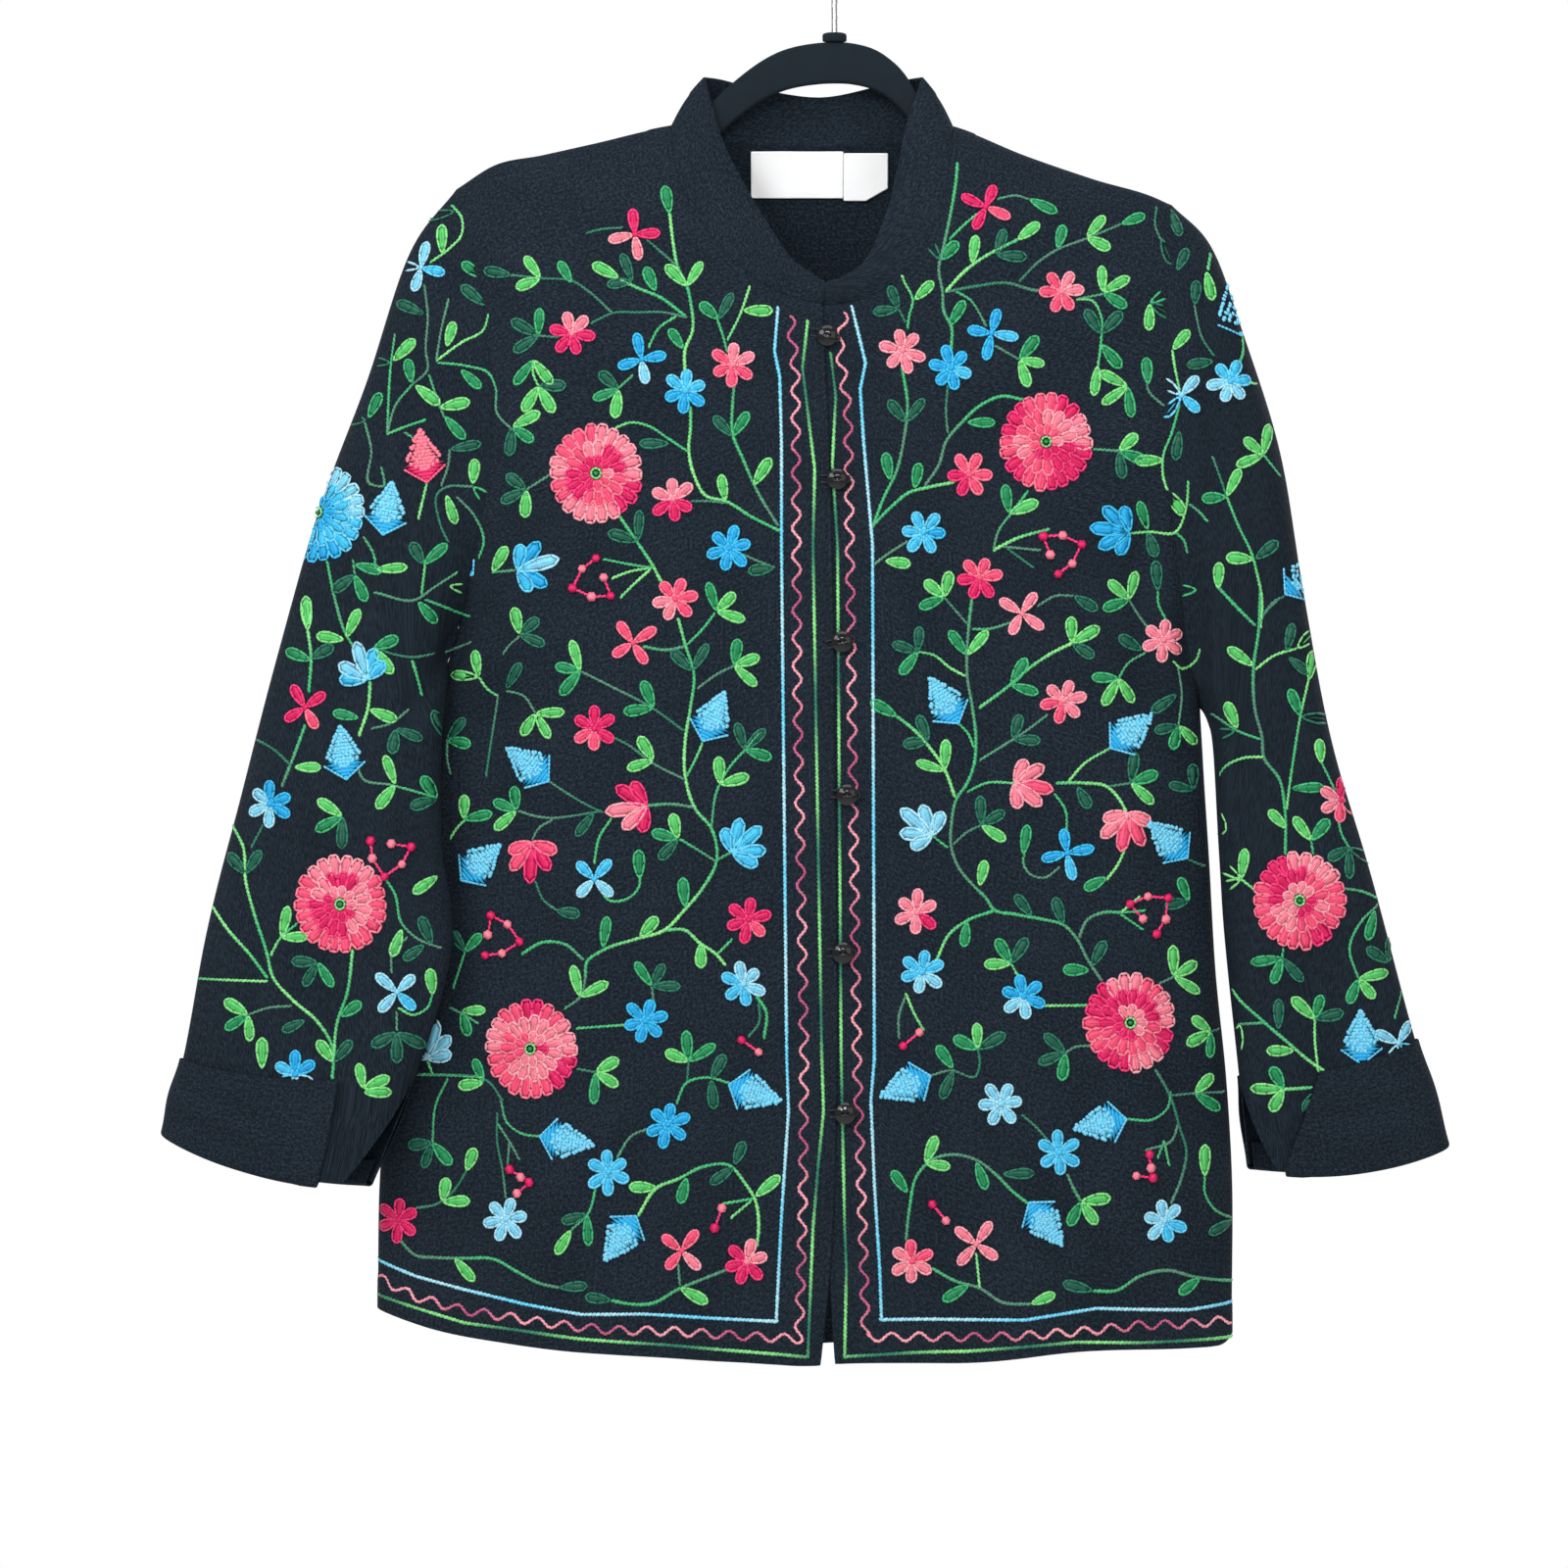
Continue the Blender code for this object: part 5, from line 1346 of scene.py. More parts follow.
# %% Buttons
# Buttons on the right front, and the left front's loops round their shanks
BUTTON_COLUMNS = ("x", "height", "tilt")
BUTTONS = (
    (-3.9, -243.6, 14),
    (1.7, -325.4, 0),
    (4.5, -418.3, -12),
    (7.3, -505.7, 4),
    (5.0, -595.8, 0),
    (6.2, -687.1, -3),
)
BUTTON_RADIUS = 6 * MM
BUTTON_THICKNESS = 3.0 * MM
BUTTON_PROFILE_COLUMNS = ("radius", "height")       # shares of the radius and of the thickness
BUTTON_PROFILE = ((0.0, 0.93), (0.22, 0.97), (0.36, 0.95), (0.50, 0.86), (0.75, 0.66),
                  (0.92, 0.44), (1.0, 0.30))
BUTTON_BACK = 0.72 * BUTTON_RADIUS                  # where its flat back ends
SHANK_RADIUS = 1.2 * MM
SHANK_HEIGHT = 3.9 * MM
LOOP_RADIUS = 0.6 * MM
LOOP_HEIGHT = LAP_LIFT + CLEARANCE + LOOP_RADIUS
LOOP_HALF_WIDTH = 2.0 * MM
LOOP_REACH = 5.2 * MM
LOOP_TAIL = 9.5 * MM
BUTTON_SIDES = 48
LOOP_BEND_STEPS = 16
LOOP_STRAIGHT_STEPS = 14
LOOP_SIDES = 10
BUTTON_RINGS = 26
SLOT_HALF_LENGTH = 2.2 * MM
SLOT_HALF_WIDTH = 0.75 * MM
SLOT_DEPTH = 0.55 * MM
HOLE_RADIUS = 0.62 * MM
HOLE_APART = 1.35 * MM
HOLE_DEPTH = 1.1 * MM
SLOT_EDGE = 0.4 * MM            # width of the soft edges
HOLE_EDGE = 0.2 * MM

gloss_finish = Finish("black_button_gloss")
gloss_place = gloss_finish.place()
gloss_wear = gloss_finish.noise(gloss_place, 420.0, detail=4.0, roughness=0.6)
gloss_haze = gloss_finish.noise(gloss_place, 90.0, detail=2.0)
button_gloss = gloss_finish.set(
    Base_Color=gloss_finish.mix(gloss_haze, (0.002, 0.002, 0.003), (0.006, 0.006, 0.007)),
    Roughness=0.06 + gloss_wear * 0.10,
    Specular_IOR_Level=0.38,
    Normal=gloss_finish.bump(gloss_wear, 0.03 * MM, 0.35))


def placket_frame(button):
    """Point, right, up and outward direction of the right front's cloth at a button."""
    x = button["x"] * MM
    z = button["height"] * MM
    point, normal = body_surface(-1, np.array([x]), np.array([z]))
    out = normal[0]
    right = unit(np.array((1.0, 0.0, 0.0)) - out * out[0])
    up = np.cross(right, out)
    return point[0], right, up, out


def button_face(a, b):
    """Height of the button's face over its back, at a and b along and across its slot."""
    share = np.hypot(a, b) / BUTTON_RADIUS
    table = columns(BUTTON_PROFILE_COLUMNS, BUTTON_PROFILE)
    height = smooth(table["radius"], table["height"])(share) * BUTTON_THICKNESS
    beyond = np.maximum(np.abs(a) - SLOT_HALF_LENGTH + SLOT_HALF_WIDTH, 0)
    slot = 1 - ease((np.hypot(beyond, b) - SLOT_HALF_WIDTH + SLOT_EDGE / 2) / SLOT_EDGE)
    hole_apart = np.hypot(np.abs(a) - HOLE_APART, b)
    hole = 1 - ease((hole_apart - HOLE_RADIUS + HOLE_EDGE / 2) / HOLE_EDGE)
    return height - SLOT_DEPTH * slot - HOLE_DEPTH * hole


def button_piece(name, button):
    """A domed button with a slot and two holes, on its thread shank."""
    point, right, up, out = placket_frame(button)
    turn = 2 * np.pi * np.arange(BUTTON_SIDES) / BUTTON_SIDES
    lean = math.radians(button["tilt"])
    rings = []
    for radius, height in ((SHANK_RADIUS, CLEARANCE), (SHANK_RADIUS, SHANK_HEIGHT),
                           (BUTTON_BACK, SHANK_HEIGHT)):
        rings.append(point + out * height
                     + radius * (np.cos(turn)[:, None] * right + np.sin(turn)[:, None] * up))
    for share in np.linspace(1, 0.02, BUTTON_RINGS):
        a = BUTTON_RADIUS * share * np.cos(turn)
        b = BUTTON_RADIUS * share * np.sin(turn)
        height = SHANK_HEIGHT + button_face(a * math.cos(lean) + b * math.sin(lean),
                                            b * math.cos(lean) - a * math.sin(lean))
        rings.append(point + out * height[:, None] + a[:, None] * right + b[:, None] * up)
    return lofted(name, rings, button_gloss)


buttons = {f"button_{number}": dict(zip(BUTTON_COLUMNS, row))
           for number, row in enumerate(BUTTONS, start=1)}
button_pieces = {node: button_piece(node + "_disc", button) for node, button in buttons.items()}
print("button triangles:", triangles(button_pieces["button_1"]))

# %% Thread loops
LOOP_TWIST = 1.1 * MM

twist_finish = Finish("black_loop_thread")
twist_along = twist_finish.uv_map("along")
twist_turn = twist_finish.part(twist_along, 0)
twist_run = twist_finish.part(twist_along, 1)
twist_ply = abs((twist_run * (math.pi / LOOP_TWIST) + twist_turn * math.tau).sine())
twist_fluff = twist_finish.noise(twist_finish.stretched(twist_along, (40.0, 2600.0, 1.0)), 1.0)
# twist_ply paints the crests of the plies paler and the grooves between them darker: a painted
# highlight and painted shade on the twist. The fluff is the thread's own uneven tone.
loop_thread = twist_finish.set(
    Base_Color=twist_finish.mix(twist_ply * 0.7 + twist_fluff * 0.3,
                                (0.006, 0.006, 0.008), (0.022, 0.022, 0.026)),
    Roughness=0.6 + twist_fluff * 0.2,
    Specular_IOR_Level=0.3,
    Normal=twist_finish.bump(twist_ply + twist_fluff * 0.4, 0.12 * MM, 0.8))


def loop_piece(name, button):
    """A thread loop from the left front's edge, round the shank and back."""
    point, right, up, out = placket_frame(button)
    lean = math.radians(button["tilt"])
    along = right * math.cos(lean) + up * math.sin(lean)
    bend = np.pi * np.arange(1, LOOP_BEND_STEPS) / LOOP_BEND_STEPS
    straight = np.linspace(-LOOP_TAIL, LOOP_REACH, LOOP_STRAIGHT_STEPS)
    plan = [(a, LOOP_HALF_WIDTH) for a in straight]
    plan += [(LOOP_REACH + LOOP_HALF_WIDTH * math.sin(a), LOOP_HALF_WIDTH * math.cos(a)) for a in bend]
    plan += [(a, -LOOP_HALF_WIDTH) for a in straight[::-1]]
    aside = np.cross(along, out)
    path = [point + along * a + aside * b + out * LOOP_HEIGHT for a, b in plan]
    return tube(name, path, LOOP_RADIUS, LOOP_SIDES, loop_thread, out)


loop_pieces = {}
for node, button in buttons.items():
    loop_node = node.replace("button", "loop")
    loop_pieces[loop_node] = loop_piece(loop_node + "_thread", button)
print("loops:", len(loop_pieces))

# %% [markdown]
# ## Embroidery
# Every stitch is one small bead of thread on the cloth. Leaves, petals, buds and berries are drawn
# once as patterns of stitches, and tables give the place and turn of each one. The vines are rows
# of slanted stitches along smooth curves. The thread is dyed unevenly, so its tone drifts.

# %% Threads
THREADS = {                     # rim and core of a motif, in bytes
    "light green": ((138, 228, 136), (88, 202, 104)),
    "middle green": ((66, 182, 116), (24, 140, 86)),
    "dark green": ((36, 118, 92), (14, 92, 70)),
    "dull green": ((84, 136, 112), (56, 104, 84)),
    "pale pink": ((255, 170, 182), (255, 132, 152)),
    "coral": ((255, 126, 150), (250, 78, 120)),
    "hot pink": ((246, 58, 124), (226, 16, 96)),
    "mauve": ((186, 84, 126), (160, 58, 104)),
    "pale blue": ((176, 232, 248), (132, 214, 242)),
    "light blue": ((108, 214, 248), (64, 196, 242)),
    "blue": ((60, 196, 242), (26, 172, 232)),
}
STITCH_COLUMNS = ("x", "z", "angle", "length", "width", "height", "lift", "red", "green", "blue")
LIFT = STITCH_COLUMNS.index("lift")
FIRST_COLOUR = STITCH_COLUMNS.index("red")
draws = np.random.default_rng(11)


def linear(colour):
    """A colour in bytes as linear light."""
    return tuple(((part / 255 + 0.055) / 1.055) ** 2.4 for part in colour)


THREADS = {name: tuple(linear(colour) for colour in pair) for name, pair in THREADS.items()}


def between(first, second, share):
    return tuple(a + (b - a) * share for a, b in zip(first, second))


def runs(count, threads):
    """Names of threads for petals in a row, in runs of two or three alike."""
    names = []
    while len(names) < count:
        names += [threads[draws.integers(len(threads))]] * int(draws.integers(2, 4))
    return names[:count]


def placed(stitches, x, z, turn):
    """A pattern of stitches turned by degrees and moved to its place, in millimetres."""
    stitches = np.array(stitches, float)
    cosine = math.cos(math.radians(turn))
    sine = math.sin(math.radians(turn))
    along = stitches[:, 0].copy()
    up = stitches[:, 1].copy()
    stitches[:, 0] = x + along * cosine - up * sine
    stitches[:, 1] = z + along * sine + up * cosine
    stitches[:, 2] += math.radians(turn)
    return stitches


print("threads:", len(THREADS))

# %% Petals, flowers and leaves
RIM_WIDTH = 1.7                 # all in millimetres from here to the casting of the stitches
FLARE = 0.32                    # how much wider a petal's outer end is
EYE = 4.2                       # knot in a flower's middle
FAN_WIDTH = 8.2
FAN_PETALS = ((-70, 15.5), (70, 15.5), (-36, 20.0), (36, 20.0), (0, 24.0))      # turn, length
LEAF_LENGTH = 16.2
LEAF_WIDTH = 6.9


def petal(length, width, thread, start=0.8, rim_stitches=8, bare_foot=0.0):
    """A club of thread, outward from the origin: a pad with a rim of chain stitches round it."""
    rim, core = THREADS[thread]
    half = (length - RIM_WIDTH) / 2
    side = (width - RIM_WIDTH) / 2
    middle = start + length / 2
    stitches = [(middle, 0.0, 0.0, length * 0.92, width * 0.78, 0.9, 0.0, *core),
                (middle + length * 0.16, 0.0, 0.0, length * 0.58, width * 0.95, 0.95, 0.0, *core),
                (middle + length * 0.05, 0.0, 0.0, length * 0.60, 1.0, 1.1, 0.25,
                 *(part * 0.8 for part in core))]
    for turn in math.tau * (np.arange(rim_stitches) + 0.5) / rim_stitches:
        if math.cos(turn) > 1 - bare_foot:
            continue
        flare = 1 - FLARE * math.cos(turn)
        along = half * math.sin(turn)
        across = side * (math.cos(turn) * flare + FLARE * math.sin(turn) ** 2)
        step = math.hypot(along, across) * math.tau / rim_stitches
        shade = draws.uniform(0.88, 1.06)
        stitches.append((middle - half * math.cos(turn), side * math.sin(turn) * flare,
                         math.atan2(across, along), step * 1.3 + 0.3, RIM_WIDTH, 1.15, 0.08,
                         *(part * shade for part in rim)))
    return stitches


def dot(x, z, size, thread, lift=0.25):
    """A round knot of thread."""
    return [(x, z, 0.0, size, size, size * 0.5, lift, *THREADS[thread][1])]


def flower(threads, petals=6, length=12.4, width=7.0):
    """Petals all round a knot, in runs of neighbours that share a thread."""
    names = runs(petals, threads)
    stitches = []
    for k, thread in enumerate(names):
        turn = 360 / petals * k + draws.uniform(-5, 5)
        one = petal(length * draws.uniform(0.92, 1.08), width, thread)
        stitches += list(placed(one, 0, 0, turn))
    return stitches + dot(0.3, 0, EYE, names[0])


def fan(threads):
    """A flower from the side: five petals out of one foot."""
    stitches = []
    for (turn, length), thread in zip(FAN_PETALS, runs(len(FAN_PETALS), threads)):
        turn += draws.uniform(-5, 5)
        one = petal(length * draws.uniform(0.92, 1.06), FAN_WIDTH, thread, start=0.0)
        stitches += list(placed(one, 0, 0, turn))
    return stitches


def leaf(thread):
    """One leaf on its own short stalk."""
    length = LEAF_LENGTH * draws.uniform(0.86, 1.12)
    width = LEAF_WIDTH * draws.uniform(0.9, 1.08)
    return petal(length, width, thread, start=0.4)


print("a leaf is about", LEAF_LENGTH, "mm long")

# %% Buds, vines and berries
BUD_CORNER = (8.5, 11.3)        # where the cup ends
BUD_OUTLINE = ((0, 0.0), (8.5, 11.3), (15, 8.8), (23, 4.4), (31, 0.0))
LOOK = 0.4                      # how far ahead and back a vine's direction is read
BERRY = 5.6
BERRY_RING = ((2, 12.5), (-6, 6.5), (-11.5, -4.5), (-0.5, -9.5), (10.5, -9), (6.5, 1.5))
BERRY_TWIG = ((-6, -3), (1, 0.5), (6, 3.5), (8, -6))
BERRY_TWINS = ((-6, 0), (6, 0))


def bud(threads):
    """A closed bud: a smooth deep cup, and out of it a pale tip of small loops."""
    outline_x, outline_half = np.array(BUD_OUTLINE, float).T
    deep = THREADS[threads[1]]
    pale = (THREADS[threads[2]][1], THREADS[threads[0]][0])
    stitches = []
    for x in np.arange(1.2, 11.0, 1.9):
        half = float(np.interp(x, outline_x, outline_half))
        colour = between(*deep, draws.uniform(0.5, 1.0))
        stitches.append((x, 0.0, math.pi / 2, 2 * half + 0.5, 3.2, 1.0, 0.0, *colour))
    for x in np.arange(8.0, 30.5, 2.0):
        half = min(float(np.interp(x, outline_x, outline_half)), (x - 6.4) * 1.35)
        colour = between(*pale, draws.uniform(0.4, 1.0))
        stitches.append((x, 0.0, math.pi / 2, 2 * half + 0.8, 3.4, 1.1, 0.15, *colour))
        for z in np.linspace(-half, half, max(int(half / 1.8) + 1, 2)):
            stitches.append((x + draws.uniform(-0.7, 0.7), z, draws.uniform(-0.9, 0.9),
                             draws.uniform(2.8, 3.8), 2.6, 1.3, draws.uniform(0.3, 0.5),
                             *between(*pale, draws.uniform(0.0, 0.8))))
    x, half = BUD_CORNER
    for side in (-1, 1):
        slant = side * math.atan2(half, x)
        for share in np.linspace(0.06, 0.98, 7):
            stitches.append((x * share, side * half * share, slant, 2.9, 1.6, 1.2, 0.15,
                             *between(deep[0], pale[0], draws.uniform(0.3, 0.8))))
    return stitches


def straight(knots, values):
    """Straight lines through the points of a path, by their place along it."""
    return lambda at: np.stack([np.interp(at, knots, column) for column in values.T], axis=-1)


def strand(points, width, threads, step=2.3, reach=3.8, slant=14.0, height=1.0, corners=False):
    """A row of slanted stitches along a path, in thread whose tone drifts between two."""
    points = np.asarray(points, float)
    lengths = np.concatenate(([0.0], np.cumsum(np.linalg.norm(np.diff(points, axis=0), axis=1))))
    count = max(int(lengths[-1] / step), 1)
    at = (np.arange(count) + 0.5) * lengths[-1] / count
    curve = (straight if corners or len(points) < 3 else smooth)(lengths, points)
    middle = curve(at)
    ahead = curve(np.minimum(at + LOOK, lengths[-1])) - curve(np.maximum(at - LOOK, 0.0))
    phase = draws.uniform(0, math.tau)
    drift = draws.uniform(75, 125)
    stitches = []
    for k in range(count):
        tone = 0.5 + 0.5 * math.sin(phase + math.tau * at[k] / drift)
        colour = between(THREADS[threads[0]][0], THREADS[threads[1]][0], tone)
        # every other stitch is painted lighter than its neighbours: a painted sheen on the slanted
        # stitches of one thread
        shade = 0.90 + 0.20 * (k % 2)
        lean = math.atan2(ahead[k][1], ahead[k][0]) + math.radians(slant)
        stitches.append((*middle[k], lean, reach, width, height, 0.0,
                         *(part * shade for part in colour)))
    return stitches


def berries(threads, places):
    """Knots joined by a thin thread."""
    stitches = []
    for start, end in zip(places, places[1:]):
        stitches += strand((start, end), 1.7, (threads[1], threads[1]), height=0.8)
    for k, (x, z) in enumerate(places):
        stitches += dot(x, z, BERRY, threads[k % 2 + 1], lift=0.4)
    return stitches


print("berries in a ring:", len(BERRY_RING))

# %% Rosettes
ROSETTE_RINGS = (               # petals, start, length and width
    (22, 12.0, 15.0, 8.0),
    (15, 6.5, 12.0, 7.0),
    (9, 1.5, 9.0, 6.0),
)
ROSETTE_RISE = 0.35             # from one ring to the next
ROSETTE_HEIGHT = 1.06           # over its width


def rosette(threads):
    """A full round flower: three rings of petals, the inner over the outer, and a green eye."""
    stitches = []
    for ring, (count, start, length, width) in enumerate(ROSETTE_RINGS):
        for k, thread in enumerate(runs(count, threads)):
            reach = length * draws.uniform(0.96, 1.05)
            turned = placed(petal(reach, width, thread, start, 7, bare_foot=0.4), 0, 0,
                            360 / count * (k + 0.5 * ring) + draws.uniform(-2, 2))
            turned[:, LIFT] += ROSETTE_RISE * ring
            stitches += list(turned)
    eye = THREADS["light green"][0]
    for k in range(8):
        stitches += list(placed([(2.6, 0.0, math.pi / 2, 2.6, 1.5, 1.7, 1.6, *eye)], 0, 0, 45 * k))
    stitches = np.array(stitches + dot(0, 0, 3.2, "middle green", lift=1.6), float)
    stitches[:, 1] *= ROSETTE_HEIGHT
    return stitches


PINKS = ("coral", "hot pink", "pale pink", "coral", "pale pink", "hot pink")
BLUES = ("light blue", "blue", "pale blue", "light blue", "blue", "pale blue")
PATTERNS = {
    "rosette": rosette,
    "flower": flower,
    "cross": lambda threads: flower(threads, petals=4, length=14.2, width=6.6),
    "fan": fan,
    "bud": bud,
    "berries": lambda threads: berries(threads, BERRY_RING),
    "twigs": lambda threads: berries(threads, BERRY_TWIG),
    "twins": lambda threads: berries(threads, BERRY_TWINS),
}
print("patterns:", sorted(PATTERNS))

# %% [markdown]
# ### The layout
# The front was embroidered as one large bouquet on each half, with borders down the closure and
# along the hem. Each row of a table is one motif, vine or bunch of leaves as it lies on the
# jacket, in millimetres from the hook. The back takes the same bouquets, spread to its middle.

# %% Places of flowers, vines and leaves
# Flowers, buds and berries: x, z and turn in degrees
MOTIFS = {
    ("cross", "pink"): (
        (-114, -185, 8), (-115, -419, 31), (-87, -766, 50), (87, -169, 65), (107, -402, 328),
        (81, -762, 52), (-302, -456, 34),
    ),
    ("flower", "pink"): (
        (-150, -242, 48), (-58, -260, 25), (-92, -337, 36), (-91, -394, 10), (-137, -468, 30),
        (-49, -577, 20), (-251, -751, 25), (-50, -772, 15), (130, -218, 5), (39, -252, 44),
        (77, -323, 2), (83, -382, 8), (189, -417, 22), (131, -452, 14), (47, -573, 26),
        (44, -772, 28), (290, -509, 30),
    ),
    ("cross", "blue"): (
        (-110, -257, 15), (-137, -554, 48), (90, -242, 78), (133, -539, 10), (-237, -203, 78),
        (-249, -618, 44), (199, -277, 52), (323, -648, 60),
    ),
    ("flower", "blue"): (
        (-85, -275, 23), (-60, -365, 16), (-108, -635, 15), (-52, -614, 40), (-95, -694, 20),
        (-129, -721, 33), (-188, -749, 10), (67, -262, 45), (51, -356, 54), (50, -607, 20),
        (108, -621, 40), (95, -682, 5), (128, -710, 32), (189, -750, 44), (-322, -511, 26),
        (-307, -665, 30), (227, -269, 10),
    ),
    ("rosette", "pink"): (
        (-136, -322, 0), (-173, -651, 0), (121, -304, 0), (169, -636, 0), (-281, -568, 0),
        (266, -566, 0),
    ),
    ("fan", "blue"): (
        (-181, -377, 12), (-58, -539, 42), (169, -355, 172), (56, -529, 140), (-267, -440, 110),
        (-234, -658, 80),
    ),
    ("berries", "pink"): (
        (-138, -383, 0), (-192, -588, 150), (130, -367, 180), (182, -573, 200), (-254, -540, 60),
    ),
    ("bud", "blue"): (
        (-75, -475, 66), (-163, -498, 142), (-214, -555, 42), (-60, -671, 342), (-168, -701, 352),
        (-113, -746, 235), (71, -465, 122), (158, -479, 38), (203, -542, 138), (55, -666, 202),
        (167, -691, 190), (111, -738, 308), (-258, -357, 80), (-207, -379, 140), (-278, -497, 97),
        (234, -242, 104), (258, -391, 40), (302, -660, 92),
    ),
    ("fan", "pink"): (
        (-107, -512, 188), (-173, -533, 272), (103, -499, 352), (168, -516, 262),
    ),
    ("twins", "pink"): (
        (-48, -649, 325), (-66, -747, 70), (44, -645, 40), (60, -744, 310),
    ),
    ("twigs", "pink"): (
        (-180, -724, 300), (181, -718, 250),
    ),
    ("rosette", "blue"): (
        (-295, -344, 0), (267, -344, 0),
    ),
    ("bud", "pink"): (
        (-233, -327, 98),
    ),
}

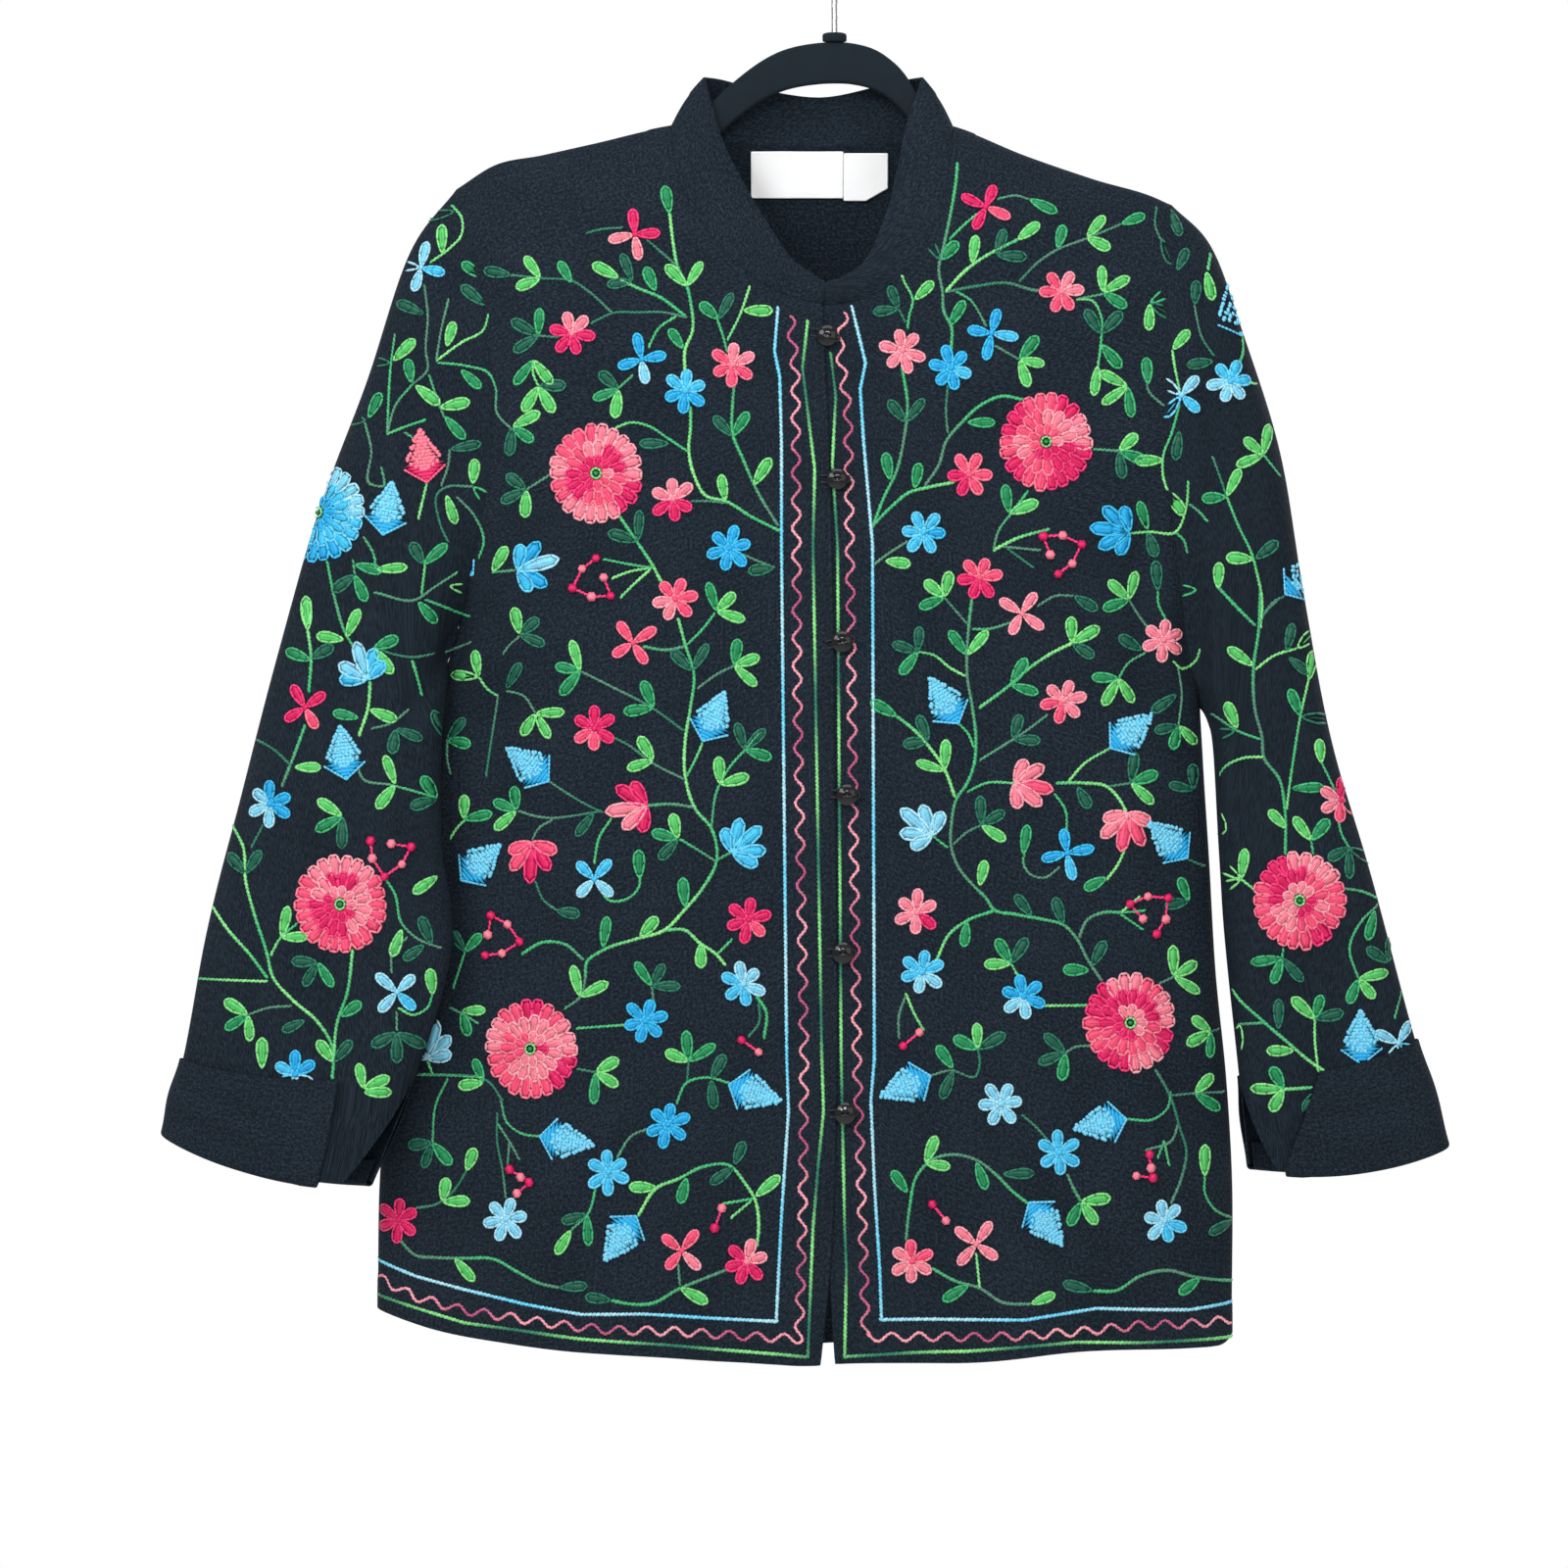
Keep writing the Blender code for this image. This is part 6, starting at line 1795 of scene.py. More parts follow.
# Vines: x and z of the points that each runs through, by tone and width
STEMS = {
    ("l", 3): (
        (-31, -355, -47, -347, -62, -338, -73, -335, -80, -323, -83, -308, -82, -296, -82, -284),
        (-85, -266, -85, -251, -81, -241, -82, -224, -84, -215, -89, -205, -92, -190, -94, -173),
        (-85, -232, -100, -221, -112, -216, -122, -211),
        (-123, -346, -112, -362, -104, -374, -97, -386, -90, -392),
        (-89, -405, -85, -420, -80, -437, -82, -456, -85, -475, -85, -495, -79, -514, -70, -525,
         -67, -543, -75, -559, -85, -571, -97, -583, -113, -588, -133, -595, -141, -601,
         -142, -610),
        (-97, -583, -85, -583, -77, -590, -67, -597, -62, -603),
        (-112, -746, -101, -730, -89, -725, -75, -718, -60, -717, -51, -727, -45, -737, -43, -751,
         -44, -763),
        (22, -352, 33, -341, 43, -333, 54, -330, 69, -327),
        (64, -218, 73, -208, 80, -202, 93, -194, 105, -188), (91, -366, 105, -359, 123, -354),
        (83, -456, 98, -445, 112, -433, 124, -425, 136, -419),
        (69, -507, 63, -491, 54, -478, 46, -469, 36, -461),
        (127, -499, 143, -499, 156, -501, 163, -508, 167, -515),
        (91, -572, 77, -577, 66, -585, 59, -599, 56, -606), (-301, -412, -299, -425, -300, -447),
        (-265, -441, -266, -456, -271, -472), (-241, -429, -238, -440, -236, -449),
        (-345, -523, -338, -535, -336, -555, -331, -573, -323, -597, -320, -609, -309, -622,
         -294, -635, -286, -648, -286, -672),
        (-356, -570, -346, -583, -333, -597, -323, -610),
        (-274, -594, -277, -618, -283, -636, -285, -657), (235, -242, 235, -251, 231, -262),
        (217, -194, 215, -204), (225, -604, 231, -621, 244, -634, 259, -647, 272, -658, 284, -666),
        (276, -673, 257, -674),
    ),
    ("l", 2): (
        (-83, -310, -95, -302, -106, -295, -116, -293, -125, -296),
        (-61, -246, -54, -232, -48, -215), (-90, -232, -100, -239, -106, -250),
        (-172, -257, -172, -265, -169, -272), (-84, -495, -78, -483, -75, -476),
        (-127, -519, -134, -530, -137, -545),
        (-135, -557, -128, -566, -118, -565, -111, -557, -111, -552),
        (-104, -376, -116, -378, -127, -382), (-105, -377, -115, -386, -122, -393),
        (-67, -597, -58, -588), (-204, -438, -199, -445, -193, -449),
        (-221, -531, -217, -525, -212, -520), (-147, -639, -133, -638, -118, -637),
        (-46, -736, -64, -739), (-47, -737, -59, -747),
        (42, -239, 43, -232, 45, -223, 40, -212, 37, -204), (66, -188, 75, -179, 82, -173),
        (139, -222, 148, -223, 153, -232, 153, -245, 152, -254, 151, -260),
        (169, -356, 180, -355, 196, -355, 202, -341, 203, -326),
        (75, -438, 66, -433, 57, -426, 48, -424), (80, -479, 76, -470, 71, -465),
        (76, -504, 87, -499, 103, -499), (134, -498, 143, -488, 158, -479),
        (167, -535, 162, -546, 156, -554), (164, -573, 175, -564), (164, -573, 178, -572),
        (164, -574, 177, -583), (195, -429, 200, -433, 209, -428, 211, -422),
        (41, -619, 45, -629, 51, -640), (147, -626, 133, -626, 120, -626), (106, -611, 101, -602),
        (189, -704, 185, -714), (189, -704, 192, -718), (83, -787, 81, -767),
        (-232, -200, -221, -192, -214, -184, -214, -174, -220, -166),
        (-228, -257, -213, -246, -201, -239, -198, -230), (-256, -299, -246, -295, -234, -291),
        (-233, -327, -238, -348), (-236, -391, -234, -374), (-364, -611, -323, -612),
        (-306, -579, -316, -588, -321, -597), (-248, -627, -240, -631, -232, -627, -229, -619),
        (-240, -667, -225, -667, -201, -668), (-234, -659, -231, -667), (235, -269, 246, -270),
        (194, -251, 195, -259, 198, -274), (198, -282, 193, -300, 189, -310, 189, -325, 191, -331),
        (225, -335, 232, -353, 239, -368, 242, -379, 245, -395, 244, -410),
        (241, -434, 252, -426, 265, -422), (272, -439, 267, -460, 263, -484, 259, -514),
        (246, -484, 233, -485, 224, -490, 220, -501, 221, -514), (287, -503, 279, -487),
        (243, -562, 233, -554), (277, -664, 275, -645, 275, -634),
    ),
    ("m", 3): (
        (-32, -352, -44, -332, -52, -314, -58, -299, -58, -284, -57, -271),
        (-85, -421, -96, -423, -109, -421), (-79, -513, -94, -511, -107, -512),
        (-143, -600, -154, -591, -166, -590, -179, -597), (-44, -621, -39, -629, -40, -645),
        (-60, -776, -75, -782, -89, -788, -104, -796, -118, -796, -127, -794),
        (-250, -763, -241, -771, -229, -772, -212, -772, -195, -772, -181, -779, -168, -785,
         -157, -787),
        (22, -353, 28, -337, 36, -320, 40, -302, 42, -284, 39, -262),
        (52, -329, 60, -317, 64, -304, 73, -293, 84, -283, 96, -278, 108, -280),
        (67, -251, 67, -238, 63, -230, 62, -218, 60, -205, 63, -191, 67, -172, 70, -154, 71, -143),
        (79, -392, 77, -409, 76, -423, 76, -437, 79, -456, 81, -474, 80, -488, 76, -499, 70, -508,
         67, -522, 67, -536, 71, -547, 80, -558, 87, -565, 91, -571, 104, -574, 120, -577,
         131, -580, 138, -587, 145, -600, 153, -612),
        (140, -587, 145, -577, 154, -573, 164, -573), (133, -722, 137, -731, 141, -738),
        (41, -760, 43, -742, 48, -722, 56, -714, 68, -711, 81, -714, 92, -722, 102, -732,
         111, -739),
        (56, -776, 69, -783, 83, -787, 96, -795, 112, -796),
        (148, -789, 161, -789, 175, -781, 191, -778, 206, -782, 230, -786),
        (-302, -466, -307, -480, -315, -501), (220, -387, 231, -399, 241, -409),
        (244, -388, 243, -411, 240, -433, 241, -458, 245, -473, 246, -484, 255, -497, 258, -514,
         258, -540),
    ),
    ("m", 2): (
        (-61, -253, -63, -245, -67, -233), (-115, -266, -124, -274), (-163, -323, -176, -331),
        (-182, -377, -196, -378), (-85, -421, -75, -411, -68, -402),
        (-70, -524, -67, -504, -61, -492, -49, -478, -43, -471),
        (-161, -520, -169, -525, -173, -532), (-67, -544, -78, -537, -88, -531),
        (-67, -543, -58, -538), (-103, -376, -111, -375, -132, -371),
        (-190, -425, -185, -419, -180, -415), (-188, -446, -178, -449, -171, -459),
        (-223, -474, -223, -485, -221, -494), (-135, -475, -127, -472),
        (-142, -604, -142, -609, -145, -621, -154, -628), (-103, -624, -104, -615),
        (-90, -682, -84, -670, -73, -667, -60, -670), (-105, -696, -115, -700, -124, -713),
        (-136, -730, -140, -744, -150, -754), (-191, -681, -187, -694, -178, -700, -168, -701),
        (-193, -694, -185, -706, -180, -715), (-186, -706, -187, -718),
        (-222, -669, -229, -684, -231, -706), (-89, -773, -88, -786),
        (-221, -628, -211, -633, -204, -637), (-219, -617, -215, -605, -212, -596),
        (94, -164, 105, -162, 112, -164), (70, -218, 78, -223, 84, -232, 87, -238),
        (139, -222, 154, -219), (148, -308, 163, -309), (111, -332, 102, -344, 94, -355, 91, -366),
        (97, -364, 118, -366), (23, -374, 31, -368, 42, -361), (196, -355, 201, -360, 203, -367),
        (204, -339, 210, -344, 214, -349), (79, -411, 88, -411, 102, -407),
        (83, -486, 96, -478, 110, -469, 122, -460), (126, -505, 132, -514, 133, -529),
        (129, -547, 120, -553, 112, -551, 108, -543, 109, -539), (65, -536, 56, -529),
        (191, -406, 186, -395, 186, -389), (179, -424, 168, -431, 163, -439),
        (198, -433, 200, -447, 198, -466), (147, -649, 137, -650, 132, -653),
        (193, -676, 191, -685, 183, -691, 167, -691), (197, -695, 194, -703, 178, -709),
        (230, -750, 219, -744, 213, -734, 213, -725), (-221, -221, -225, -238, -228, -257),
        (-227, -258, -210, -260, -198, -264, -194, -272, -193, -287, -184, -297),
        (-232, -265, -228, -277, -223, -290), (-242, -271, -251, -282, -256, -299),
        (-252, -241, -254, -257, -256, -299), (-246, -298, -239, -303, -235, -307),
        (-269, -292, -265, -308, -265, -328, -258, -329, -259, -318),
        (-216, -335, -206, -346, -201, -361, -204, -370), (-269, -358, -263, -369, -262, -377),
        (-275, -371, -274, -380), (-290, -372, -286, -391, -281, -409),
        (-263, -390, -239, -394, -229, -387, -216, -378), (-234, -394, -210, -403),
        (-287, -388, -280, -412, -273, -424), (-273, -480, -268, -497, -253, -500, -228, -507),
        (-257, -551, -250, -562, -246, -579, -238, -587, -224, -593),
        (-243, -587, -251, -594, -252, -607), (-249, -629, -249, -640), (256, -323, 246, -311),
        (217, -459, 231, -469, 244, -474), (288, -514, 291, -529, 295, -536),
        (289, -559, 302, -561, 314, -566), (312, -569, 302, -578, 295, -593, 300, -611),
        (274, -540, 273, -532), (257, -593, 256, -599), (225, -638, 246, -636),
        (326, -619, 321, -634),
    ),
    ("d", 2): (
        (-84, -233, -97, -230, -113, -230, -125, -230, -139, -236),
        (-127, -230, -140, -218, -149, -212, -167, -210, -185, -208),
        (-89, -204, -98, -196, -107, -188), (-121, -181, -134, -182, -142, -184),
        (-82, -338, -71, -338, -62, -339), (-157, -244, -170, -243),
        (-53, -368, -44, -372, -34, -376), (-78, -445, -67, -437, -57, -432),
        (-86, -469, -104, -456, -127, -444, -145, -435),
        (-85, -497, -103, -488, -118, -477, -130, -471),
        (-132, -516, -144, -510, -154, -504, -163, -498),
        (-133, -515, -151, -518, -161, -519, -171, -518, -181, -515),
        (-171, -555, -166, -566, -158, -572), (-193, -449, -196, -468, -200, -495),
        (-147, -662, -136, -664), (-43, -623, -43, -636, -49, -644), (-84, -671, -83, -658),
        (-193, -688, -193, -705, -190, -720, -188, -737),
        (-190, -681, -199, -670, -205, -668, -223, -667, -240, -667),
        (-241, -744, -228, -741, -219, -734, -211, -722), (41, -236, 37, -228),
        (65, -299, 64, -287, 65, -272),
        (106, -212, 118, -200, 127, -194, 144, -187, 156, -182, 165, -178), (92, -249, 106, -257),
        (99, -365, 114, -376), (116, -398, 127, -392, 137, -392), (76, -408, 69, -400, 63, -393),
        (157, -501, 170, -499), (68, -534, 76, -527, 84, -523), (181, -411, 175, -403, 169, -394),
        (204, -543, 214, -547), (41, -620, 37, -632, 37, -645), (186, -614, 195, -610),
        (55, -666, 66, -663, 81, -666, 83, -660, 82, -650), (107, -688, 115, -695, 123, -704),
        (193, -678, 207, -677, 225, -677), (217, -642, 230, -639),
        (-235, -213, -233, -231, -234, -251, -233, -262, -242, -271),
        (-207, -329, -223, -330, -226, -332, -226, -349, -221, -361),
        (-225, -329, -221, -317, -220, -308), (-310, -489, -320, -480, -331, -474),
        (-264, -468, -253, -465, -243, -457),
        (-263, -421, -253, -425, -240, -427, -227, -424, -209, -418), (-326, -523, -333, -536),
        (-309, -626, -322, -627, -334, -631), (218, -254, 211, -243, 208, -231, 207, -225),
        (186, -167, 185, -179, 188, -187), (180, -261, 180, -274, 189, -283),
        (225, -335, 221, -323, 217, -312), (245, -404, 252, -395, 258, -392),
        (254, -394, 245, -404, 243, -411),
    ),
    ("d", 3): (
        (65, -218, 81, -215, 99, -213, 114, -217, 124, -218),
        (184, -663, 191, -675, 195, -685, 198, -696, 202, -709, 199, -726, 193, -740),
    ),
}

# Leaves: x, z and direction of each bunch, by the tones of its leaves from right to left
LEAVES = {
    "m": (
        (-94, -173, 100), (-102, -218, 112), (-150, -213, 120), (-202, -209, 142), (-86, -251, 125),
        (-85, -570, 95), (-132, -593, 82), (-111, -554, 92), (-84, -724, 255), (66, -238, 60),
        (128, -193, 75), (165, -178, 22), (112, -164, 335), (153, -248, 310), (76, -293, 0),
        (32, -326, 100), (46, -331, 80), (180, -354, 108), (48, -424, 232), (36, -461, 150),
        (108, -540, 82), (156, -553, 207), (76, -578, 262), (146, -606, 178), (68, -662, 125),
        (42, -733, 125), (81, -715, 290), (77, -785, 212), (210, -783, 215), (-214, -262, 318),
        (-242, -270, 100), (-223, -289, 312), (-267, -290, 65), (-207, -329, 318),
        (-274, -374, 345), (-238, -395, 310), (-299, -429, 158), (-271, -462, 168),
        (-281, -632, 35), (180, -271, 95), (225, -335, 184), (209, -388, 182), (267, -461, 112),
        (262, -502, 2), (310, -572, 255),
    ),
    "ll": (
        (-84, -215, 97), (-168, -210, 163), (-103, -486, 160), (-65, -500, 55), (-204, -438, 137),
        (-145, -621, 65), (-225, -740, 42), (145, -186, 12), (63, -492, 125), (52, -716, 30),
        (-315, -587, 40), (-268, -673, 62),
    ),
    "l": (
        (-123, -210, 152), (-52, -229, 0), (-46, -329, 58), (-62, -338, 100), (-196, -378, 60),
        (-111, -587, 48), (-76, -590, 270), (-150, -754, 238), (-218, -772, 312), (-101, -730, 178),
        (-45, -735, 40), (-88, -787, 332), (-211, -722, 70), (79, -202, 82), (105, -188, 38),
        (46, -223, 45), (151, -260, 262), (29, -372, 352), (83, -558, 78), (112, -796, 22),
        (213, -725, 90), (-225, -195, 92), (-222, -249, 75), (-240, -271, 322), (-253, -257, 45),
        (-226, -284, 12), (-207, -328, 85), (-222, -334, 288), (-262, -377, 5), (-221, -386, 352),
        (-302, -410, 92), (-301, -412, 94), (-279, -416, 65), (-280, -417, 172), (-308, -490, 0),
        (-265, -457, 338), (-250, -500, 110), (-250, -500, 232), (-268, -675, 0), (-246, -582, 250),
        (-229, -620, 95), (-226, -552, 215), (-326, -662, 90), (214, -205, 282), (194, -251, 50),
        (191, -331, 305), (189, -314, 182), (225, -335, 65), (240, -371, 176), (220, -388, 88),
        (240, -432, 145), (265, -422, 42), (272, -440, 80), (231, -468, 112), (221, -514, 278),
        (259, -525, 135), (279, -488, 95), (263, -652, 180), (233, -637, 265),
    ),
    "dd": (
        (-115, -212, 150), (-112, -361, 125), (-81, -435, 98), (93, -197, 35), (37, -228, 150),
        (153, -242, 85), (41, -293, 90), (48, -424, 125), (54, -475, 150), (102, -474, 35),
        (207, -503, 130), (-250, -468, 300), (-336, -551, 95),
    ),
    "d": (
        (-185, -208, 168), (-94, -305, 180), (-34, -376, 188), (-137, -516, 232), (-159, -572, 352),
        (-188, -445, 60), (-70, -668, 62), (-70, -668, 275), (-57, -717, 68), (-57, -718, 215),
        (-127, -794, 172), (-157, -787, 5), (180, -355, 288), (139, -501, 300), (113, -575, 128),
        (131, -580, 108), (186, -389, 95), (197, -448, 215), (177, -423, 150), (137, -392, 330),
        (147, -604, 62), (68, -663, 248), (96, -722, 2), (230, -751, 205), (148, -789, 165),
        (-218, -170, 188), (-235, -230, 155), (-200, -225, 140), (-254, -258, 172),
        (-268, -291, 175), (-220, -308, 12), (-299, -428, 30), (-301, -634, 205), (-229, -591, 112),
        (-233, -591, 215), (207, -225, 85), (198, -297, 262), (188, -186, 292), (194, -168, 288),
        (197, -205, 65), (241, -371, 38), (218, -257, 190), (259, -424, 78), (260, -427, 322),
        (267, -461, 355), (230, -469, 192), (254, -640, 90), (232, -637, 178), (276, -675, 238),
    ),
    "dm": (
        (-66, -234, 100), (-141, -745, 235), (-274, -380, 255),
    ),
    "dml": (
        (-123, -274, 200), (-184, -295, 325), (163, -309, 340), (198, -466, 255), (101, -602, 120),
        (275, -634, 75),
    ),
    "mdd": (
        (-169, -243, 150), (-51, -480, 45), (-223, -474, 50),
    ),
    "ml": (
        (-172, -257, 270), (-213, -520, 50), (-201, -671, 150), (-214, -630, 325), (207, -677, 5),
        (273, -532, 88),
    ),
    "lld": (
        (-169, -272, 300),
    ),
    "md": (
        (-58, -301, 95), (-212, -596, 85), (61, -200, 85), (204, -567, 150), (-235, -374, 80),
        (-227, -508, 160),
    ),
    "ddl": (
        (-176, -331, 205), (-180, -414, 40),
    ),
    "llm": (
        (-67, -401, 45), (-57, -432, 20), (106, -257, 350), (168, -272, 215), (63, -393, 140),
        (169, -394, 138), (217, -642, 205),
    ),
    "lmm": (
        (-145, -435, 168),
    ),
    "mm": (
        (-103, -456, 150), (101, -443, 22),
    ),
    "mml": (
        (-182, -515, 158), (-83, -658, 95),
    ),
    "lmd": (
        (-89, -531, 165), (170, -499, 20), (-280, -518, 208),
    ),
    "lll": (
        (-171, -459, 300), (195, -610, 30), (246, -311, 140), (233, -554, 145),
    ),
    "ddm": (
        (-104, -615, 62), (-231, -706, 250), (132, -653, 200), (-294, -601, 240),
    ),
    "mll": (
        (-136, -664, 328), (154, -218, 30), (163, -439, 240), (141, -738, 305), (300, -611, 310),
        (257, -674, 180),
    ),
    "lm": (
        (100, -345, 60), (76, -426, 88), (-263, -422, 345),
    ),
    "dll": (
        (136, -419, 30),
    ),
    "ldd": (
        (84, -523, 30),
    ),
    "dlm": (
        (82, -651, 92),
    ),
    "lml": (
        (-334, -631, 212),
    ),
    "dl": (
        (-285, -658, 88),
    ),
    "ddd": (
        (-249, -641, 270), (295, -536, 270), (318, -602, 85),
    ),
    "ldm": (
        (181, -224, 330),
    ),
    "mmd": (
        (256, -599, 250),
    ),
}
print("motifs:", sum(map(len, MOTIFS.values())), "vines:", sum(map(len, STEMS.values())),
      "leaf bunches:", sum(map(len, LEAVES.values())))

# %% Borders
WAVE_HEIGHT = 2.3               # of the zigzag line, either side
WAVE_PERIOD = 15.7
BORDER_WIDTH = 2.2
ZIGZAG_WIDTH = 1.9
BORDER_THREADS = {"blue": ("pale blue", "light blue"), "zigzag": ("pale pink", "mauve"),
                  "green": ("light green", "dark green")}
BORDERS = (
    ("blue", (-32, -227, -34, -252, -31, -267, -30, -305, -30, -363, -27, -656, -26, -686,
              -30, -746, -33, -806, -75, -804, -110, -802, -144, -802, -178, -797, -212, -790,
              -241, -783, -264, -775)),
    ("zigzag", (-25, -232, -22, -264, -21, -443, -17, -656, -18, -751, -20, -816, -58, -814,
                -92, -812, -127, -811, -168, -807, -212, -802, -241, -795, -264, -785)),
    ("green", (-15, -235, -18, -262, -15, -287, -11, -320, -12, -363, -7, -656, -6, -686, -9, -716,
               -12, -752, -13, -776, -15, -826, -92, -820, -144, -816, -212, -809, -264, -795)),
    ("green", (-2, -253, 1, -278, -1, -317, 2, -363, 4, -656, 6, -752, 7, -776, 6, -826, 43, -824,
               76, -823, 138, -818, 175, -819, 230, -818)),
    ("zigzag", (6, -230, 3, -251, 8, -287, 10, -443, 13, -656, 17, -776, 18, -815, 43, -815,
                86, -815, 109, -814, 142, -812, 175, -809, 207, -809, 230, -808)),
    ("blue", (10, -226, 18, -259, 15, -274, 17, -305, 22, -363, 23, -656, 21, -680, 23, -728,
              26, -776, 27, -805, 73, -805, 109, -805, 150, -799, 175, -800, 204, -801, 230, -798)),
)
BACK_BORDERS = (("blue", 25.0), ("zigzag", 15.5), ("green", 7.0))       # heights over the hem
LEAF_ANGLES = {1: (0,), 2: (-38, 38), 3: (-62, 0, 62)}
GREENS = {"l": "light green", "m": "middle green", "d": "dark green"}
VINE_THREADS = {"l": ("light green", "middle green"), "m": ("middle green", "dull green"),
                "d": ("dull green", "dark green")}
VINE_WIDTHS = {3: 2.3, 2: 1.8}
MOTIF_LIFT = 0.35               # of flowers over the ends of their vines


def wave(points):
    """A path that swings from side to side of another."""
    points = np.asarray(points, float)
    lengths = np.concatenate(([0.0], np.cumsum(np.linalg.norm(np.diff(points, axis=0), axis=1))))
    at = np.arange(0.0, lengths[-1], 1.0)
    middle = straight(lengths, points)(at)
    ahead = unit(np.gradient(middle, axis=0))
    swing = WAVE_HEIGHT * np.sin(math.tau * at / WAVE_PERIOD)
    return middle + np.stack((-ahead[:, 1], ahead[:, 0]), axis=-1) * swing[:, None]


def border(kind, points):
    """One border line. The zigzag swings, the others run straight."""
    path = wave(points) if kind == "zigzag" else points
    width = ZIGZAG_WIDTH if kind == "zigzag" else BORDER_WIDTH
    return strand(path, width, BORDER_THREADS[kind], corners=True)


def pairs(row):
    """A flat row of numbers as points."""
    return np.reshape(np.array(row, float), (-1, 2))


def bouquets():
    """All patterns of the layout: a place that decides the cloth, or none, and the stitches."""
    parts = []
    for (tone, weight), rows in STEMS.items():
        for row in rows:
            parts.append((None, strand(pairs(row), VINE_WIDTHS[weight], VINE_THREADS[tone])))
    for tones, rows in LEAVES.items():
        for x, z, direction in rows:
            for tone, angle in zip(tones, LEAF_ANGLES[len(tones)]):
                stitches = placed(leaf(GREENS[tone]), x, z, direction + angle)
                parts.append((tuple(stitches[:, :2].mean(axis=0)), stitches))
    for (kind, family), rows in MOTIFS.items():
        for x, z, turn in rows:
            stitches = placed(PATTERNS[kind](PINKS if family == "pink" else BLUES), x, z, turn)
            stitches[:, LIFT] += MOTIF_LIFT
            parts.append(((x, z), stitches))
    return parts


layout = bouquets()
print("parts of the bouquets:", len(layout), "stitches:", sum(len(stitches) for _, stitches in layout))

# %% Sewing
SEWING_STEP = 3.2
SEWING_REACH = 2.3
SEWING_WIDTH = 0.6
SEWING_HEIGHT = 0.5
SEWING_INSET = 2.6
HEM_SEWING = 11.5
SEWN_CLOSURE = (-0.81, -0.25)   # heights between which the closure is sewn
LEFT_HEM_X = left_rim(HEM_LEVEL)
RIGHT_HEM_X = right_rim(HEM_LEVEL)
DARK_THREAD = (0.007, 0.010, 0.014)
THREADS["dark"] = (DARK_THREAD, DARK_THREAD)


def seam(points):
    """A line of sewing in the cloth's own colour."""
    return strand(points, SEWING_WIDTH, ("dark", "dark"), SEWING_STEP, SEWING_REACH, slant=0.0,
                  height=SEWING_HEIGHT, corners=True)


def seams(side):
    """Sewing of the closure, hem and armholes, as seen from the front or from behind."""
    rise = BACK_HEM_RISE if side > 0 else 0.0
    hem_x = np.linspace(LEFT_HEM_X, RIGHT_HEM_X, 60)
    lines = [np.stack((hem_x, hem(hem_x) + rise + HEM_SEWING * MM), axis=-1)]
    for left, inward in ((True, 1), (False, -1)):
        lines.append(armhole(left) + np.array((inward * SEWING_INSET * MM, 0.0)))
        if side < 0:
            heights = np.linspace(*SEWN_CLOSURE, 50)
            edge = left_edge(heights) if left else right_edge(heights)
            lines.append(np.stack((edge - inward * SEWING_INSET * MM, heights), axis=-1))
    return [(None, seam(line / MM)) for line in lines]


print("lines of sewing in front:", len(seams(-1)))

# %% [markdown]
# ### Casting the stitches
# Each stitch is cast on to the cloth along the line of sight, from the front and again from
# behind. It then lies in the cloth, turned to its slope, and is left out where the cloth turns
# away or where another piece covers it.

# %% Casting
EMBROIDERED = {"front_left": front_left_cloth, "front_right": front_right_cloth, "back": back_cloth,
               "sleeve_left": sleeve_left_cloth, "sleeve_right": sleeve_right_cloth}
COVERS = {"cuff_left": cuff_left_cloth, "cuff_right": cuff_right_cloth, "collar": collar_cloth}
CAST_FROM = 0.5                 # metres in front of the hanger
STEEPEST = 0.40
LONGEST_STRETCH = 1.7
LONG_STITCH = 5.0               # longer ones follow the cloth under both their ends
LONG_STITCH_SPAN = 0.42
LONG_STITCH_RISE = 1.6 * MM
COVER_GAP = 0.4 * MM
STITCH_SINK = 0.2               # how far a bead's middle stands out, as a share of its height
LAYOUT_LEFT = -262.0            # the body's bouquets lie between these, in millimetres
LAYOUT_RIGHT = 230.0
BACK_SPREAD = 1.10


def search_tree(piece):
    mesh = piece.data
    return BVHTree.FromPolygons([vertex.co for vertex in mesh.vertices],
                                [tuple(face.vertices) for face in mesh.polygons])


search = {name: search_tree(piece) for name, piece in {**EMBROIDERED, **COVERS}.items()}


def ray(name, x, z, side):
    """Where a line of sight in millimetres meets one cloth: point, normal, face and distance."""
    return search[name].ray_cast(Vector((x * MM, side * CAST_FROM, z * MM)), Vector((0, -side, 0)))


def first_hits(x, z, side):
    """The cloths on one line of sight, the nearest first: distance, name, point and normal."""
    hits = []
    for name in search:
        point, normal, _, distance = ray(name, x, z, side)
        if point is not None:
            hits.append((distance, name, point, normal))
    return sorted(hits, key=lambda hit: hit[0])


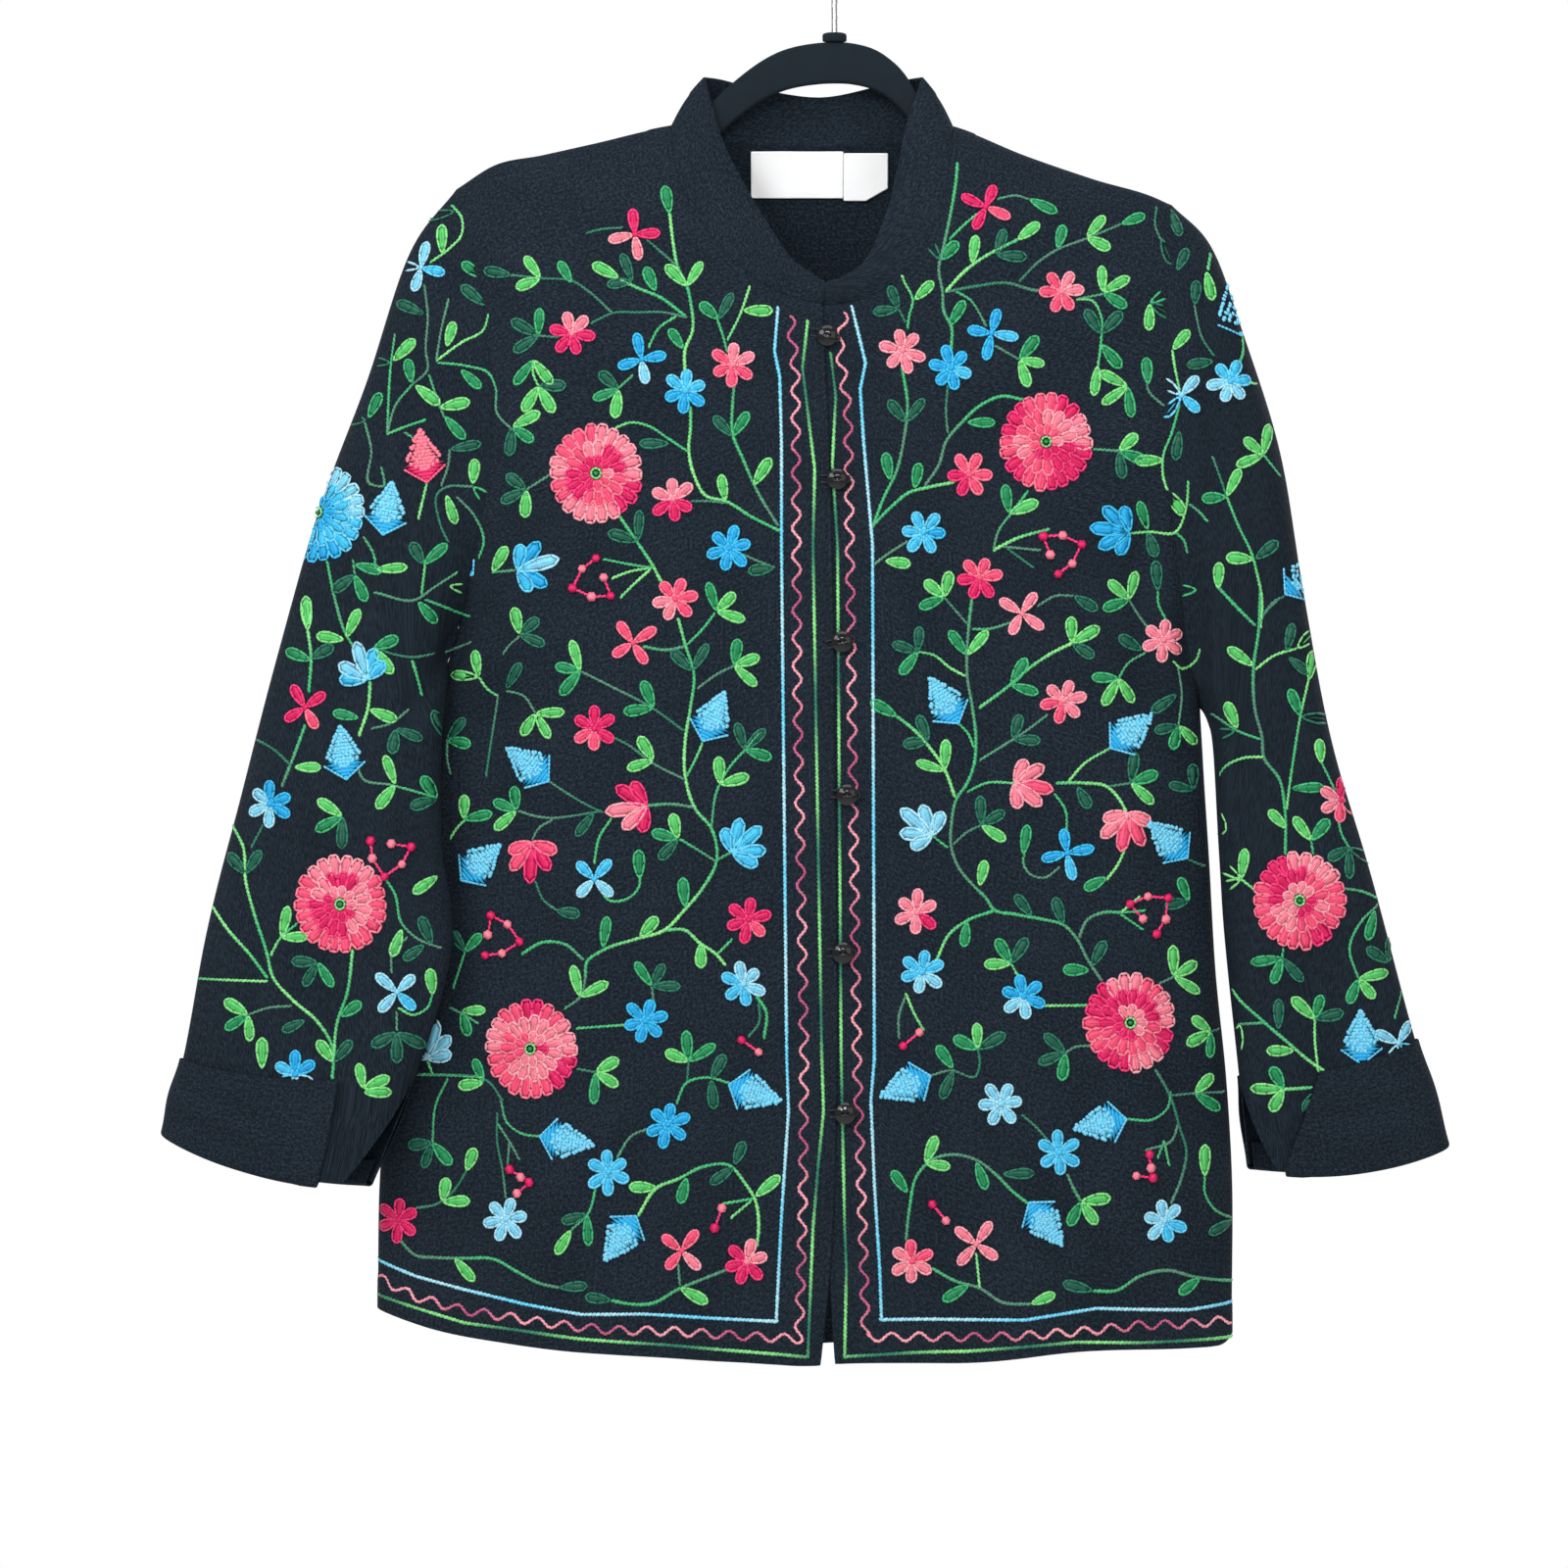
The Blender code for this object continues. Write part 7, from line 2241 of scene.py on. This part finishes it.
def cast_stitch(stitch, owner, side):
    """Name of the cloth and place, direction, outward normal, size and colour, or nothing."""
    hits = first_hits(stitch[0], stitch[1], side)
    wanted = [hit for hit in hits if hit[1] == owner] if owner else hits
    if not wanted or wanted[0][1] not in EMBROIDERED or wanted[0][0] > hits[0][0] + COVER_GAP:
        return None
    _, name, point, normal = wanted[0]
    if normal.y * side < 0:
        normal = -normal
    if abs(normal.y) < STEEPEST:
        return None
    x = math.cos(stitch[2])
    z = math.sin(stitch[2])
    along = Vector((x, -(normal.x * x + normal.z * z) / normal.y, z))
    length, width, height, lift = (part * MM for part in stitch[3:FIRST_COLOUR])
    if stitch[3] > LONG_STITCH:
        ends = [ray(name, stitch[0] + x * reach, stitch[1] + z * reach, side)[0]
                for reach in (-LONG_STITCH_SPAN * stitch[3], LONG_STITCH_SPAN * stitch[3])]
        if None in ends or max(abs((end - point).dot(normal)) for end in ends) > LONG_STITCH_RISE:
            return None
    stretch = min(along.length, LONGEST_STRETCH)
    place = point + normal * (lift + STITCH_SINK * height)
    size = (height, width, length * stretch)
    return name, (place, along.normalized(), normal, size, stitch[FIRST_COLOUR:])


def spread_to_middle(x):
    """The back has no closure, so its bouquets reach further in."""
    if x < LAYOUT_LEFT or x > LAYOUT_RIGHT:
        return x
    edge = LAYOUT_LEFT if x < 0 else LAYOUT_RIGHT
    return edge + (x - edge) * BACK_SPREAD


def cast_parts(parts, side, stitched):
    """Adds the stitches of the parts to the lists of the cloths that they land on."""
    for centre, stitches in parts:
        owner = None
        if centre is not None:
            hits = first_hits(*centre, side)
            if not hits:
                continue
            owner = next((hit[1] for hit in hits if hit[1] in EMBROIDERED), None)
        for stitch in stitches:
            landed = cast_stitch(stitch, owner, side)
            if landed:
                stitched[landed[0]].append(landed[1])


print("cloths and what covers them:", len(search))

# %% Stitches in front and behind
stitched = {name: [] for name in EMBROIDERED}
front_parts = layout + [(None, border(kind, pairs(row))) for kind, row in BORDERS] + seams(-1)
cast_parts(front_parts, -1, stitched)
print("stitches in front:", sum(map(len, stitched.values())))

back_parts = seams(1)
for centre, stitches in layout:
    middle = centre or np.array(stitches)[:, :2].mean(axis=0)
    moved = np.array(stitches, float)
    if centre is None:
        moved[:, 0] = [spread_to_middle(x) for x in moved[:, 0]]
    else:
        moved[:, 0] += spread_to_middle(centre[0]) - centre[0]
        centre = (spread_to_middle(centre[0]), centre[1])
    back_parts.append((centre, moved))
back_hem_x = np.linspace(LEFT_HEM_X, RIGHT_HEM_X, 80)
for kind, over_hem in BACK_BORDERS:
    line = np.stack((back_hem_x, hem(back_hem_x) + BACK_HEM_RISE), axis=-1) / MM
    back_parts.append((None, border(kind, line + np.array((0.0, over_hem)))))
cast_parts(back_parts, 1, stitched)
print("stitches on each cloth:", {name: len(stitches) for name, stitches in stitched.items()})

# %% [markdown]
# ### Stitches as geometry
# One tree of Geometry Nodes sets a small rounded bead on every point, with its length along the
# stitch and its flat side on the cloth. The thread's colour rides along as an attribute.

# %% The tree of nodes
BEAD_SIDES = 4
BEAD_RINGS = 3
SIZE_SEED = 7
SIZES = (0.90, 1.10)            # of a bead, by chance


def bead_tree():
    """Beads of thread on points that carry a direction, a normal, a size and a colour."""
    tree = bpy.data.node_groups.new("beads_of_thread", "GeometryNodeTree")
    for name, kind in (("Points", "NodeSocketGeometry"), ("Bead sides", "NodeSocketInt"),
                       ("Bead rings", "NodeSocketInt"), ("Seed", "NodeSocketInt"),
                       ("Thread material", "NodeSocketMaterial")):
        tree.interface.new_socket(name, in_out="INPUT", socket_type=kind)
    tree.interface.new_socket("Stitches", in_out="OUTPUT", socket_type="NodeSocketGeometry")

    def add(kind, inputs=None, **settings):
        made = tree.nodes.new(kind)
        for setting, value in settings.items():
            setattr(made, setting, value)
        for socket, value in (inputs or {}).items():
            if isinstance(value, bpy.types.NodeSocket):
                tree.links.new(value, made.inputs[socket])
            else:
                made.inputs[socket].default_value = value
        return made

    def attribute(name):
        made = add("GeometryNodeInputNamedAttribute", {"Name": name}, data_type="FLOAT_VECTOR")
        return made.outputs["Attribute"]

    given = add("NodeGroupInput").outputs
    sphere = add("GeometryNodeMeshUVSphere",
                 {"Segments": given["Bead sides"], "Rings": given["Bead rings"],
                  "Radius": 0.5}).outputs["Mesh"]
    bead = add("GeometryNodeSetShadeSmooth", {"Geometry": sphere}).outputs["Geometry"]
    lengthwise = add("FunctionNodeAlignRotationToVector", {"Vector": attribute("along")}, axis="Z")
    upright = add("FunctionNodeAlignRotationToVector",
                  {"Rotation": lengthwise.outputs["Rotation"], "Vector": attribute("out")},
                  axis="X", pivot_axis="Z")
    uneven = add("FunctionNodeRandomValue", {"Seed": given["Seed"]}, data_type="FLOAT")
    uneven.inputs[2].default_value = SIZES[0]
    uneven.inputs[3].default_value = SIZES[1]
    size = add("ShaderNodeVectorMath", {0: attribute("size"), "Scale": uneven.outputs[1]},
               operation="SCALE")
    beads = add("GeometryNodeInstanceOnPoints",
                {"Points": given["Points"], "Instance": bead, "Rotation": upright.outputs["Rotation"],
                 "Scale": size.outputs["Vector"]}).outputs["Instances"]
    real = add("GeometryNodeRealizeInstances", {"Geometry": beads}).outputs["Geometry"]
    dyed = add("GeometryNodeSetMaterial", {"Geometry": real, "Material": given["Thread material"]})
    add("NodeGroupOutput", {"Stitches": dyed.outputs["Geometry"]})
    return tree


thread_finish = Finish("embroidery_thread")
thread_place = thread_finish.place()
thread_dye = thread_finish.node("ShaderNodeAttribute", {"attribute_name": "thread"}, output="Color")
thread_fuzz = thread_finish.noise(thread_place, 2200.0, detail=2.0, roughness=0.6)
thread_along = thread_finish.stretched(thread_place, (3200.0, 900.0, 3200.0))
thread_fibres = thread_finish.noise(thread_along, 1.0)
embroidery_thread = thread_finish.set(
    Base_Color=thread_finish.mix(thread_fuzz * 0.55, thread_dye, (0.25, 0.25, 0.28), "MULTIPLY"),
    Roughness=0.42 + thread_fuzz * 0.25,
    Specular_IOR_Level=0.35,
    Normal=thread_finish.bump(thread_fibres + thread_fuzz * 0.6, 0.12 * MM, 0.7))
beads_of_thread = bead_tree()
print("nodes in the tree:", len(beads_of_thread.nodes))

# %% The embroidery of each cloth
def embroidered(name, stitches):
    """All stitches of one cloth as one plain mesh."""
    points = bpy.data.meshes.new(name + "_points")
    places, along, out, size, colour = zip(*stitches)
    points.from_pydata(places, [], [])
    for title, values in (("along", along), ("out", out), ("size", size)):
        values = np.array([tuple(value) for value in values], float)
        points.attributes.new(title, "FLOAT_VECTOR", "POINT").data.foreach_set("vector", values.ravel())
    shades = np.concatenate((np.array(colour, float), np.ones((len(colour), 1))), axis=1)
    points.attributes.new("thread", "FLOAT_COLOR", "POINT").data.foreach_set("color", shades.ravel())
    holder = in_scene(name + "_points", points)
    modifier = holder.modifiers.new("stitches", "NODES")
    modifier.node_group = beads_of_thread
    values = {"Bead sides": BEAD_SIDES, "Bead rings": BEAD_RINGS, "Seed": SIZE_SEED,
              "Thread material": embroidery_thread}
    for socket in beads_of_thread.interface.items_tree:
        if socket.name in values:
            modifier[socket.identifier] = values[socket.name]
    evaluated = holder.evaluated_get(bpy.context.evaluated_depsgraph_get())
    mesh = bpy.data.meshes.new_from_object(evaluated)
    mesh.name = name
    for title in ("along", "out", "size"):
        if title in mesh.attributes:
            mesh.attributes.remove(mesh.attributes[title])
    bpy.data.objects.remove(holder)
    return in_scene(name, mesh)


embroidery = {name: embroidered(name + "_embroidery", stitches)
              for name, stitches in stitched.items()}
print("embroidery triangles:", {name: triangles(piece) for name, piece in embroidery.items()})

# %% [markdown]
# ## What each piece stands for
# A dressed piece rides on the one body of the part and hides the CAD solid that it stands for. A table
# gives the size that each cloth was cut to, and the measured area of each cloth is printed.

# %% Bodies, solids and finishes
BODY = "root"


def dress(piece, node):
    """One piece stands for one CAD solid: it rides on the part's body and hides that solid."""
    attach(piece, BODY)
    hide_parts(node)


cloth_pieces = {
    "front_left": (front_left_cloth, "dark_cotton"),
    "front_right": (front_right_cloth, "dark_cotton"),
    "back": (back_cloth, "dark_cotton"),
    "sleeve_left": (sleeve_left_cloth, "dark_cotton"),
    "sleeve_right": (sleeve_right_cloth, "dark_cotton"),
    "cuff_left": (cuff_left_cloth, "plain_facing"),
    "cuff_right": (cuff_right_cloth, "plain_facing"),
    "collar": (collar_cloth, "plain_facing"),
    "label_main": (label_pieces["label_main"], "white_label"),
    "label_care": (label_pieces["label_care"], "white_label"),
}
hard_pieces = {"hanger": (hanger_piece, "black_flock"), "hanger_nub": (ferrule_piece, "black_flock"),
               "hook": (hook_piece, "hook_wire")}
hard_pieces.update({node: (piece, "black_button") for node, piece in button_pieces.items()})
hard_pieces.update({node: (piece, "black_thread") for node, piece in loop_pieces.items()})
for node, (piece, slot) in {**cloth_pieces, **hard_pieces}.items():
    dress(piece, node)
for node, piece in embroidery.items():
    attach(piece, BODY)


def cloth_area(piece):
    """Area of one face of a closed sheet, in square metres."""
    return sum(face.area for face in piece.data.polygons) / 2


for node, (piece, _) in cloth_pieces.items():
    print(node, "measures", round(cloth_area(piece), 4), "square metres")

# %% The cuts
CUTS = {
    "front_left": (0.275, 0.720, 0.160, ("hanger_flocked",)),
    "front_right": (0.265, 0.720, 0.152, ("hanger_flocked",)),
    "back": (0.520, 0.715, 0.318, ("hanger_flocked",)),
    "sleeve_left": (0.400, 0.580, 0.132, ("front_left_cloth", "back_cloth")),
    "sleeve_right": (0.340, 0.560, 0.100, ("front_right_cloth", "back_cloth")),
    "cuff_left": (0.245, 0.083, None, ("sleeve_left_cloth",)),
    "cuff_right": (0.235, 0.083, None, ("sleeve_right_cloth",)),
    "collar": (0.420, 0.028, None, ("front_left_cloth", "front_right_cloth", "back_cloth")),
    "label_main": (0.053, 0.026, None, ("back_cloth",)),
    "label_care": (0.025, 0.0265, None, ("back_cloth",)),
}
for node, row in CUTS.items():
    sewn = [embroidery[node]] if node in embroidery else []
print("sheets:", len(CUTS))

# %% [markdown]
# ## Stage and light
# The photograph has a pure white ground and soft light from all round, a little stronger from
# above. The world gives both: the camera sees it pure white, and it lights the pieces less. The
# jacket hangs well above a pale floor, with nothing behind it, so it can be seen from any side.
# Large lamps give soft light, so dark cloth keeps its detail and gloss shows as broad highlights.

# %% Pale floor
FLOOR_HEIGHT = -1.6
FLOOR_RADIUS = 3.0
FLOOR_SIDES = 96

floor_finish = Finish("pale_floor")
floor_cloud = floor_finish.noise(floor_finish.place(), 2.0)
pale_floor = floor_finish.set(
    Base_Color=floor_finish.mix(floor_cloud, (0.86, 0.86, 0.86), (0.90, 0.90, 0.90)),
    Roughness=0.9,
    Specular_IOR_Level=0.1)
floor_turns = math.tau * np.arange(FLOOR_SIDES) / FLOOR_SIDES
floor_mesh = bpy.data.meshes.new("pale_floor")
floor_mesh.from_pydata([(FLOOR_RADIUS * math.cos(turn), FLOOR_RADIUS * math.sin(turn), FLOOR_HEIGHT)
                        for turn in floor_turns], [], [tuple(range(FLOOR_SIDES))])
floor_mesh.materials.append(pale_floor)
floor = in_scene("pale_floor", floor_mesh)
print("floor radius:", FLOOR_RADIUS, "m")

# %% Lights
LIGHT_COLUMNS = ("name", "place", "aim", "width", "height", "power")
LIGHTS = (
    ("key", (-1.9, -1.9, 1.0), (-0.02, 0.0, -0.45), 1.3, 1.3, 32),
    ("fill", (1.9, -2.3, 0.2), (-0.02, 0.0, -0.50), 1.8, 2.0, 13),
    ("top", (0.0, -0.8, 1.7), (0.0, 0.0, -0.40), 2.2, 1.0, 19),
    ("neck", (0.0, -1.5, 0.25), (0.0, 0.0, -0.14), 0.5, 0.3, 9),
    ("glint", (-1.0, -2.0, 0.35), (0.0, 0.0, -0.45), 0.30, 0.30, 8),
    ("back_key", (1.9, 1.9, 1.0), (0.0, 0.0, -0.45), 1.3, 1.3, 34),
    ("back_fill", (-1.9, 2.3, 0.2), (0.0, 0.0, -0.50), 1.8, 2.0, 20),
)
for row in LIGHTS:
    light = dict(zip(LIGHT_COLUMNS, row))
    lamp_data = bpy.data.lights.new(light["name"], "AREA")
    lamp_data.shape = "RECTANGLE"
    lamp_data.size = light["width"]
    lamp_data.size_y = light["height"]
    lamp_data.energy = light["power"]
    lamp = in_scene(light["name"], lamp_data)
    lamp.location = light["place"]
    lamp.rotation_euler = (Vector(light["aim"]) - lamp.location).to_track_quat("-Z", "Y").to_euler()
    lamp.visible_camera = False

WORLD_LIGHT = 0.50              # what lights the pieces; the camera sees 1
world = bpy.data.worlds.new("white_world")
world.use_nodes = True
world_tree = world.node_tree
background = world_tree.nodes["Background"]
background.inputs["Color"].default_value = (1, 1, 1, 1)
rays = world_tree.nodes.new("ShaderNodeLightPath")
strength = world_tree.nodes.new("ShaderNodeMath")
strength.operation = "MULTIPLY_ADD"
strength.inputs[1].default_value = 1 - WORLD_LIGHT
strength.inputs[2].default_value = WORLD_LIGHT
world_tree.links.new(rays.outputs["Is Camera Ray"], strength.inputs[0])
world_tree.links.new(strength.outputs["Value"], background.inputs["Strength"])
bpy.context.scene.world = world
bpy.context.scene.view_settings.view_transform = "Standard"
print("lights:", len(LIGHTS))
